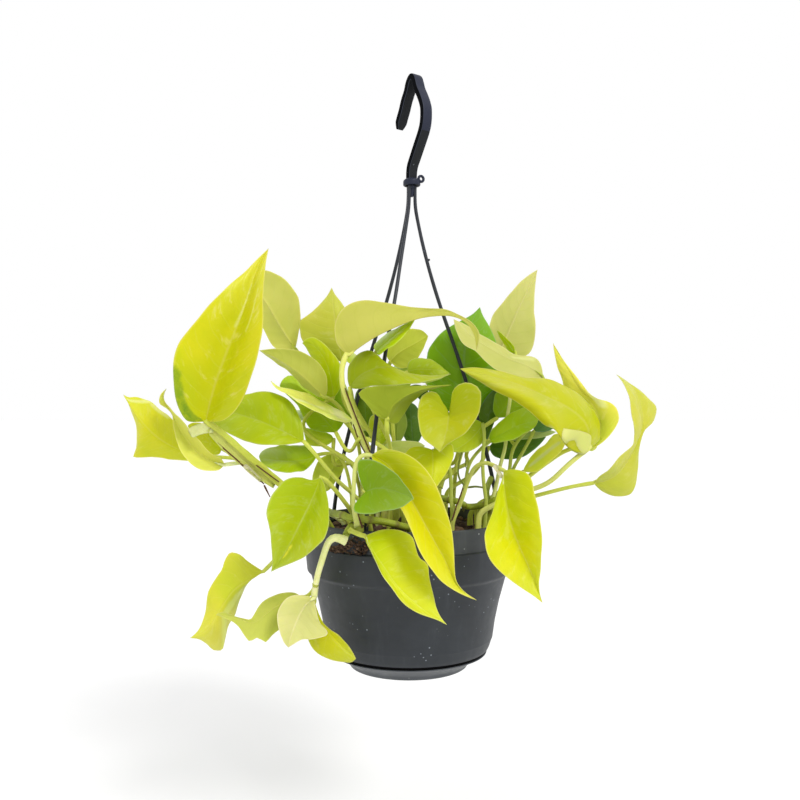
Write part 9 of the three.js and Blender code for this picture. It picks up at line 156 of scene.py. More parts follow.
SPILL = [(238.95, 8.24, 1.65), (246.62, 5.53, 1.81), (224.7, 1.56, 1.83), (239.58, 9.94, 0.84), (235.26, 2.4, 1.35), (237.77, 0.44, 0.96), (230.71, 4.76, 1.62), (227.83, 2.45, 0.87), (238.82, 1.66, 0.7), (244.91, 2.49, 0.96), (247.58, 4.79, 1.05), (247.08, 3.62, 1.51), (228.91, 3.53, 1.53), (247.2, 5.58, 1.06), (232.67, 1.37, 0.87), (225.56, 1.11, 1.42), (224.08, 2.13, 1.11), (231.44, 4.76, 1.28), (231.58, 2.98, 1.55), (225.37, 2.93, 0.73), (242.0, 9.34, 0.72), (242.91, 4.22, 1.39), (224.22, 0.43, 0.92), (246.92, 1.57, 1.61), (246.31, 7.53, 1.11), (232.52, 3.61, 1.63), (226.59, 2.32, 1.66), (244.63, 0.7, 1.83), (226.19, 1.22, 1.43), (246.03, 3.1, 1.81), (237.08, 3.41, 1.08), (228.26, 0.53, 0.88), (240.54, 10.96, 0.89), (225.17, 2.96, 1.34), (233.74, 2.03, 1.41), (243.83, 5.18, 1.21), (225.34, 2.77, 0.74), (235.85, 7.83, 0.86), (241.56, 10.46, 1.46), (242.91, 1.44, 1.22), (227.58, 2.58, 1.05), (234.88, 8.49, 1.72), (247.42, 2.77, 1.29), (241.51, 5.43, 1.05), (233.69, 1.36, 1.15), (247.72, 4.96, 1.45), (235.98, 3.38, 0.81), (230.54, 4.0, 1.74), (232.67, 5.36, 1.63), (240.67, 7.4, 1.61), (232.72, 4.86, 1.04), (235.66, 7.09, 1.53), (231.05, 5.16, 1.48), (237.94, 0.42, 1.36), (230.02, 3.2, 1.26), (243.6, 7.23, 1.66), (232.35, 4.28, 1.59), (243.88, 4.05, 1.71), (244.88, 7.56, 1.87), (246.96, 3.61, 1.34), (227.99, 2.56, 1.82), (235.45, 6.29, 1.56), (241.53, 2.14, 1.64), (237.94, 7.39, 1.2), (238.97, 8.59, 1.46), (241.29, 0.6, 0.89), (234.59, 5.48, 0.96), (240.46, 7.05, 0.75), (235.32, 2.24, 0.76), (227.2, 1.16, 0.92), (228.64, 0.41, 1.26), (233.13, 4.46, 1.41), (229.71, 3.97, 0.7), (233.73, 2.33, 1.19), (226.76, 2.54, 1.15), (224.87, 1.96, 0.81), (237.09, 3.68, 1.4), (247.0, 5.46, 1.2), (243.51, 7.17, 1.14), (227.41, 1.91, 1.38), (246.97, 6.45, 1.43), (232.43, 5.88, 0.7), (226.59, 1.83, 1.44), (227.38, 2.0, 1.77), (233.02, 3.2, 0.97), (231.0, 5.26, 1.16), (247.07, 5.93, 1.41), (230.24, 4.7, 1.3), (233.97, 2.69, 1.88), (235.8, 2.86, 1.27), (226.93, 1.98, 1.23), (231.03, 4.31, 1.69), (224.32, 1.74, 1.03), (246.45, 6.09, 0.99), (230.42, 1.02, 1.89), (231.04, 3.42, 1.27), (239.48, 6.76, 1.59), (226.84, 2.35, 1.06), (236.8, 3.57, 1.06), (236.72, 4.79, 1.13), (241.88, 6.62, 0.74), (230.06, 2.28, 1.8), (245.31, 5.58, 0.72), (242.68, 4.88, 1.39), (241.0, 7.06, 1.28), (245.88, 3.59, 1.17), (244.45, 2.54, 1.06), (243.92, 1.01, 1.7), (240.67, 4.93, 1.04), (242.74, 10.04, 0.87), (235.48, 5.07, 1.3), (231.94, 1.2, 1.4), (243.48, 1.03, 0.98), (243.67, 8.77, 1.5), (224.61, 2.25, 1.87), (247.96, 3.37, 0.76), (244.21, 2.9, 1.47), (246.85, 5.0, 0.86), (231.02, 5.0, 0.88), (238.65, 4.73, 0.89), (238.94, 0.77, 0.83), (233.1, 0.79, 0.77), (237.81, 8.13, 1.75), (227.22, 1.47, 1.08), (238.41, 5.54, 1.83), (232.98, 0.67, 1.54), (227.63, 2.0, 1.31), (245.85, 5.07, 1.45), (230.32, 2.81, 1.01), (242.01, 5.83, 0.86), (229.63, 1.79, 1.58), (228.3, 2.4, 1.49), (226.05, 2.1, 0.81), (226.99, 1.9, 0.99), (245.05, 5.2, 1.09), (243.12, 0.62, 1.57), (225.29, 0.71, 1.84), (240.35, 2.69, 0.84), (247.34, 4.03, 1.68), (227.35, 1.99, 1.13), (229.64, 1.64, 1.44), (232.37, 2.69, 0.86), (243.95, 7.23, 1.67), (234.4, 6.96, 1.32), (238.22, 6.43, 1.59), (233.49, 0.99, 0.74), (228.86, 0.43, 1.77), (235.54, 6.94, 0.7), (235.28, 7.89, 1.44), (234.29, 3.9, 0.82)]
ROOTS = [(225.9, 231.2, 91.98, 0.33, 2.8), (225.9, 230.6, 92.21, 0.27, -0.8), (227.5, 230.7, 92.76, 0.48, -0.3), (240.8, 247.9, 97.1, 0.35, 3.2), (225.2, 230.0, 93.2, 0.41, 1.9), (226.1, 229.3, 92.08, 0.28, -2.0), (230.6, 235.8, 95.2, 0.31, 0.3), (228.4, 235.7, 93.36, 0.27, -1.1), (235.8, 242.6, 98.95, 0.34, 3.4), (223.1, 230.8, 91.75, 0.33, -2.2), (233.4, 239.5, 97.47, 0.32, -1.9), (224.4, 230.3, 93.76, 0.48, -2.2), (227.6, 233.0, 91.72, 0.24, -1.0), (230.7, 234.1, 92.76, 0.23, 3.3), (226.4, 231.8, 92.82, 0.37, -2.0), (229.0, 235.2, 91.86, 0.48, 1.1), (239.3, 242.4, 93.32, 0.37, 0.4), (233.9, 240.6, 93.97, 0.42, 3.0), (228.8, 236.8, 92.68, 0.28, -1.8), (228.9, 236.6, 91.81, 0.45, -0.6), (225.5, 229.9, 91.8, 0.24, 0.1), (234.0, 237.3, 93.16, 0.42, -2.2), (226.8, 232.0, 92.29, 0.25, 0.0), (229.0, 235.3, 93.41, 0.47, 1.4), (237.4, 243.1, 96.2, 0.45, 1.4), (241.1, 248.3, 97.42, 0.29, 2.4)]
SHEATHS = [([[-43.28, -59.94, 202.07], [-41.82, -56.13, 197.38], [-40.32, -52.63, 192.64], [-38.12, -49.15, 186.47], [-35.88, -45.93, 180.24], [-33.62, -42.62, 173.95], [-31.32, -39.56, 167.59], [-29.33, -37.01, 162.6], [-27.32, -34.34, 157.56]], 0.5, 0.45, 0.6, 1), ([[-35.76, -69.08, 125.8], [-35.08, -69.6, 122.22], [-34.36, -70.88, 118.75], [-33.31, -72.02, 116.25], [-32.27, -73.23, 113.78], [-31.57, -74.34, 111.96], [-30.89, -74.77, 110.06]], 0.6, 0.6, 0.6, 1), ([[-136.97, -46.04, 174.74], [-134.03, -45.3, 171.28], [-131.02, -44.87, 167.82], [-127.7, -44.22, 164.17], [-124.43, -43.29, 160.5], [-120.85, -42.06, 156.97], [-117.33, -40.48, 153.41], [-113.53, -38.31, 149.96], [-109.82, -35.5, 146.44], [-106.04, -32.83, 142.72], [-102.12, -30.88, 139.04], [-98.45, -29.47, 136.45], [-94.76, -28.07, 133.85]], 3.9, 3.0, 0.8, 5), ([[-134.18, -46.24, 166.5], [-130.18, -45.61, 162.86], [-126.24, -44.63, 159.19], [-121.7, -43.08, 154.96], [-117.22, -41.07, 150.67]], 0.5, 0.5, 0.6, 1), ([[-117.24, -40.95, 150.32], [-113.52, -38.37, 146.65], [-109.81, -35.58, 142.95], [-106.01, -33.07, 138.88], [-102.08, -31.17, 134.84]], 0.55, 0.45, 0.6, 1), ([[-106.6, -38.13, 148.73], [-102.76, -35.91, 145.42], [-98.8, -34.34, 142.15], [-95.12, -33.06, 139.23], [-91.46, -31.55, 136.29]], 0.5, 0.45, 0.6, 1), ([[-114.67, -39.77, 148.84], [-112.23, -37.8, 146.09], [-109.79, -35.68, 143.3], [-106.95, -33.76, 140.17], [-104.03, -32.18, 137.05]], 2.2, 1.6, 1.2, 2), ([[-102.14, -30.77, 134.1], [-101.17, -30.17, 131.93], [-100.2, -29.58, 129.75], [-99.23, -28.96, 127.57], [-98.26, -28.33, 125.38]], 1.0, 0.5, 1.6, 1), ([[-150.73, -46.0, 170.62], [-148.33, -46.0, 171.99], [-145.92, -46.0, 173.37], [-143.17, -46.0, 174.05], [-140.42, -46.0, 174.74], [-137.67, -46.0, 175.09], [-134.91, -46.0, 175.43]], 3.6, 4.2, 0.5, 6), ([[-40.62, -7.77, 176.47], [-39.18, -7.43, 172.08], [-37.75, -6.68, 167.67], [-36.32, -6.01, 163.98], [-34.87, -5.7, 160.3], [-32.66, -5.93, 156.65], [-30.46, -6.03, 153.0]], 0.45, 0.4, 0.6, 1), ([[29.54, -42.34, 110.29], [30.82, -42.21, 114.42], [32.16, -41.32, 118.47], [33.58, -41.32, 122.28], [34.98, -41.62, 126.12], [36.15, -41.82, 129.61], [37.3, -42.15, 133.1]], 0.5, 0.4, 0.6, 1), ([[57.07, -58.24, 150.18], [58.35, -58.87, 148.2], [59.76, -58.35, 146.14], [60.98, -59.52, 143.88], [62.21, -60.52, 141.61]], 1.9, 1.5, 1.2, 2), ([[64.73, -6.0, 130.3], [63.63, -6.0, 127.0], [62.53, -6.0, 123.71], [59.97, -6.0, 121.51], [57.4, -6.0, 119.31], [51.18, -6.0, 118.22], [44.96, -6.0, 117.12]], 0.8, 0.5, 1.0, 2), ([[42.61, -8.0, 130.12], [45.53, -8.0, 130.49], [48.45, -8.0, 130.86], [52.83, -8.0, 130.31], [57.21, -8.0, 129.76]], 1.6, 1.4, 2.2, 4), ([[60.29, -10.0, 138.69], [59.02, -10.0, 135.78], [57.74, -10.0, 132.87], [57.2, -10.0, 129.96], [56.65, -10.0, 127.04], [57.56, -10.0, 123.77], [58.47, -10.0, 120.49]], 2.4, 1.6, 1.2, 4), ([[37.5, -24.0, 156.96], [36.43, -24.0, 153.05], [35.37, -24.0, 149.13], [35.01, -24.0, 145.57], [34.65, -24.0, 142.01], [35.54, -24.0, 139.16], [36.43, -24.0, 136.31], [38.57, -24.0, 134.17], [40.71, -24.0, 132.04]], 1.7, 1.7, 2.6, 4), ([[40.56, -26.0, 153.53], [40.2, -26.0, 151.05], [39.85, -26.0, 148.56], [40.56, -26.0, 146.07], [41.27, -26.0, 143.59], [42.34, -26.0, 141.46], [43.4, -26.0, 139.33]], 0.7, 0.7, 2.4, 4)]
KEY_W, BACK_W = 1.3, 4.0

HANG = np.array([4.4, -2.8, 429.4])      # hang point, mm, from the middle of the saucer's underside


def P(p):
    """millimetres from the saucer's underside to metres from the hang point"""
    return (np.asarray(p, float) - HANG) / 1000.0


# ------------------------------------------------------------------------------------------------ numeric helpers
def cubic(y, x, mono=0.5):
    """y (n, ...) at uniform stations 0..n-1, sampled at x; a blend of a monotone and a Catmull-Rom cubic"""
    y = np.asarray(y, float); x = np.asarray(x, float); n = len(y)
    d = y[1:] - y[:-1]
    cr = np.empty_like(y); cr[1:-1] = (d[1:] + d[:-1]) / 2; cr[0] = d[0] * 1.5 - cr[1] * 0.5; cr[-1] = d[-1] * 1.5 - cr[-2] * 0.5
    mo = np.zeros_like(y)
    a, b = d[:-1], d[1:]; same = (a * b) > 0
    with np.errstate(divide="ignore", invalid="ignore"):
        h = 2 * a * b / (a + b)
    mo[1:-1] = np.where(same, np.nan_to_num(h), 0); mo[0] = cr[0]; mo[-1] = cr[-1]
    m = mono * mo + (1 - mono) * cr
    i = np.clip(np.floor(x).astype(int), 0, n - 2); t = (x - i).reshape((-1,) + (1,) * (y.ndim - 1))
    t2, t3 = t * t, t * t * t
    return (2 * t3 - 3 * t2 + 1) * y[i] + (t3 - 2 * t2 + t) * m[i] + (-2 * t3 + 3 * t2) * y[i + 1] + (t3 - t2) * m[i + 1]


def unit(v, axis=-1):
    return v / (np.linalg.norm(v, axis=axis, keepdims=True) + 1e-12)


def along(path, step=None, n=None):
    """points at even steps along a polyline, smoothed by a cubic"""
    p = np.asarray(path, float); d = np.r_[0, np.cumsum(np.linalg.norm(np.diff(p, axis=0), axis=1))]
    k = n or max(6, int(d[-1] / step) + 1)
    s = np.linspace(0, d[-1], k)
    return np.stack([np.interp(s, d, p[:, c]) for c in range(3)], -1)


class Mesh:
    """gathers vertices and faces of one piece"""
    def __init__(self):
        self.v, self.f, self.m, self.uv, self.at = [], [], [], [], []

    def grid(self, G, wrap=False, mat=0, uv=None, attr=None, flip=False):
        """G (nu, nv, 3); uv (nu, nv, 2); attr (nu, nv, 4)"""
        nu, nv = G.shape[:2]; base = sum(len(a) for a in self.v)
        self.v.append(G.reshape(-1, 3))
        self.uv.append(np.zeros((nu * nv, 2)) if uv is None else uv.reshape(-1, 2))
        self.at.append(np.zeros((nu * nv, 4)) if attr is None else attr.reshape(-1, 4))
        i, j = np.meshgrid(np.arange(nu - 1), np.arange(nv if wrap else nv - 1), indexing="ij"); j2 = (j + 1) % nv
        q = np.stack([i * nv + j, (i + 1) * nv + j, (i + 1) * nv + j2, i * nv + j2], -1).reshape(-1, 4) + base
        if flip:
            q = q[:, ::-1]
        self.f += q.tolist(); self.m += [mat] * len(q)
        return base

    def fan(self, ring, centre, mat=0, flip=False, uv=(0, 0), attr=(0, 0, 0, 0)):
        """closes an open end: ring is a list of vertex indices"""
        base = sum(len(a) for a in self.v)
        self.v.append(np.asarray([centre], float)); self.uv.append(np.asarray([uv], float)); self.at.append(np.asarray([attr], float))
        n = len(ring)
        for k in range(n):
            t = [ring[k], ring[(k + 1) % n], base]
            self.f.append(t[::-1] if flip else t); self.m.append(mat)

    def make(self, name, mats, merge=2e-6, smooth=True):
        me = bpy.data.meshes.new(name)
        V = np.concatenate(self.v)
        me.from_pydata(V.tolist(), [], self.f)
        UV = np.concatenate(self.uv); A = np.concatenate(self.at)
        layer = me.uv_layers.new(name="uv")
        idx = np.empty(len(me.loops), int); me.loops.foreach_get("vertex_index", idx)
        layer.data.foreach_set("uv", UV[idx].astype(np.float32).ravel())
        at = me.attributes.new("part", "FLOAT_COLOR", "POINT")
        at.data.foreach_set("color", A.astype(np.float32).ravel())
        for m in mats:
            me.materials.append(m)
        me.polygons.foreach_set("material_index", self.m)
        bm = bmesh.new(); bm.from_mesh(me)
        if merge:
            bmesh.ops.remove_doubles(bm, verts=bm.verts, dist=merge)
        bmesh.ops.dissolve_degenerate(bm, edges=bm.edges, dist=1e-7)
        bm.to_mesh(me); bm.free()
        me.polygons.foreach_set("use_smooth", [smooth] * len(me.polygons))
        me.update(); me.validate()
        ob = bpy.data.objects.new(name, me); bpy.context.scene.collection.objects.link(ob)
        return ob


def tube_rings(path, radii, sides, squash=None, groove=None, ref=None):
    """rings (n, sides, 3) round a path without twist"""
    p = np.asarray(path, float); n = len(p)
    t = unit(np.gradient(p, axis=0)); rings = np.empty((n, sides, 3))
    r = np.broadcast_to(np.asarray(radii, float), (n,))
    s = ref if ref is not None else (np.array([1.0, 0, 0]) if abs(t[0, 2]) > 0.8 else np.array([0, 0, 1.0]))
    s = s - t[0] * np.dot(s, t[0]); s /= np.linalg.norm(s)
    a = np.arange(sides) / sides * 2 * math.pi
    for i in range(n):
        s = s - t[i] * np.dot(s, t[i]); s /= np.linalg.norm(s); u = np.cross(t[i], s)
        rr = r[i] * np.ones(sides)
        if groove is not None:
            rr = rr * (1 - groove * np.exp(-((np.angle(np.exp(1j * (a)))) / 0.42) ** 2))
        rings[i] = p[i] + np.outer(np.cos(a) * rr, s) + np.outer(np.sin(a) * rr, u)
    return rings


def cap(mesh, base, i, nv, centre, flip, **k):
    mesh.fan([base + i * nv + j for j in range(nv)], centre, flip=flip, **k)


# ------------------------------------------------------------------------------------------------ node materials
def nodes_of(name):
    m = bpy.data.materials.new(name); m.use_nodes = True
    nt = m.node_tree; nt.nodes.clear()
    out = nt.nodes.new("ShaderNodeOutputMaterial"); b = nt.nodes.new("ShaderNodeBsdfPrincipled")
    nt.links.new(b.outputs[0], out.inputs[0])
    return m, nt, b, out


class N:
    """short hand for a node tree"""
    def __init__(self, nt):
        self.nt = nt

    def new(self, kind, **k):
        n = self.nt.nodes.new(kind)
        for a, v in k.items():
            setattr(n, a, v)
        return n

    def put(self, sock, v):
        if isinstance(v, bpy.types.NodeSocket):
            self.nt.links.new(v, sock)
        else:
            sock.default_value = v

    def math(self, op, a, b=0.0, c=0.0, clamp=False):
        n = self.new("ShaderNodeMath", operation=op, use_clamp=clamp)
        self.put(n.inputs[0], a); self.put(n.inputs[1], b); self.put(n.inputs[2], c)
        return n.outputs[0]

    def mix(self, f, a, b, blend="MIX"):
        n = self.new("ShaderNodeMix", data_type="RGBA", blend_type=blend)
        self.put(n.inputs[0], f); self.put(n.inputs[6], a); self.put(n.inputs[7], b)
        return n.outputs[2]

    def ramp(self, v, lo, hi, a=0.0, b=1.0, smooth=True):
        n = self.new("ShaderNodeMapRange", interpolation_type="SMOOTHSTEP" if smooth else "LINEAR")
        self.put(n.inputs[0], v); self.put(n.inputs[1], lo); self.put(n.inputs[2], hi); self.put(n.inputs[3], a); self.put(n.inputs[4], b)
        return n.outputs[0]

    def noise(self, vec, scale, detail=2.0, rough=0.5, dist=0.0, w=None):
        n = self.new("ShaderNodeTexNoise")
        if w is not None:
            n.noise_dimensions = "4D"; self.put(n.inputs["W"], w)
        self.put(n.inputs["Vector"], vec); n.inputs["Scale"].default_value = scale
        n.inputs["Detail"].default_value = detail; n.inputs["Roughness"].default_value = rough; n.inputs["Distortion"].default_value = dist
        return n.outputs["Fac"]

    def bump(self, h, strength=1.0, dist=0.001, normal=None):
        n = self.new("ShaderNodeBump"); n.inputs["Strength"].default_value = strength; n.inputs["Distance"].default_value = dist
        self.put(n.inputs["Height"], h)
        if normal is not None:
            self.put(n.inputs["Normal"], normal)
        return n.outputs[0]

    def xyz(self, v):
        n = self.new("ShaderNodeSeparateXYZ"); self.put(n.inputs[0], v)
        return n.outputs[0], n.outputs[1], n.outputs[2]

    def scale(self, v, s):
        n = self.new("ShaderNodeVectorMath", operation="MULTIPLY"); self.put(n.inputs[0], v); n.inputs[1].default_value = s
        return n.outputs[0]


def lin(r, g, b, a=1.0):
    f = lambda c: (c / 255 / 12.92) if c / 255 <= 0.04045 else ((c / 255 + 0.055) / 1.055) ** 2.4
    return (f(r), f(g), f(b), a)


STALK = lin(204, 210, 92)


def leaf_material(name, top, under, veins, streak, seed, nveins=9, gloss=0.36, edge=0.5, tipdark=0.0, blot=0.0, stalk_tone=STALK, spots_and_highlights=(), size=(80.0, 50.0), vis=1.0):
    """top, under, veins: linear colours. The part attribute holds: x side (1 top, 0 underside), y stalk (1 on the stalk),
    z distance from the margin (0 at the edge), w spare."""
    m, nt, b, out = nodes_of(name); n = N(nt)
    uv = n.new("ShaderNodeUVMap", uv_map="uv").outputs[0]; u, v, _ = n.xyz(uv)
    at = n.new("ShaderNodeAttribute", attribute_name="part"); side, stalk, marg = n.xyz(at.outputs["Vector"])
    geo = n.new("ShaderNodeTexCoord").outputs["Object"]
    av = n.math("ABSOLUTE", n.math("SUBTRACT", v, 0.5)); av = n.math("MULTIPLY", av, 2.0)          # 0 midrib, 1 edge
    wob = n.math("MULTIPLY", n.math("SUBTRACT", n.noise(geo, 60, 2, 0.5, 0, seed), 0.5), 0.10)
    ph = n.math("ADD", n.math("MULTIPLY", n.math("SUBTRACT", u, n.math("MULTIPLY", n.math("POWER", av, 1.35), 0.17)), float(nveins)), n.math("MULTIPLY", wob, 6.0))
    left = n.math("GREATER_THAN", v, 0.5); ph = n.math("ADD", ph, n.math("MULTIPLY", left, 0.41))
    fr = n.math("ABSOLUTE", n.math("SUBTRACT", n.math("FRACT", ph), 0.5))                            # 0 on a vein, .5 between
    vein = n.math("MULTIPLY", n.ramp(fr, 0.0, 0.075, 1.0, 0.0), n.ramp(av, 0.82, 1.0, 1.0, 0.0))
    ph2 = n.math("MULTIPLY", ph, 3.0); fr2 = n.math("ABSOLUTE", n.math("SUBTRACT", n.math("FRACT", ph2), 0.5))
    vein2 = n.ramp(fr2, 0.0, 0.16, 0.35, 0.0)
    mid = n.ramp(av, 0.012, 0.055, 1.0, 0.0)
    # colour
    big = n.noise(geo, 22, 3, 0.55, 0.4, seed + 3.1); fine = n.noise(geo, 420, 3, 0.6, 0, seed)
    st = n.new("ShaderNodeCombineXYZ"); n.put(st.inputs[0], n.math("MULTIPLY", ph, 0.9)); n.put(st.inputs[1], n.math("MULTIPLY", av, 1.3)); n.put(st.inputs[2], seed * 1.7 + 0.0)
    strk = n.noise(st.outputs[0], 1.6, 3, 0.62, 0.2)
    c = n.mix(n.ramp(big, 0.35, 0.72), top, [top[0] * 1.13, top[1] * 1.06, top[2] * 1.6, 1])
    c = n.mix(n.ramp(big, 0.5, 0.18, 0.0, 0.55), c, [top[0] * 0.78, top[1] * 0.90, top[2] * 0.6, 1])
    c = n.mix(n.ramp(n.math("ADD", u, n.math("MULTIPLY", n.math("SUBTRACT", big, 0.5), 0.7)), 0.0, 0.75, 0.38, 0.0), c, [top[0] * 0.66, top[1] * 0.88, top[2] * 0.6, 1])
    c = n.mix(n.ramp(n.math("ADD", u, n.math("MULTIPLY", n.math("SUBTRACT", strk, 0.5), 0.5)), 0.5, 1.0, 0.0, 0.5), c, [min(1, top[0] * 1.02 + 0.03), min(1, top[1] * 1.06 + 0.035), top[2] + 0.06, 1])
    c = n.mix(n.math("MULTIPLY", n.ramp(strk, 0.56, 0.70), streak), c, [min(1, top[0] * 1.05 + 0.14), min(1, top[1] * 1.0 + 0.12), top[2] * 1.0 + 0.20, 1])
    if blot:
        bl = n.noise(geo, 34, 4, 0.6, 0.9, seed + 9.3)
        c = n.mix(n.math("MULTIPLY", n.ramp(bl, 0.60, 0.68), blot), c, [top[0] * 0.45, top[1] * 0.66, top[2] * 0.6, 1])
    if tipdark:
        c = n.mix(n.ramp(u, 0.62, 1.0, 0.0, tipdark), c, [top[0] * 0.62, top[1] * 0.84, top[2] * 0.7, 1])
    c = n.mix(n.ramp(fine, 0.3, 0.75, 0.0, 0.16), c, [top[0] * 0.80, top[1] * 0.88, top[2] * 0.7, 1])
    c = n.mix(n.math("MULTIPLY", vein, 0.10 * vis), c, veins)
    c = n.mix(n.math("MULTIPLY", mid, 0.24 * min(vis, 1.6)), c, veins)
    un = n.mix(n.math("MULTIPLY", vein, 0.16 * vis), n.mix(n.ramp(big, 0.3, 0.7), under, [under[0] * 0.88, under[1] * 0.92, under[2] * 0.75, 1]), [under[0] * 0.80, under[1] * 0.88, under[2] * 0.62, 1])
    un = n.mix(n.math("MULTIPLY", mid, 0.5), un, [min(1, under[0] * 1.1), min(1, under[1] * 1.06), min(1, under[2] * 1.35), 1])
    c = n.mix(side, un, c)
    c = n.mix(n.math("MULTIPLY", n.ramp(marg, 0.0, 1.0, 1.0, 0.0), edge), c, [min(1, veins[0] * 1.05), min(1, veins[1] * 1.03), min(1, veins[2] * 1.2), 1])
    # pale or dark areas on this leaf, given along a short line on the blade (u, v), with a width in mm: some are its
    # own colour, some are painted highlights and painted reflections where the blade turns to the light
    if spots_and_highlights:
        pu = n.math("MULTIPLY", u, size[0]); pv = n.math("MULTIPLY", v, size[1])
        warp = n.math("MULTIPLY", n.math("SUBTRACT", n.noise(geo, 150, 4, 0.65, 0.4, seed + 21.0), 0.5), 1.0)
    for (u0, v0, u1, v1, wid, tone, amount, soft, rough_) in spots_and_highlights:
        x0, y0, x1, y1 = u0 * size[0], v0 * size[1], u1 * size[0], v1 * size[1]; dx, dy = x1 - x0, y1 - y0; l2 = max(dx * dx + dy * dy, 1e-4)
        tx = n.math("SUBTRACT", pu, x0); ty = n.math("SUBTRACT", pv, y0)
        tt_ = n.math("DIVIDE", n.math("ADD", n.math("MULTIPLY", tx, dx), n.math("MULTIPLY", ty, dy)), l2, 0.0, True)
        ex = n.math("SUBTRACT", tx, n.math("MULTIPLY", tt_, dx)); ey = n.math("SUBTRACT", ty, n.math("MULTIPLY", tt_, dy))
        d_ = n.math("SQRT", n.math("ADD", n.math("MULTIPLY", ex, ex), n.math("MULTIPLY", ey, ey)))
        d_ = n.math("ADD", d_, n.math("MULTIPLY", warp, wid * 1.6 * (0.35 + rough_)))
        mk = n.ramp(d_, wid * (1 - soft), wid * (1 + soft), amount, 0.0)
        if rough_ > 0.3:
            mk = n.math("MULTIPLY", mk, n.ramp(n.noise(geo, 330, 4, 0.7, 0.2, seed + 31.0), 0.36, 0.58, 1 - rough_, 1.0))
        c = n.mix(mk, c, lin(*tone))
    # stalk colour: pale cream green with fine lengthwise streaks
    sx, sy, sz = n.xyz(geo)
    sn = n.noise(n.scale(uv, (6.0, 26.0, 1.0)), 3.0, 3, 0.6)
    s0 = stalk_tone; sbig = n.noise(geo, 75, 3, 0.55, 0.3, seed + 5.0)
    sc = n.mix(n.ramp(sn, 0.3, 0.75), [s0[0] * 0.80, s0[1] * 0.84, s0[2] * 0.66, 1], [min(1, s0[0] * 1.10), min(1, s0[1] * 1.07), min(1, s0[2] * 1.25), 1])
    sc = n.mix(n.ramp(sbig, 0.45, 0.72, 0.0, 0.45), sc, [s0[0] * 0.72, s0[1] * 0.80, s0[2] * 0.42, 1])
    c = n.mix(stalk, c, sc)
    n.put(b.inputs["Base Color"], c)
    # surface
    r = n.math("ADD", gloss, n.math("MULTIPLY", n.math("SUBTRACT", n.noise(geo, 150, 2, 0.5), 0.5), 0.12))
    r = n.math("ADD", r, n.math("MULTIPLY", n.math("SUBTRACT", 1.0, side), 0.16))
    n.put(b.inputs["Roughness"], r)
    quilt = n.math("MULTIPLY", n.math("COSINE", n.math("MULTIPLY", n.math("ADD", ph, 0.5), 2 * math.pi)), n.ramp(av, 0.0, 0.35, 0.0, 1.0))
    h = n.math("ADD", n.math("MULTIPLY", quilt, -0.05), n.math("MULTIPLY", vein, -0.05))
    h = n.math("ADD", h, n.math("MULTIPLY", n.math("SUBTRACT", n.noise(geo, 700, 2, 0.5), 0.5), 0.06))
    h = n.math("ADD", h, n.math("MULTIPLY", vein2, -0.03))
    sgn = n.math("SUBTRACT", n.math("MULTIPLY", side, 2.0), 1.0)
    h = n.math("MULTIPLY", h, n.math("MULTIPLY", sgn, n.math("SUBTRACT", 1.0, stalk)))
    n.put(b.inputs["Normal"], n.bump(h, 0.8, 0.001))
    b.inputs["Subsurface Weight"].default_value = 0.28
    b.inputs["Subsurface Radius"].default_value = (0.8, 1.0, 0.25)
    b.inputs["Subsurface Scale"].default_value = 0.0012
    b.inputs["Specular IOR Level"].default_value = 0.26
    b.inputs["Specular Tint"].default_value = (0.96, 1.0, 0.55, 1.0)
    return m


def plastic(name, base, light, dust=0.3, rough=0.46, streaks=0.4, seed=1.0, scuff=0.0, bump=0.25, spec=0.45):
    m, nt, b, out = nodes_of(name); n = N(nt)
    geo = n.new("ShaderNodeTexCoord").outputs["Object"]; x, y, z = n.xyz(geo)
    big = n.noise(geo, 26, 4, 0.6, 0.6, seed); mid = n.noise(geo, 160, 4, 0.62, 0.2, seed + 2)
    c = n.mix(n.ramp(big, 0.32, 0.72, 0.0, dust), base, light)
    # water marks run down the wall
    st = n.scale(geo, (140.0, 140.0, 9.0)); sn = n.noise(st, 1.0, 3, 0.65, 0.1, seed + 5)
    c = n.mix(n.ramp(sn, 0.52, 0.78, 0.0, streaks), c, light)
    c = n.mix(n.ramp(mid, 0.60, 0.80, 0.0, 0.22), c, [base[0] * 0.6, base[1] * 0.6, base[2] * 0.6, 1])
    # dust specks
    vo = n.new("ShaderNodeTexVoronoi"); n.put(vo.inputs["Vector"], geo); vo.inputs["Scale"].default_value = 210; vo.inputs["Randomness"].default_value = 1
    sp = n.math("MULTIPLY", n.ramp(vo.outputs["Distance"], 0.08, 0.14, 1.0, 0.0), n.ramp(n.noise(geo, 38, 2, 0.5, 0, seed + 8), 0.49, 0.60))
    c = n.mix(n.math("MULTIPLY", sp, 0.8), c, [min(.6, light[0] * 6.5), min(.6, light[1] * 6.2), min(.6, light[2] * 6.0), 1])
    if scuff:
        sc = n.noise(n.scale(geo, (60.0, 60.0, 420.0)), 1.0, 4, 0.7, 0.4, seed + 3)
        c = n.mix(n.ramp(sc, 0.6, 0.74, 0.0, scuff), c, [min(1, light[0] * 2.0), min(1, light[1] * 2.0), min(1, light[2] * 2.0), 1])
    n.put(b.inputs["Base Color"], c)
    n.put(b.inputs["Roughness"], n.math("ADD", rough, n.math("MULTIPLY", n.math("SUBTRACT", mid, 0.5), 0.25)))
    h = n.math("ADD", n.math("MULTIPLY", n.noise(geo, 1600, 2, 0.5), 0.05), n.math("MULTIPLY", mid, 0.10))
    n.put(b.inputs["Normal"], n.bump(h, bump, 0.001))
    b.inputs["Specular IOR Level"].default_value = spec
    return m


# ------------------------------------------------------------------------------------------------ leaves
HALF = [0.0, 0.022, 0.055, 0.11, 0.19, 0.29, 0.40, 0.52, 0.64, 0.76, 0.86, 0.935, 0.978, 1.0]
VS = np.array([-v for v in HALF[::-1]] + HALF[1:])


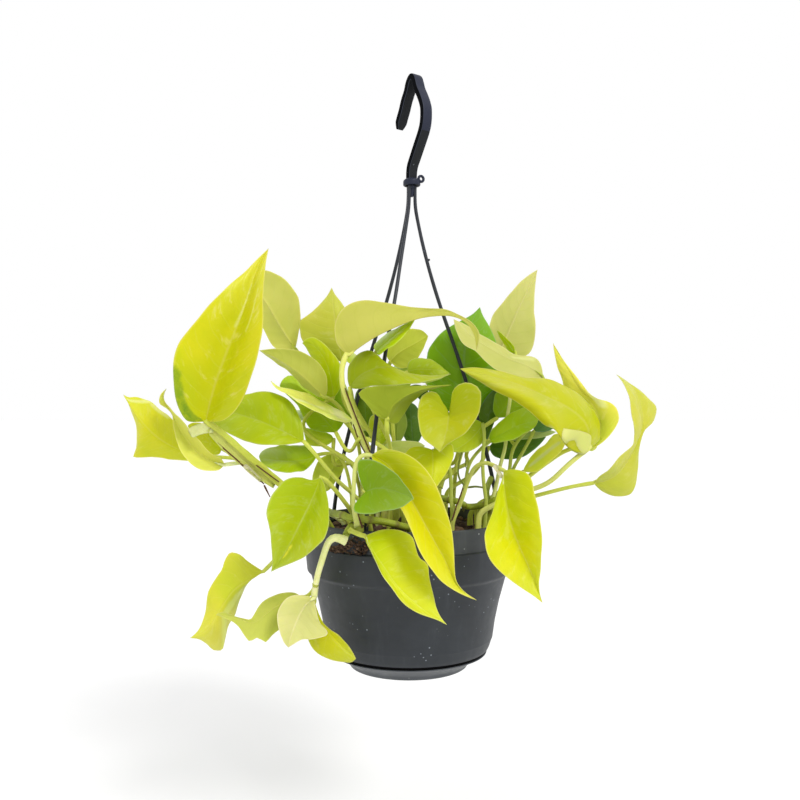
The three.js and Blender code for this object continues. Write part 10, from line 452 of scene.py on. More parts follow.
def blade(mesh, net, rng, nveins, wave=1.0, quilt=1.0):
    """a thin closed blade lofted over the net, with its midrib, swellings between the veins and a wavy margin"""
    L = np.linalg.norm(np.diff(net[:, 2], axis=0), axis=1).sum(); W = np.linalg.norm(net[:, 4] - net[:, 0], axis=1).max()
    nu = int(np.clip(L / 1.9, 26, 62)); t = np.linspace(0, 1, nu)
    x = 14 * (0.55 * t + 0.45 * (0.5 - 0.5 * np.cos(math.pi * t)))
    C = cubic(net, x, 0.55)                                      # nu, 5, 3
    G = np.moveaxis(cubic(np.moveaxis(C, 1, 0), (VS + 1) * 2, 0.5), 0, 1)   # nu, nv, 3
    nv = len(VS); u = np.repeat((x / 14)[:, None], nv, 1); v = np.repeat(VS[None], nu, 0); av = np.abs(v)
    du = np.gradient(G, axis=0); dv = np.gradient(G, axis=1); Nn = np.cross(du, dv); ln = np.linalg.norm(Nn, axis=-1)
    Nn[0] = Nn[1].mean(0); Nn[-1] = Nn[-2].mean(0); bad = ln < 1e-3 * ln.max(); Nn = unit(Nn); Nn[bad] = unit(Nn[~bad].mean(0))
    size = min(1.0, W / 45.0); env = np.sin(math.pi * np.clip(u, 0, 1)) ** 0.6
    ph = (u - 0.17 * av ** 1.35) * nveins + np.where(v > 0, 0.41, 0)
    k = rng.uniform(0, 6.28, 6)
    d = -0.10 * size * quilt * np.cos(2 * math.pi * (ph + 0.5)) * np.clip(av / 0.3, 0, 1) * (1 - 0.6 * av) * env
    d += 0.55 * size * wave * av ** 2.2 * np.sin(u * 15 + k[0] + v) * env + 0.35 * size * wave * av ** 3 * np.sin(u * 31 + k[1]) * env
    d += 0.5 * size * wave * (np.sin(u * 5.1 + k[2]) * np.sin(v * 2.3 + k[3])) * env * av
    d -= 0.42 * size * np.exp(-(av / 0.045) ** 2) * (1 - 0.7 * u) * env          # furrow over the midrib
    G = G + Nn * d[..., None]
    h = (0.24 - 0.14 * av ** 4) * np.ones_like(u)
    ridge = (1.25 * (1 - u) ** 1.1 + 0.12) * size * np.exp(-(av / 0.04) ** 2) * np.clip(u / 0.03, 0, 1)
    top, bot = G + Nn * h[..., None], G - Nn * (h + ridge)[..., None]
    top[0] = top[0].mean(0); bot[0] = bot[0].mean(0); top[-1] = top[-1].mean(0); bot[-1] = bot[-1].mean(0)
    seg = np.linalg.norm(np.diff(G, axis=1), axis=-1); fromL = np.c_[np.zeros(nu), np.cumsum(seg, 1)]; edge = np.minimum(fromL, fromL[:, -1:] - fromL)
    tipd = np.minimum(edge, 99)
    marg = np.clip(tipd / 1.1, 0, 1)
    ring = np.concatenate([top, bot[:, ::-1]], 1)
    uv = np.stack([u, (v + 1) / 2], -1); uv = np.concatenate([uv, uv[:, ::-1]], 1)
    one, zero = np.ones_like(u), np.zeros_like(u)
    a = np.stack([one, zero, marg, zero], -1); b = np.stack([zero, zero, marg, zero], -1)
    mesh.grid(P(ring), wrap=True, uv=uv, attr=np.concatenate([a, b[:, ::-1]], 1))
    return Nn[:, nv // 2], G[:, nv // 2], x / 14


def stalk(mesh, path, r0, r1, net=None, nrm=None, mid=None, ux=None, wing=0.0, sheath=0.3, seedv=0.0):
    """a leaf stalk: sheathed foot, furrowed upper side, a slightly swollen knee under the blade"""
    p = along(path, step=2.6)
    for _ in range(2):
        p[1:-1] = (p[:-2] + 2 * p[1:-1] + p[2:]) / 4
    n = len(p); s = np.linspace(0, 1, n); Ls = np.linalg.norm(np.diff(p, axis=0), axis=1).sum()
    r = r0 + (r1 - r0) * s ** 0.8
    r *= 1 + sheath * np.clip(1 - s / 0.28, 0, 1) ** 1.5
    if net is not None:
        r *= 1 + 0.16 * np.exp(-((1 - s) * Ls / 4.5 - 0.9) ** 2)
        w = min(1.0, np.linalg.norm(net[:, 4] - net[:, 0], axis=1).max() / 45.0)
        ext = [0.03, 0.07, 0.12]
        q = [np.array([np.interp(e, ux, mid[:, c]) for c in range(3)]) for e in ext]
        qn = [unit(np.array([np.interp(e, ux, nrm[:, c]) for c in range(3)])) for e in ext]
        re = [r1 * 0.80, r1 * 0.55, r1 * 0.28]
        p = np.vstack([p] + [(a - b * (0.30 + c * 0.95))[None] for a, b, c in zip(q, qn, re)]); r = np.r_[r, re]
    sides = 24 if wing else 14
    ref = None
    if net is not None:
        ref = nrm[0]
        t0 = unit(p[1] - p[0])
        ref = ref - t0 * np.dot(ref, t0)
        ref = ref / (np.linalg.norm(ref) + 1e-9) if np.linalg.norm(ref) > 0.2 else None
    R = tube_rings(p, r, sides, groove=0.22, ref=ref)
    if wing:
        a = np.arange(sides) / sides * 2 * math.pi
        k = np.exp(-((np.abs(np.angle(np.exp(1j * (a - 1.05))))) / 0.22) ** 2) + np.exp(-((np.abs(np.angle(np.exp(1j * (a + 1.05))))) / 0.22) ** 2)
        ss = np.linspace(0, 1, len(p)); env = np.clip((0.9 - ss) / 0.25, 0, 1) * np.clip(ss / 0.06 + 0.4, 0, 1)
        env = env * (1 + 0.25 * np.sin(ss * 40))
        R = p[:, None] + (R - p[:, None]) * (1 + wing * k[None, :, None] * env[:, None, None])
    nn = len(p); uu = np.linspace(0, Ls / 40.0, nn) + seedv
    uv = np.stack([np.repeat(uu[:, None], sides, 1), np.repeat((np.arange(sides) / sides)[None], nn, 0)], -1)
    at = np.zeros((nn, sides, 4)); at[..., 1] = 1; at[..., 2] = 1; at[..., 0] = 0.5
    if wing:
        at[..., 3] = np.clip(k, 0, 1)[None] * env[:, None]
    base = mesh.grid(P(R), wrap=True, uv=uv, attr=at, flip=True)
    cap(mesh, base, 0, sides, P(p[0]), False, attr=(0.5, 1, 1, 0)); cap(mesh, base, nn - 1, sides, P(p[-1]), True, attr=(0.5, 1, 1, 0))


PALE = (0.62, 0.66, 0.16, 1)
BASE = {  # top, underside, vein colours of the leaf classes, linear
    "lime": (lin(204, 209, 38), lin(206, 208, 98), lin(222, 222, 110)),
    "limegreen": (lin(178, 194, 14), lin(196, 201, 84), lin(205, 212, 80)),
    "green": (lin(140, 165, 12), lin(180, 190, 80), lin(180, 196, 70)),
    "dark": (lin(92, 127, 14), lin(150, 168, 60), lin(150, 172, 60)),
    "pale": (lin(185, 198, 30), lin(203, 206, 95), lin(218, 219, 125)),
    "grey": (lin(160, 180, 30), lin(153, 168, 52), lin(190, 198, 90)),
    "olive": (lin(140, 158, 30), lin(138, 151, 41), lin(180, 186, 80)),
    "limepale": (lin(196, 206, 40), lin(201, 207, 89), lin(218, 222, 120)),
}
pieces = []


def own(piece, node):
    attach(piece, "root")
    if node:
        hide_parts(node)
    pieces.append(piece)


by_node = {}
for row in LEAVES:
    by_node.setdefault(row[0], []).append(row)
for k, (node, rows) in enumerate(by_node.items()):
    rng = np.random.default_rng(1000 + k)
    mesh = Mesh(); mats = []
    for i, (_, key, cls, col, net, pet, rad) in enumerate(rows):
        look = LOOK.get(key, {})
        top, under, vein = BASE[cls]
        if col:
            c = lin(*col)
            if look.get("under", False):
                under = c; vein = (min(1, c[0] * 1.12), min(1, c[1] * 1.08), min(1, c[2] * 1.35 + 0.02), 1)
            else:
                top = c; vein = (min(1, c[0] * 1.10 + .03), min(1, c[1] * 1.06 + .03), min(1, c[2] * 1.0 + 0.13), 1)
                under = (c[0] * .6 + under[0] * .4, c[1] * .6 + under[1] * .4, c[2] * .5 + under[2] * .5, 1)
        if "undercol" in look:
            under = lin(*look["undercol"])
        net = np.array(net, float).reshape(15, 5, 3) / 10.0
        nvn = look.get("veins", 7 if np.linalg.norm(net[0, 2] - net[-1, 2]) < 55 else 9)
        start = len(mesh.f)
        nrm, mid, ux = blade(mesh, net, rng, nvn, look.get("wave", 1.0), look.get("quilt", 1.0))
        if len(pet):
            stalk(mesh, np.array(pet, float).reshape(-1, 3) / 10.0, rad[0], rad[1], net if key != "L42" else None, nrm, mid, ux, look.get("wing", 0.0), look.get("sheath", 0.35), k * 0.37 + i)
        mesh.m[start:] = [i] * (len(mesh.f) - start)
        mats.append(leaf_material("leaf_" + key, top, under, vein, look.get("streak", 0.22), k * 1.31 + i, nvn, look.get("gloss", 0.36), look.get("edge", 0.7), look.get("tipdark", 0.0), look.get("blot", 0.0),
                                  lin(*look["stalk"]) if "stalk" in look else STALK, look.get("spots_and_highlights", ()), (float(np.linalg.norm(np.diff(net[:, 2], axis=0), axis=1).sum()), float(np.linalg.norm(np.diff(net, axis=1), axis=2).sum(1).max())), look.get("vis", 1.0)))
    ob = mesh.make(node + "_look", mats)
    own(ob, node)

# ------------------------------------------------------------------------------------------------ creeping stems
def vine_material(name):
    m, nt, b, out = nodes_of(name); n = N(nt)
    uv = n.new("ShaderNodeUVMap", uv_map="uv").outputs[0]; geo = n.new("ShaderNodeTexCoord").outputs["Object"]
    a = n.noise(n.scale(uv, (8.0, 20.0, 1.0)), 2.6, 4, 0.6); big = n.noise(geo, 60, 3, 0.5)
    c = n.mix(n.ramp(a, 0.3, 0.72), lin(132, 152, 26), lin(182, 192, 56))
    c = n.mix(n.ramp(big, 0.52, 0.74, 0.0, 0.7), c, lin(96, 104, 34))
    at = n.new("ShaderNodeAttribute", attribute_name="part"); node_, _, _ = n.xyz(at.outputs["Vector"])
    c = n.mix(n.math("MULTIPLY", node_, 0.75), c, lin(104, 84, 40))
    n.put(b.inputs["Base Color"], c)
    n.put(b.inputs["Roughness"], n.math("ADD", 0.42, n.math("MULTIPLY", a, 0.16)))
    n.put(b.inputs["Normal"], n.bump(n.math("ADD", n.math("MULTIPLY", a, 0.5), n.math("MULTIPLY", n.noise(geo, 900, 2, 0.5), 0.3)), 0.5, 0.0006))
    b.inputs["Subsurface Weight"].default_value = 0.1; b.inputs["Subsurface Radius"].default_value = (0.8, 1.0, 0.25); b.inputs["Subsurface Scale"].default_value = 0.001
    return m


def ico(sub=1):
    bm = bmesh.new(); bmesh.ops.create_icosphere(bm, subdivisions=sub, radius=1.0)
    v = np.array([x.co[:] for x in bm.verts]); f = [[x.index for x in q.verts] for q in bm.faces]; bm.free()
    return v, f


ICO_V, ICO_F = ico(2)
VINE_MAT = vine_material("vine_skin")
VINE_KNOBS = {"vine_over_rim": [(np.array([-33.4, -71.6, 109.2]), np.array([3.6, 3.6, 3.3])), (np.array([-36.6, -67.0, 109.2]), np.array([3.4, 3.6, 2.8]))]}
for k, (node, pet, rad) in enumerate(VINES):
    rng = np.random.default_rng(2000 + k); mesh = Mesh()
    p = along(np.array(pet, float).reshape(-1, 3) / 10.0, step=1.3)
    for _ in range(4):
        p[1:-1] = (p[:-2] + 2 * p[1:-1] + p[2:]) / 4
    s = np.linspace(0, 1, len(p)); Lp = np.linalg.norm(np.diff(p, axis=0), axis=1).sum(); r = rad[0] + (rad[1] - rad[0]) * s
    joints_ = np.arange(9.0, Lp - 4, 21.0) + rng.uniform(-3, 3); dm = s * Lp; kn = np.zeros(len(p))
    for j in joints_:
        kn = np.maximum(kn, np.exp(-((dm - j) / 1.5) ** 2))
    R = tube_rings(p, r * (1 + 0.16 * kn), 20, groove=0.10)
    at = np.zeros((len(p), 20, 4)); at[..., 0] = kn[:, None]
    uv = np.stack([np.repeat((dm / 30)[:, None], 20, 1), np.repeat((np.arange(20) / 20)[None], len(p), 0)], -1)
    base = mesh.grid(P(R), wrap=True, uv=uv, attr=at, flip=True)
    cap(mesh, base, 0, 20, P(p[0]), False); cap(mesh, base, len(p) - 1, 20, P(p[-1]), True)
    # short air roots at the joints
    for j in joints_:
        i = int(np.argmin(abs(dm - j))); c = p[i]
        for _ in range(2):
            d = unit(np.array([rng.normal() * .5, rng.normal() * .5 - .2, -1.0])); L = rng.uniform(2.5, 5.0); q = [c + d * r[i] * .6]
            for _s in range(5):
                d = unit(d + rng.normal(size=3) * .25); q.append(q[-1] + d * L / 5)
            rr = np.linspace(0.55, 0.2, 6); A = tube_rings(q, rr, 8); b0 = mesh.grid(P(A), wrap=True, flip=True, attr=np.tile([1.0, 0, 0, 0], (6, 8, 1)))
            cap(mesh, b0, 0, 8, P(q[0]), False, attr=(1, 0, 0, 0)); cap(mesh, b0, 5, 8, P(q[-1]), True, attr=(1, 0, 0, 0))
    for c, rad_ in VINE_KNOBS.get(node, ()):
        # swollen joints where side stems leave
        v_ = ICO_V * rad_ * (1 + 0.10 * np.sin(ICO_V @ np.array([3.1, 2.2, 4.0]) + 1.0))[:, None] + c
        b_ = sum(len(x) for x in mesh.v); mesh.v.append(P(v_)); mesh.uv.append(np.abs(ICO_V[:, :2])); mesh.at.append(np.tile([0.35, 0, 0, 0], (len(v_), 1)).astype(float))
        mesh.f += [[i + b_ for i in f] for f in ICO_F]; mesh.m += [0] * len(ICO_F)
    own(mesh.make(node + "_look", [VINE_MAT]), node)


# ------------------------------------------------------------------------------------------------ pot and saucer
def rounded(profile, r=0.5, n=4):
    """polyline corners turned into short arcs; each point is (r, z) or (r, z, radius)"""
    pts = [np.array(p[:2], float) for p in profile]; rad = [p[2] if len(p) > 2 else r for p in profile]; out = [pts[0]]
    for i in range(1, len(pts) - 1):
        a, b, c = pts[i - 1], pts[i], pts[i + 1]; u1, u2 = unit(a - b), unit(c - b)
        e = min(rad[i], np.linalg.norm(a - b) * 0.45, np.linalg.norm(c - b) * 0.45)
        for t in np.linspace(0, 1, n):
            out.append((b + u1 * e) * (1 - t) ** 2 + 2 * b * t * (1 - t) + (b + u2 * e) * t * t)
    out.append(pts[-1])
    return np.array(out)


def turned(mesh, prof, seg=160):
    """a turned shell: the profile starts and ends on the axis"""
    prof = np.asarray(prof); a = np.arange(seg) / seg * 2 * math.pi
    body = prof[1:-1]
    G = np.stack([np.outer(body[:, 0], np.cos(a)), np.outer(body[:, 0], np.sin(a)), np.repeat(body[:, 1][:, None], seg, 1)], -1)
    base = mesh.grid(P(G), wrap=True, flip=True)
    cap(mesh, base, 0, seg, P([0, 0, prof[0][1]]), False); cap(mesh, base, len(body) - 1, seg, P([0, 0, prof[-1][1]]), True)


POT_PROFILE = [(0, 2.4), (30, 2.4), (41.2, 2.4, .6), (42.9, 4.4, .8), (48.1, 7.8, .8), (54.5, 11.6, .6), (57.6, 11.8, .5), (58.5, 13.5, .2), (59.4, 15.2), (60.9, 19.8), (61.45, 21.3, .3), (61.75, 21.9, .3), (61.9, 23.2), (63.5, 34.4), (66.6, 49), (70.0, 61.4), (71.8, 68, 1.0),
               (74.4, 70.4, 1.0), (75.3, 80), (75.5, 90.5, .7), (73.6, 91.4, .5), (73.9, 99), (74.2, 106.2, .7), (73.6, 107.1, .7), (72.5, 107.0, .6), (71.9, 99), (71.2, 91), (69.8, 68), (64.6, 49), (61.5, 34.4), (59.7, 22.6), (56.2, 13.4), (52.9, 12.6), (47.2, 9.6), (42, 6.2), (40, 4.6), (20, 4.6), (0, 4.6)]
SAUCER_PROFILE = [(0, 1.0), (30, 1.0), (38.8, 0.9, .4), (39.6, 0.0, .4), (43.2, 0, .7), (44.2, 2.8, 1.0), (49.2, 6.0, 1.0), (53.8, 9.0, 1.0), (57.2, 10.2, .4), (57.5, 10.6, .3), (56.9, 11.0, .3), (54.2, 10.6, .6), (48.4, 7.0, 1.0), (43.4, 3.8, .8), (42.4, 2.0, .4), (0, 2.0)]
# the hanger rods run side by side under the hook, then bow out to the rim: height and distance from the axis
ROD_PROFILE = [(101, 67.6), (108, 66.9), (116, 65.8), (127, 64.1), (137, 62), (151, 58.6), (163, 55.4), (181, 50.4), (205, 43), (229, 34.6), (243, 29.5), (252, 26.1), (264, 21.9), (275, 18.2), (287, 14.6),
               (299, 11.2), (305, 9.7), (311, 8.2), (317, 6.8), (323, 5.5), (329, 4.3), (334, 3.2), (340, 2.6), (346, 2.6), (354.6, 2.75)]
RODS = {"hanger_rod_left": [(101, 149.5), (354.6, 149.5)],
        "hanger_rod_front": [(101, 244.5), (110, 244.2), (171, 242.8), (225, 240), (243, 238.5), (267, 237.6), (284, 234.6), (302, 231), (320, 230), (340, 230), (346, 233), (354.6, 236)],
        "hanger_rod_right": [(101, 3), (354.6, 3)]}
HUB = (2.2, 0.0, 354.6)


def rod_path(name):
    z, r = np.array(ROD_PROFILE, float).T; hz, ha = np.array(RODS[name], float).T
    a = np.radians(np.interp(z, hz, ha)); x0 = HUB[0] * (z - 101) / (HUB[2] - 101)
    pts = np.stack([x0 + r * np.cos(a), r * np.sin(a), z], -1)
    for _ in range(2):
        pts[1:-1] = (pts[:-2] + 4 * pts[1:-1] + pts[2:]) / 6
    return pts


def polar(deg, r, z=0.0):
    return np.array([r * math.cos(math.radians(deg)), r * math.sin(math.radians(deg)), z])


POT_MAT = plastic("pot_plastic", lin(31, 36, 41), lin(52, 57, 62), dust=0.35, rough=0.50, streaks=0.45, seed=2.0, bump=0.3)
SAUCER_MAT = plastic("saucer_plastic", lin(68, 72, 76), lin(94, 97, 101), dust=0.4, rough=0.48, streaks=0.15, seed=5.0)
HANGER_MAT = plastic("hanger_plastic", lin(22, 26, 34), lin(46, 52, 62), dust=0.35, rough=0.40, streaks=0.10, seed=7.0, bump=0.15)
HOOK_MAT = plastic("hook_face", lin(34, 38, 54), lin(50, 54, 72), dust=0.30, rough=0.45, streaks=0.08, seed=9.0, bump=0.12, spec=0.2)
# near-black copy of the hook plastic: painted shade on the hook's narrow sides
HOOK_SIDE_SHADE_MAT = plastic("hook_side_painted_shade", lin(5, 6, 9), lin(14, 16, 22), dust=0.2, rough=0.7, streaks=0.05, seed=10.0, bump=0.12, spec=0.04)
# darker neutral copy of the hook plastic: painted shade on the left arm and the lower stem
HOOK_LOW_SHADE_MAT = plastic("hook_lower_face_painted_shade", lin(27, 29, 32), lin(40, 43, 47), dust=0.3, rough=0.5, streaks=0.08, seed=12.0, bump=0.12, spec=0.15)
# lighter copy of the hook plastic: a painted highlight along the hook's corners
HOOK_ARRIS_HIGHLIGHT_MAT = plastic("hook_arris_painted_highlight", lin(44, 48, 60), lin(66, 70, 84), dust=0.4, rough=0.45, streaks=0.1, seed=11.0, bump=0.12, spec=0.2)
COLLAR_MAT = plastic("collar_plastic", lin(46, 50, 53), lin(76, 79, 81), dust=0.5, rough=0.55, streaks=0.55, seed=3.0, bump=0.35)

mesh = Mesh(); turned(mesh, rounded(POT_PROFILE, 0.9, 4), 176)
# near-black material for the pot's foot where it sits in the saucer: painted shadow in the gap
FOOT_SHADOW_MAT = plastic("pot_foot_painted_shadow", lin(8, 8, 9), lin(16, 17, 18), dust=0.2, rough=0.8, streaks=0.0, seed=4.0, bump=0.1, spec=0.03)
pot = mesh.make("pot_look", [POT_MAT, COLLAR_MAT, FOOT_SHADOW_MAT])
cut = Mesh()
for k in range(5):
    c = polar(k * 90 + 45, 30 if k < 4 else 0.0); ring = tube_rings([c + [0, 0, -4], c + [0, 0, 2], c + [0, 0, 9]], [4, 4, 4], 28)
    b0 = cut.grid(P(ring), wrap=True, flip=True); cap(cut, b0, 0, 28, P(c + [0, 0, -4]), False); cap(cut, b0, 2, 28, P(c + [0, 0, 9]), True)
lug = Mesh()
for name in RODS:
    deg = RODS[name][0][1]; u, w = polar(deg, 1), polar(deg + 90, 1); pts = []
    # lug with rounded front corners, tied into the wall
    out = [(72.6, -5), (66.2, -5), (64.9, -4.3), (64.3, -3), (64.3, 3), (64.9, 4.3), (66.2, 5), (72.6, 5)]
    ring = np.array([[u * r + w * t + [0, 0, z] for r, t in out] for z in (99.9, 100.1, 102.0, 102.2)])
    ctr = ring.mean((0, 1)); ring[0] = ctr * [1, 1, 0] + [0, 0, 99.9] + (ring[0] - (ctr * [1, 1, 0] + [0, 0, 99.9])) * .96; ring[3] = ctr * [1, 1, 0] + [0, 0, 102.2] + (ring[3] - (ctr * [1, 1, 0] + [0, 0, 102.2])) * .96
    b0 = lug.grid(P(ring), wrap=True, flip=False); cap(lug, b0, 0, 8, P(ring[0].mean(0)), True); cap(lug, b0, 3, 8, P(ring[3].mean(0)), False)
cutter = cut.make("cut_tmp", []); lugs = lug.make("lug_tmp", [], smooth=False)


def boolean(ob, other, op):
    md = ob.modifiers.new("b", "BOOLEAN"); md.operation = op; md.object = other; md.solver = "EXACT"
    dg = bpy.context.evaluated_depsgraph_get(); me = bpy.data.meshes.new_from_object(ob.evaluated_get(dg)); ob.modifiers.clear()
    old = ob.data; ob.data = me; bpy.data.meshes.remove(old)


def drop(ob):
    me = ob.data; bpy.data.objects.remove(ob); bpy.data.meshes.remove(me)


for ob in (cutter, lugs, pot):
    bm = bmesh.new(); bm.from_mesh(ob.data); bmesh.ops.recalc_face_normals(bm, faces=bm.faces); bm.to_mesh(ob.data); bm.free()
boolean(pot, cutter, "DIFFERENCE"); boolean(pot, lugs, "UNION")
holes = Mesh()
for name in RODS:
    q = rod_path(name); low = q[0]; d = unit(q[1] - q[0])
    ring = tube_rings([low - d * 6, low, low + d * 6], [1.95] * 3, 20); b0 = holes.grid(P(ring), wrap=True, flip=True); cap(holes, b0, 0, 20, P(low - d * 6), False); cap(holes, b0, 2, 20, P(low + d * 6), True)
cutter2 = holes.make("cut_tmp2", [])
boolean(pot, cutter2, "DIFFERENCE")
for ob in (cutter, lugs, cutter2):
    drop(ob)
# lip band in the collar plastic; the foot below 13 mm, in the saucer, in painted shadow
for p_ in pot.data.polygons:
    c = p_.center; r = math.hypot(c.x + HANG[0] / 1000, c.y + HANG[1] / 1000) * 1000; z = c.z * 1000 + HANG[2]
    p_.material_index = 1 if (z > 91.25 and r > 72.0) else 2 if (z < 13.0 and r > 36.0) else 0
    p_.use_smooth = True
own(pot, "pot")
mesh = Mesh(); turned(mesh, rounded(SAUCER_PROFILE, 0.8, 4), 160)
own(mesh.make("saucer_look", [SAUCER_MAT]), "saucer")

# ------------------------------------------------------------------------------------------------ hanger
for name in RODS:
    q = rod_path(name); low = q[0]; d = unit(q[1] - q[0]); foot = low - d * 4.6; mesh = Mesh()
    run = np.concatenate([[foot], q]); cum = np.concatenate([[0], np.cumsum(np.linalg.norm(np.diff(run, axis=0), axis=1))]); Lr = cum[-1]
    ts = np.concatenate([[0, .15, .5, 1.0, 2.0, 2.4, 2.68, 2.72, 4], np.linspace(5, Lr, 150)])
    k_ = cubic(run, np.interp(ts, cum, np.arange(len(run))), 0.5)
    knob = np.interp(ts, [0, .15, .5, 1.0, 2.0, 2.4, 2.68, 2.72, 3], [1.2, 1.7, 2.25, 2.4, 2.4, 2.2, 1.8, 1.55, 1.55])
    rr = np.where(ts < 2.9, knob, np.interp(k_[:, 2], [101, 354.6], [1.55, 1.25]) * (1 + 0.02 * np.sin(ts * .21)))
    ring = tube_rings(k_, rr, 22); uv = np.stack([np.repeat((ts / 30)[:, None], 22, 1), np.repeat((np.arange(22) / 22)[None], len(ts), 0)], -1)
    b0 = mesh.grid(P(ring), wrap=True, flip=True, uv=uv); cap(mesh, b0, 0, 22, P(k_[0]), False); cap(mesh, b0, len(ts) - 1, 22, P(k_[-1]), True)
    if name == "hanger_rod_right":
        # a small nub left by the mould
        at = q[q[:, 2] > 296][0]; o = unit(at * [1, 1, 0]); nub = np.array([at + o * 0.4, at + o * 1.5 + [0, 0, .25], at + o * 2.2 + [0, 0, .45], at + o * 2.5 + [0, 0, .5]])
        ring = tube_rings(nub, [1.15, .95, .7, .35], 14); b0 = mesh.grid(P(ring), wrap=True, flip=True); cap(mesh, b0, 0, 14, P(nub[0]), False); cap(mesh, b0, 3, 14, P(nub[-1]), True)
    own(mesh.make(name + "_look", [HANGER_MAT]), name)

es = np.array([math.cos(math.radians(52)), -math.sin(math.radians(52)), 0.0]); en = np.array([-es[1], es[0], 0.0])
LINE = np.array([(-14.4, 397), (-11.6, 403.4), (-8.3, 410), (-5.6, 416.4), (-2.4, 422), (-0.6, 426.8), (1.2, 429.8), (3.5, 431.4), (6, 430), (7.7, 426.2), (9.4, 421.4), (12.4, 416), (15.2, 410.2), (16.8, 404.8), (16.9, 399.6), (16.2, 394.3), (14.4, 389.3), (9.4, 380.6), (4.1, 371.6), (1.2, 366.4), (0.1, 361.5), (0, 356)])
n_ = 120; pl = cubic(LINE, np.linspace(0, len(LINE) - 1, n_), 0.5)
c3 = np.array([2.2, 0, 0]) + np.outer(pl[:, 0], es) + np.outer(pl[:, 1], [0, 0, 1.0])
tt = unit(np.gradient(c3, axis=0)); mm = np.cross(en, tt); mm = unit(mm)
ang = np.arange(28) / 28 * 2 * math.pi; e_ = 0.24
sx = np.sign(np.cos(ang)) * np.abs(np.cos(ang)) ** e_; sy = np.sign(np.sin(ang)) * np.abs(np.sin(ang)) ** e_
w_ = np.full(n_, 4.15); t_ = np.full(n_, 2.2); s_ = np.linspace(0, 1, n_)
w_ *= np.clip(0.55 + s_ / 0.035 * 0.45, 0, 1); t_ *= np.clip(0.6 + s_ / 0.02 * 0.4, 0, 1)
w_ *= 1 - 0.10 * np.clip((s_ - 0.82) / 0.18, 0, 1)
ring = c3[:, None] + en[None, None] * (sx[None] * w_[:, None])[..., None] + mm[:, None] * (sy[None] * t_[:, None])[..., None]
mesh = Mesh(); uv = np.stack([np.repeat((s_ * 5)[:, None], 28, 1), np.repeat((ang / 6.2832)[None], n_, 0)], -1)
f0_ = len(mesh.f); b0 = mesh.grid(P(ring), wrap=True, uv=uv)
# hook faces: narrow sides near-black as painted shade, corners lighter as a painted highlight, left arm and lower stem
# darker as painted shade
for q_ in range(f0_, len(mesh.f)):
    k_ = (q_ - f0_) % 28; a_ = (k_ + 0.5) / 28 * 2 * math.pi; narrow = abs(math.cos(a_)) > 0.86; corner = 0.62 < abs(math.cos(a_)) <= 0.86
    row = (q_ - f0_) // 28; low_ = pl[row, 1] < 390.4 or row < 36
    mesh.m[q_] = 1 if narrow else 2 if corner else (3 if low_ else 0)
cap(mesh, b0, 0, 28, P(c3[0]), True); cap(mesh, b0, n_ - 1, 28, P(c3[-1]), False)
foot = [(0, 352.0), (5.7, 352.0), (6.2, 352.3), (6.4, 352.8), (6.4, 355.3), (6.1, 356.1), (5.2, 356.9), (4.4, 357.4), (0, 357.5)]
prof = rounded(foot, .5, 3); seg = 40; a = np.arange(seg) / seg * 2 * math.pi; body = prof[1:-1]
G = np.stack([2.4 + np.outer(body[:, 0], np.cos(a)), np.outer(body[:, 0], np.sin(a)), np.repeat(body[:, 1][:, None], seg, 1)], -1)
b0 = mesh.grid(P(G), wrap=True, flip=True); cap(mesh, b0, 0, seg, P([2.4, 0, 352.0]), False); cap(mesh, b0, len(body) - 1, seg, P([2.4, 0, 357.5]), True)
# side loop
A1, A2 = 30, 12; ca = np.array([9.2, -1.5, 357.0]); th = np.arange(A1) / A1 * 2 * math.pi; ph_ = np.arange(A2) / A2 * 2 * math.pi
ax1 = np.array([math.cos(0.5), math.sin(0.5), 0]); ax2 = np.array([0, 0, 1.0]); ax3 = np.cross(ax1, ax2)
T = np.zeros((A1, A2, 3))
for i_, t1 in enumerate(th):
    rd = ax1 * math.cos(t1) + ax2 * math.sin(t1)
    for j_, p1 in enumerate(ph_):
        T[i_, j_] = ca + rd * (2.05 + 1.0 * math.cos(p1)) + ax3 * 1.0 * math.sin(p1)
T = np.concatenate([T, T[:1]], 0); mesh.grid(P(T), wrap=True, flip=True)
# the rods' heads run into a short core under the foot
core = tube_rings([[2.3, 0, 353.0], [2.3, 0, 350.0], [2.25, 0, 346.5], [2.2, 0, 344.0]], [2.6, 2.3, 1.7, 1.1], 16)
b0 = mesh.grid(P(core), wrap=True, flip=True); cap(mesh, b0, 0, 16, P([2.3, 0, 353.0]), False); cap(mesh, b0, 3, 16, P([2.2, 0, 344.0]), True)
own(mesh.make("hook_look", [HOOK_MAT, HOOK_SIDE_SHADE_MAT, HOOK_ARRIS_HIGHLIGHT_MAT, HOOK_LOW_SHADE_MAT]), "hook")


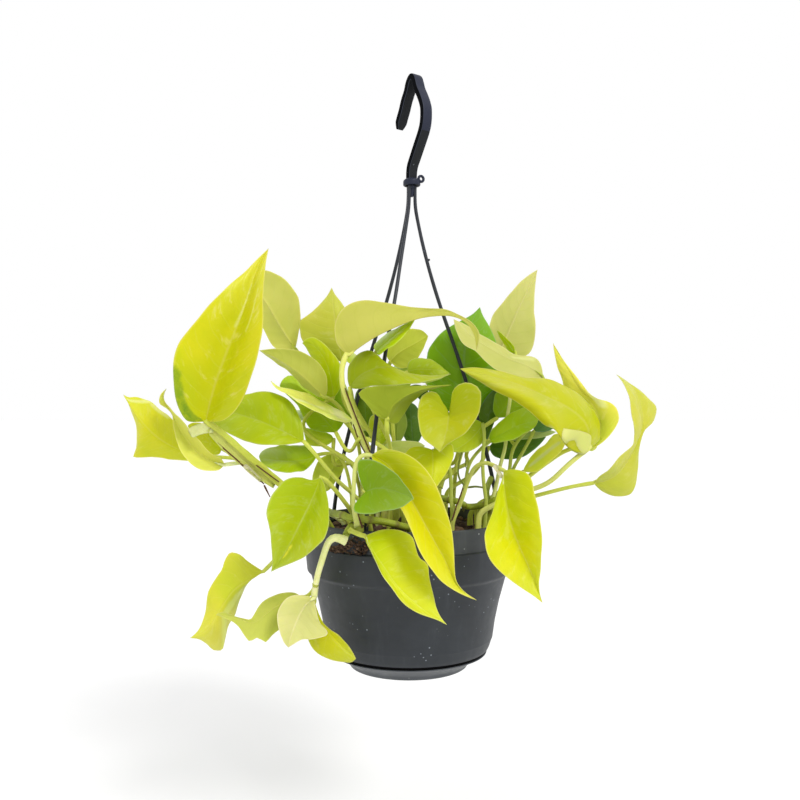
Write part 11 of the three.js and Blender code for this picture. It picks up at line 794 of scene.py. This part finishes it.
# ------------------------------------------------------------------------------------------------ soil with bark
def soil_material(name):
    m, nt, b, out = nodes_of(name); n = N(nt)
    geo = n.new("ShaderNodeTexCoord").outputs["Object"]
    at = n.new("ShaderNodeAttribute", attribute_name="part"); tone, kind, _ = n.xyz(at.outputs["Vector"])
    a = n.noise(geo, 320, 5, 0.65, 0.3, 1.0); f = n.noise(geo, 1500, 3, 0.6, 0.0, 2.0)
    grain = n.noise(n.scale(geo, (400.0, 1600.0, 1600.0)), 1.0, 3, 0.6)
    c = n.mix(n.ramp(a, 0.32, 0.68), lin(34, 24, 17), lin(78, 58, 42))
    ch = n.mix(tone, lin(48, 36, 29), lin(124, 98, 80))
    ch = n.mix(n.ramp(grain, 0.35, 0.7, 0.0, 0.55), ch, lin(48, 32, 22))
    c = n.mix(kind, c, ch)
    c = n.mix(n.ramp(f, 0.62, 0.8, 0.0, 0.35), c, lin(150, 124, 100))
    n.put(b.inputs["Base Color"], c)
    n.put(b.inputs["Roughness"], n.math("ADD", 0.8, n.math("MULTIPLY", a, 0.15)))
    h = n.math("ADD", n.math("MULTIPLY", a, 0.7), n.math("MULTIPLY", grain, 0.4))
    n.put(b.inputs["Normal"], n.bump(h, 0.9, 0.0012))
    b.inputs["Specular IOR Level"].default_value = 0.2
    return m


SOIL_MAT = soil_material("potting_bark")


def chunk(mesh, c, size, rng, tone, flat=0.4):
    """a splintered piece of bark"""
    a = size * rng.uniform(0.7, 1.2); b = size * rng.uniform(0.35, 0.65); h = size * flat * rng.uniform(0.6, 1.2)
    v = np.sign(ICO_V) * np.abs(ICO_V) ** 0.62
    w = rng.normal(size=(6, 3)) * 2.2; p_ = rng.uniform(0, 6.28, 6); n_ = sum(np.sin(ICO_V @ w[i] + p_[i]) for i in range(6)) / 6
    v = v * (1 + 0.38 * n_[:, None]) * [a, b, h]
    q = rng.normal(size=3) * [0.28, 0.28, 0]; yaw = rng.uniform(0, 6.28)
    cz, sz_ = math.cos(yaw), math.sin(yaw); Rz = np.array([[cz, -sz_, 0], [sz_, cz, 0], [0, 0, 1]])
    cx, sx_ = math.cos(q[0]), math.sin(q[0]); Rx = np.array([[1, 0, 0], [0, cx, -sx_], [0, sx_, cx]])
    cy, sy_ = math.cos(q[1]), math.sin(q[1]); Ry = np.array([[cy, 0, sy_], [0, 1, 0], [-sy_, 0, cy]])
    v = v @ (Rz @ Rx @ Ry).T + c
    base = sum(len(x) for x in mesh.v); mesh.v.append(P(v)); mesh.uv.append(np.zeros((len(v), 2))); mesh.at.append(np.tile([tone, 1, 0, 0], (len(v), 1)).astype(float))
    mesh.f += [[i + base for i in f] for f in ICO_F]; mesh.m += [0] * len(ICO_F)


def soil_top(x, y):
    r = math.hypot(x, y)
    return 98.6 + 2.2 * (1 - min(1, r / 70)) + 0.9 * math.sin(x * .23 + 1) * math.sin(y * .19) + 0.5 * math.sin(x * .61) * math.cos(y * .57 + 2)


mesh = Mesh(); rng = np.random.default_rng(77); NR, NA = 44, 150
rr = np.linspace(0, 70.5, NR)[1:]; a = np.arange(NA) / NA * 2 * math.pi
G = np.zeros((NR - 1, NA, 3))
for i, r in enumerate(rr):
    for j, t in enumerate(a):
        x, y = r * math.cos(t), r * math.sin(t)
        G[i, j] = [x, y, soil_top(x, y) + (rng.normal() * 0.35 if i < NR - 3 else 0)]
side = np.stack([G[-1] * [1, 1, 0] * (k / 70.5) + [0, 0, z] for k, z in ((70.3, 92.0), (69.6, 80.0), (68.6, 70.0), (62, 69.5), (30, 69.5))])
G = np.concatenate([G, side])
b0 = mesh.grid(P(G), wrap=True, flip=False); cap(mesh, b0, 0, NA, P([0, 0, soil_top(0, 0)]), True); cap(mesh, b0, len(G) - 1, NA, P([0, 0, 69.5]), False)
for k in range(420):
    r, t = 68.5 * math.sqrt(rng.uniform()), rng.uniform(0, 2 * math.pi); s = rng.uniform(1.6, 4.6) if rng.uniform() < .8 else rng.uniform(4.5, 7)
    r = min(r, 69.8 - s); x, y = r * math.cos(t), r * math.sin(t)
    chunk(mesh, np.array([x, y, soil_top(x, y) + s * 0.12]), s, rng, rng.uniform() ** 1.6)
# heaped bark at the front left, level with the rim
for k in range(70):
    t = math.radians(rng.uniform(212, 268)); r = rng.uniform(55, 66); s = rng.uniform(2.0, 4.6); x, y = r * math.cos(t), r * math.sin(t)
    chunk(mesh, np.array([x, y, soil_top(x, y) + rng.uniform(0.3, 3.4)]), s, rng, rng.uniform() ** 1.4, 0.45)
own(mesh.make("soil_look", [SOIL_MAT]), "soil")

# crumbs that lie on the ledge of the pot, front left
mesh = Mesh()
for (x_, dz, s) in SPILL:
    r = 74.9; t = math.radians(x_); chunk(mesh, np.array([r * math.cos(t), r * math.sin(t), 91.0 + dz]), s, rng, rng.uniform() ** 1.2, 0.5)
for (t0, t1, z0, rr0, dz) in ROOTS:
    ts = np.radians(np.linspace(t0, t1, 12)); q = np.stack([74.9 * np.cos(ts), 74.9 * np.sin(ts), z0 + 0.5 * np.sin(np.linspace(0, 7, 12) + t0) + np.linspace(0.5, 0.5 + dz, 12)], -1)
    rr = np.linspace(rr0, rr0 * 0.5, 12); A = tube_rings(q, rr, 8); b0 = mesh.grid(P(A), wrap=True, flip=True, attr=np.tile([0.7, 1, 0, 0], (12, 8, 1)).astype(float))
    cap(mesh, b0, 0, 8, P(q[0]), False, attr=(.7, 1, 0, 0)); cap(mesh, b0, 11, 8, P(q[-1]), True, attr=(.7, 1, 0, 0))
crumbs = mesh.make("ledge_crumbs", [SOIL_MAT]); own(crumbs, None)

# ------------------------------------------------------------------------------------------------ dried sheaths
def sheath_material(name, dark=(112, 80, 46), light=(188, 156, 104), spot=(74, 50, 30)):
    m, nt, b, out = nodes_of(name); n = N(nt)
    uv = n.new("ShaderNodeUVMap", uv_map="uv").outputs[0]; geo = n.new("ShaderNodeTexCoord").outputs["Object"]
    a = n.noise(n.scale(uv, (3.0, 40.0, 1.0)), 2.0, 4, 0.65); f = n.noise(geo, 240, 3, 0.6)
    c = n.mix(n.ramp(a, 0.3, 0.7), lin(*dark), lin(*light)); c = n.mix(n.ramp(f, 0.55, 0.75, 0.0, 0.6), c, lin(*spot))
    n.put(b.inputs["Base Color"], c); n.put(b.inputs["Roughness"], n.math("ADD", 0.55, n.math("MULTIPLY", a, 0.25)))
    n.put(b.inputs["Normal"], n.bump(a, 0.7, 0.0006))
    b.inputs["Subsurface Weight"].default_value = 0.2; b.inputs["Subsurface Radius"].default_value = (1.0, 0.7, 0.4); b.inputs["Subsurface Scale"].default_value = 0.0008
    return m


SHEATH_MATS = [sheath_material("dry_sheath"), sheath_material("brown_edge", (70, 42, 22), (118, 76, 40), (46, 26, 14)), sheath_material("pale_sheath", (196, 190, 130), (232, 230, 196), (170, 150, 90)),
               sheath_material("dark_line", (22, 20, 14), (52, 42, 28), (14, 12, 10)), sheath_material("green_strip", (130, 150, 50), (178, 190, 90), (96, 110, 34)), sheath_material("stalk_wing", (180, 188, 74), (212, 216, 118), (152, 160, 60)), sheath_material("pale_lobe", (200, 206, 124), (220, 224, 158), (186, 196, 104))]
mesh = Mesh()
for k, (pts, w0, w1, curl, tone_) in enumerate(SHEATHS):
    f0_ = len(mesh.f)
    rng = np.random.default_rng(400 + k); q = along(np.array(pts, float), n=18)
    for _ in range(2):
        q[1:-1] = (q[:-2] + 2 * q[1:-1] + q[2:]) / 4
    t = unit(np.gradient(q, axis=0)); s = np.cross(t, np.array([0.15, -1.0, 0.1])); s = unit(s); nn = unit(np.cross(s, t)); nw = 11
    ww = np.linspace(-1, 1, nw); prof = np.interp(np.linspace(0, 1, 18), [0, .25, .7, 1], [w0, w0 * 1.1, (w0 + w1) / 2, w1]); G = np.zeros((2, 18, nw, 3))
    for i in range(18):
        for j, v in enumerate(ww):
            ang_ = v * curl; off = s[i] * math.sin(ang_) / curl * prof[i] + nn[i] * (1 - math.cos(ang_)) / curl * prof[i]
            rag = 0.5 * math.sin(i * 1.7 + k) * abs(v) + rng.normal() * 0.08
            for h_ in range(2):
                G[h_, i, j] = q[i] + off + nn[i] * ((0.16 if h_ else -0.16) + rag * 0.35)
    ring = np.concatenate([G[0], G[1][:, ::-1]], 1)
    ring[0] = ring[0].mean(0) + (ring[0] - ring[0].mean(0)) * .6
    uvg = np.stack([np.repeat(np.linspace(0, 1, 18)[:, None], 2 * nw, 1), np.repeat(np.r_[np.linspace(0, 1, nw), np.linspace(1, 0, nw)][None], 18, 0)], -1)
    b0 = mesh.grid(P(ring), wrap=True, uv=uvg); cap(mesh, b0, 0, 2 * nw, P(ring[0].mean(0)), True); cap(mesh, b0, 17, 2 * nw, P(ring[-1].mean(0)), False)
    mesh.m[f0_:] = [tone_] * (len(mesh.f) - f0_)
if SHEATHS:
    own(mesh.make("dry_sheaths", SHEATH_MATS), None)

# ------------------------------------------------------------------------------------------------ floor, light, camera
VIEW_FLOOR = -0.580


def stage_floor():
    bm = bmesh.new(); bmesh.ops.create_grid(bm, x_segments=40, y_segments=40, size=14.0)
    me = bpy.data.meshes.new("floor"); bm.to_mesh(me); bm.free()
    ob = bpy.data.objects.new("floor", me); bpy.context.scene.collection.objects.link(ob); ob.location = (0, 0, VIEW_FLOOR)
    m, nt, b, out = nodes_of("paper_floor"); n = N(nt); geo = n.new("ShaderNodeTexCoord").outputs["Object"]
    n.put(b.inputs["Base Color"], n.mix(n.noise(geo, 3, 2, .5), (.845, .845, .848, 1), (.86, .86, .862, 1)))
    b.inputs["Roughness"].default_value = 0.9; b.inputs["Specular IOR Level"].default_value = 0.1
    me.materials.append(m)


stage_floor()
world = bpy.data.worlds.new("soft_white"); bpy.context.scene.world = world; world.use_nodes = True
bg = world.node_tree.nodes["Background"]; bg.inputs[0].default_value = (1, 1, 1, 1); bg.inputs[1].default_value = 1.0


def area(name, at, aim, size, watts, colour=(1, 1, 1)):
    li = bpy.data.lights.new(name, "AREA"); li.shape = "DISK"; li.size = size; li.energy = watts; li.color = colour
    ob = bpy.data.objects.new(name, li); bpy.context.scene.collection.objects.link(ob)
    ob.location = at; ob.rotation_euler = (Vector(aim) - Vector(at)).to_track_quat("-Z", "Y").to_euler()


KEY = unit(np.array([247.0, -367.0, 350.0]))
sun = bpy.data.lights.new("key", "SUN"); sun.energy = KEY_W; sun.angle = math.radians(16.0); sun.color = (1.0, 0.995, 0.98)
so = bpy.data.objects.new("key", sun); bpy.context.scene.collection.objects.link(so)
so.location = (KEY * 2).tolist(); so.rotation_euler = Vector(KEY.tolist()).to_track_quat("Z", "Y").to_euler()
area("fill_back", (-0.9, 1.9, 0.9), (0, 0, -0.25), 1.6, BACK_W)

cam = bpy.data.cameras.new("camera"); cam.lens = 40.5; cam.sensor_width = 36.0; cam.sensor_fit = "HORIZONTAL"; cam.clip_start = 0.01; cam.clip_end = 100
co = bpy.data.objects.new("camera", cam); bpy.context.scene.collection.objects.link(co)
co.location = (-0.0107, -0.6622, -0.2354); co.rotation_euler = (math.radians(90), 0, 0)
bpy.context.scene.camera = co
vs_ = bpy.context.scene.view_settings; vs_.view_transform = "Standard"; vs_.look = "None"; vs_.exposure = 0.0; vs_.gamma = 1.0
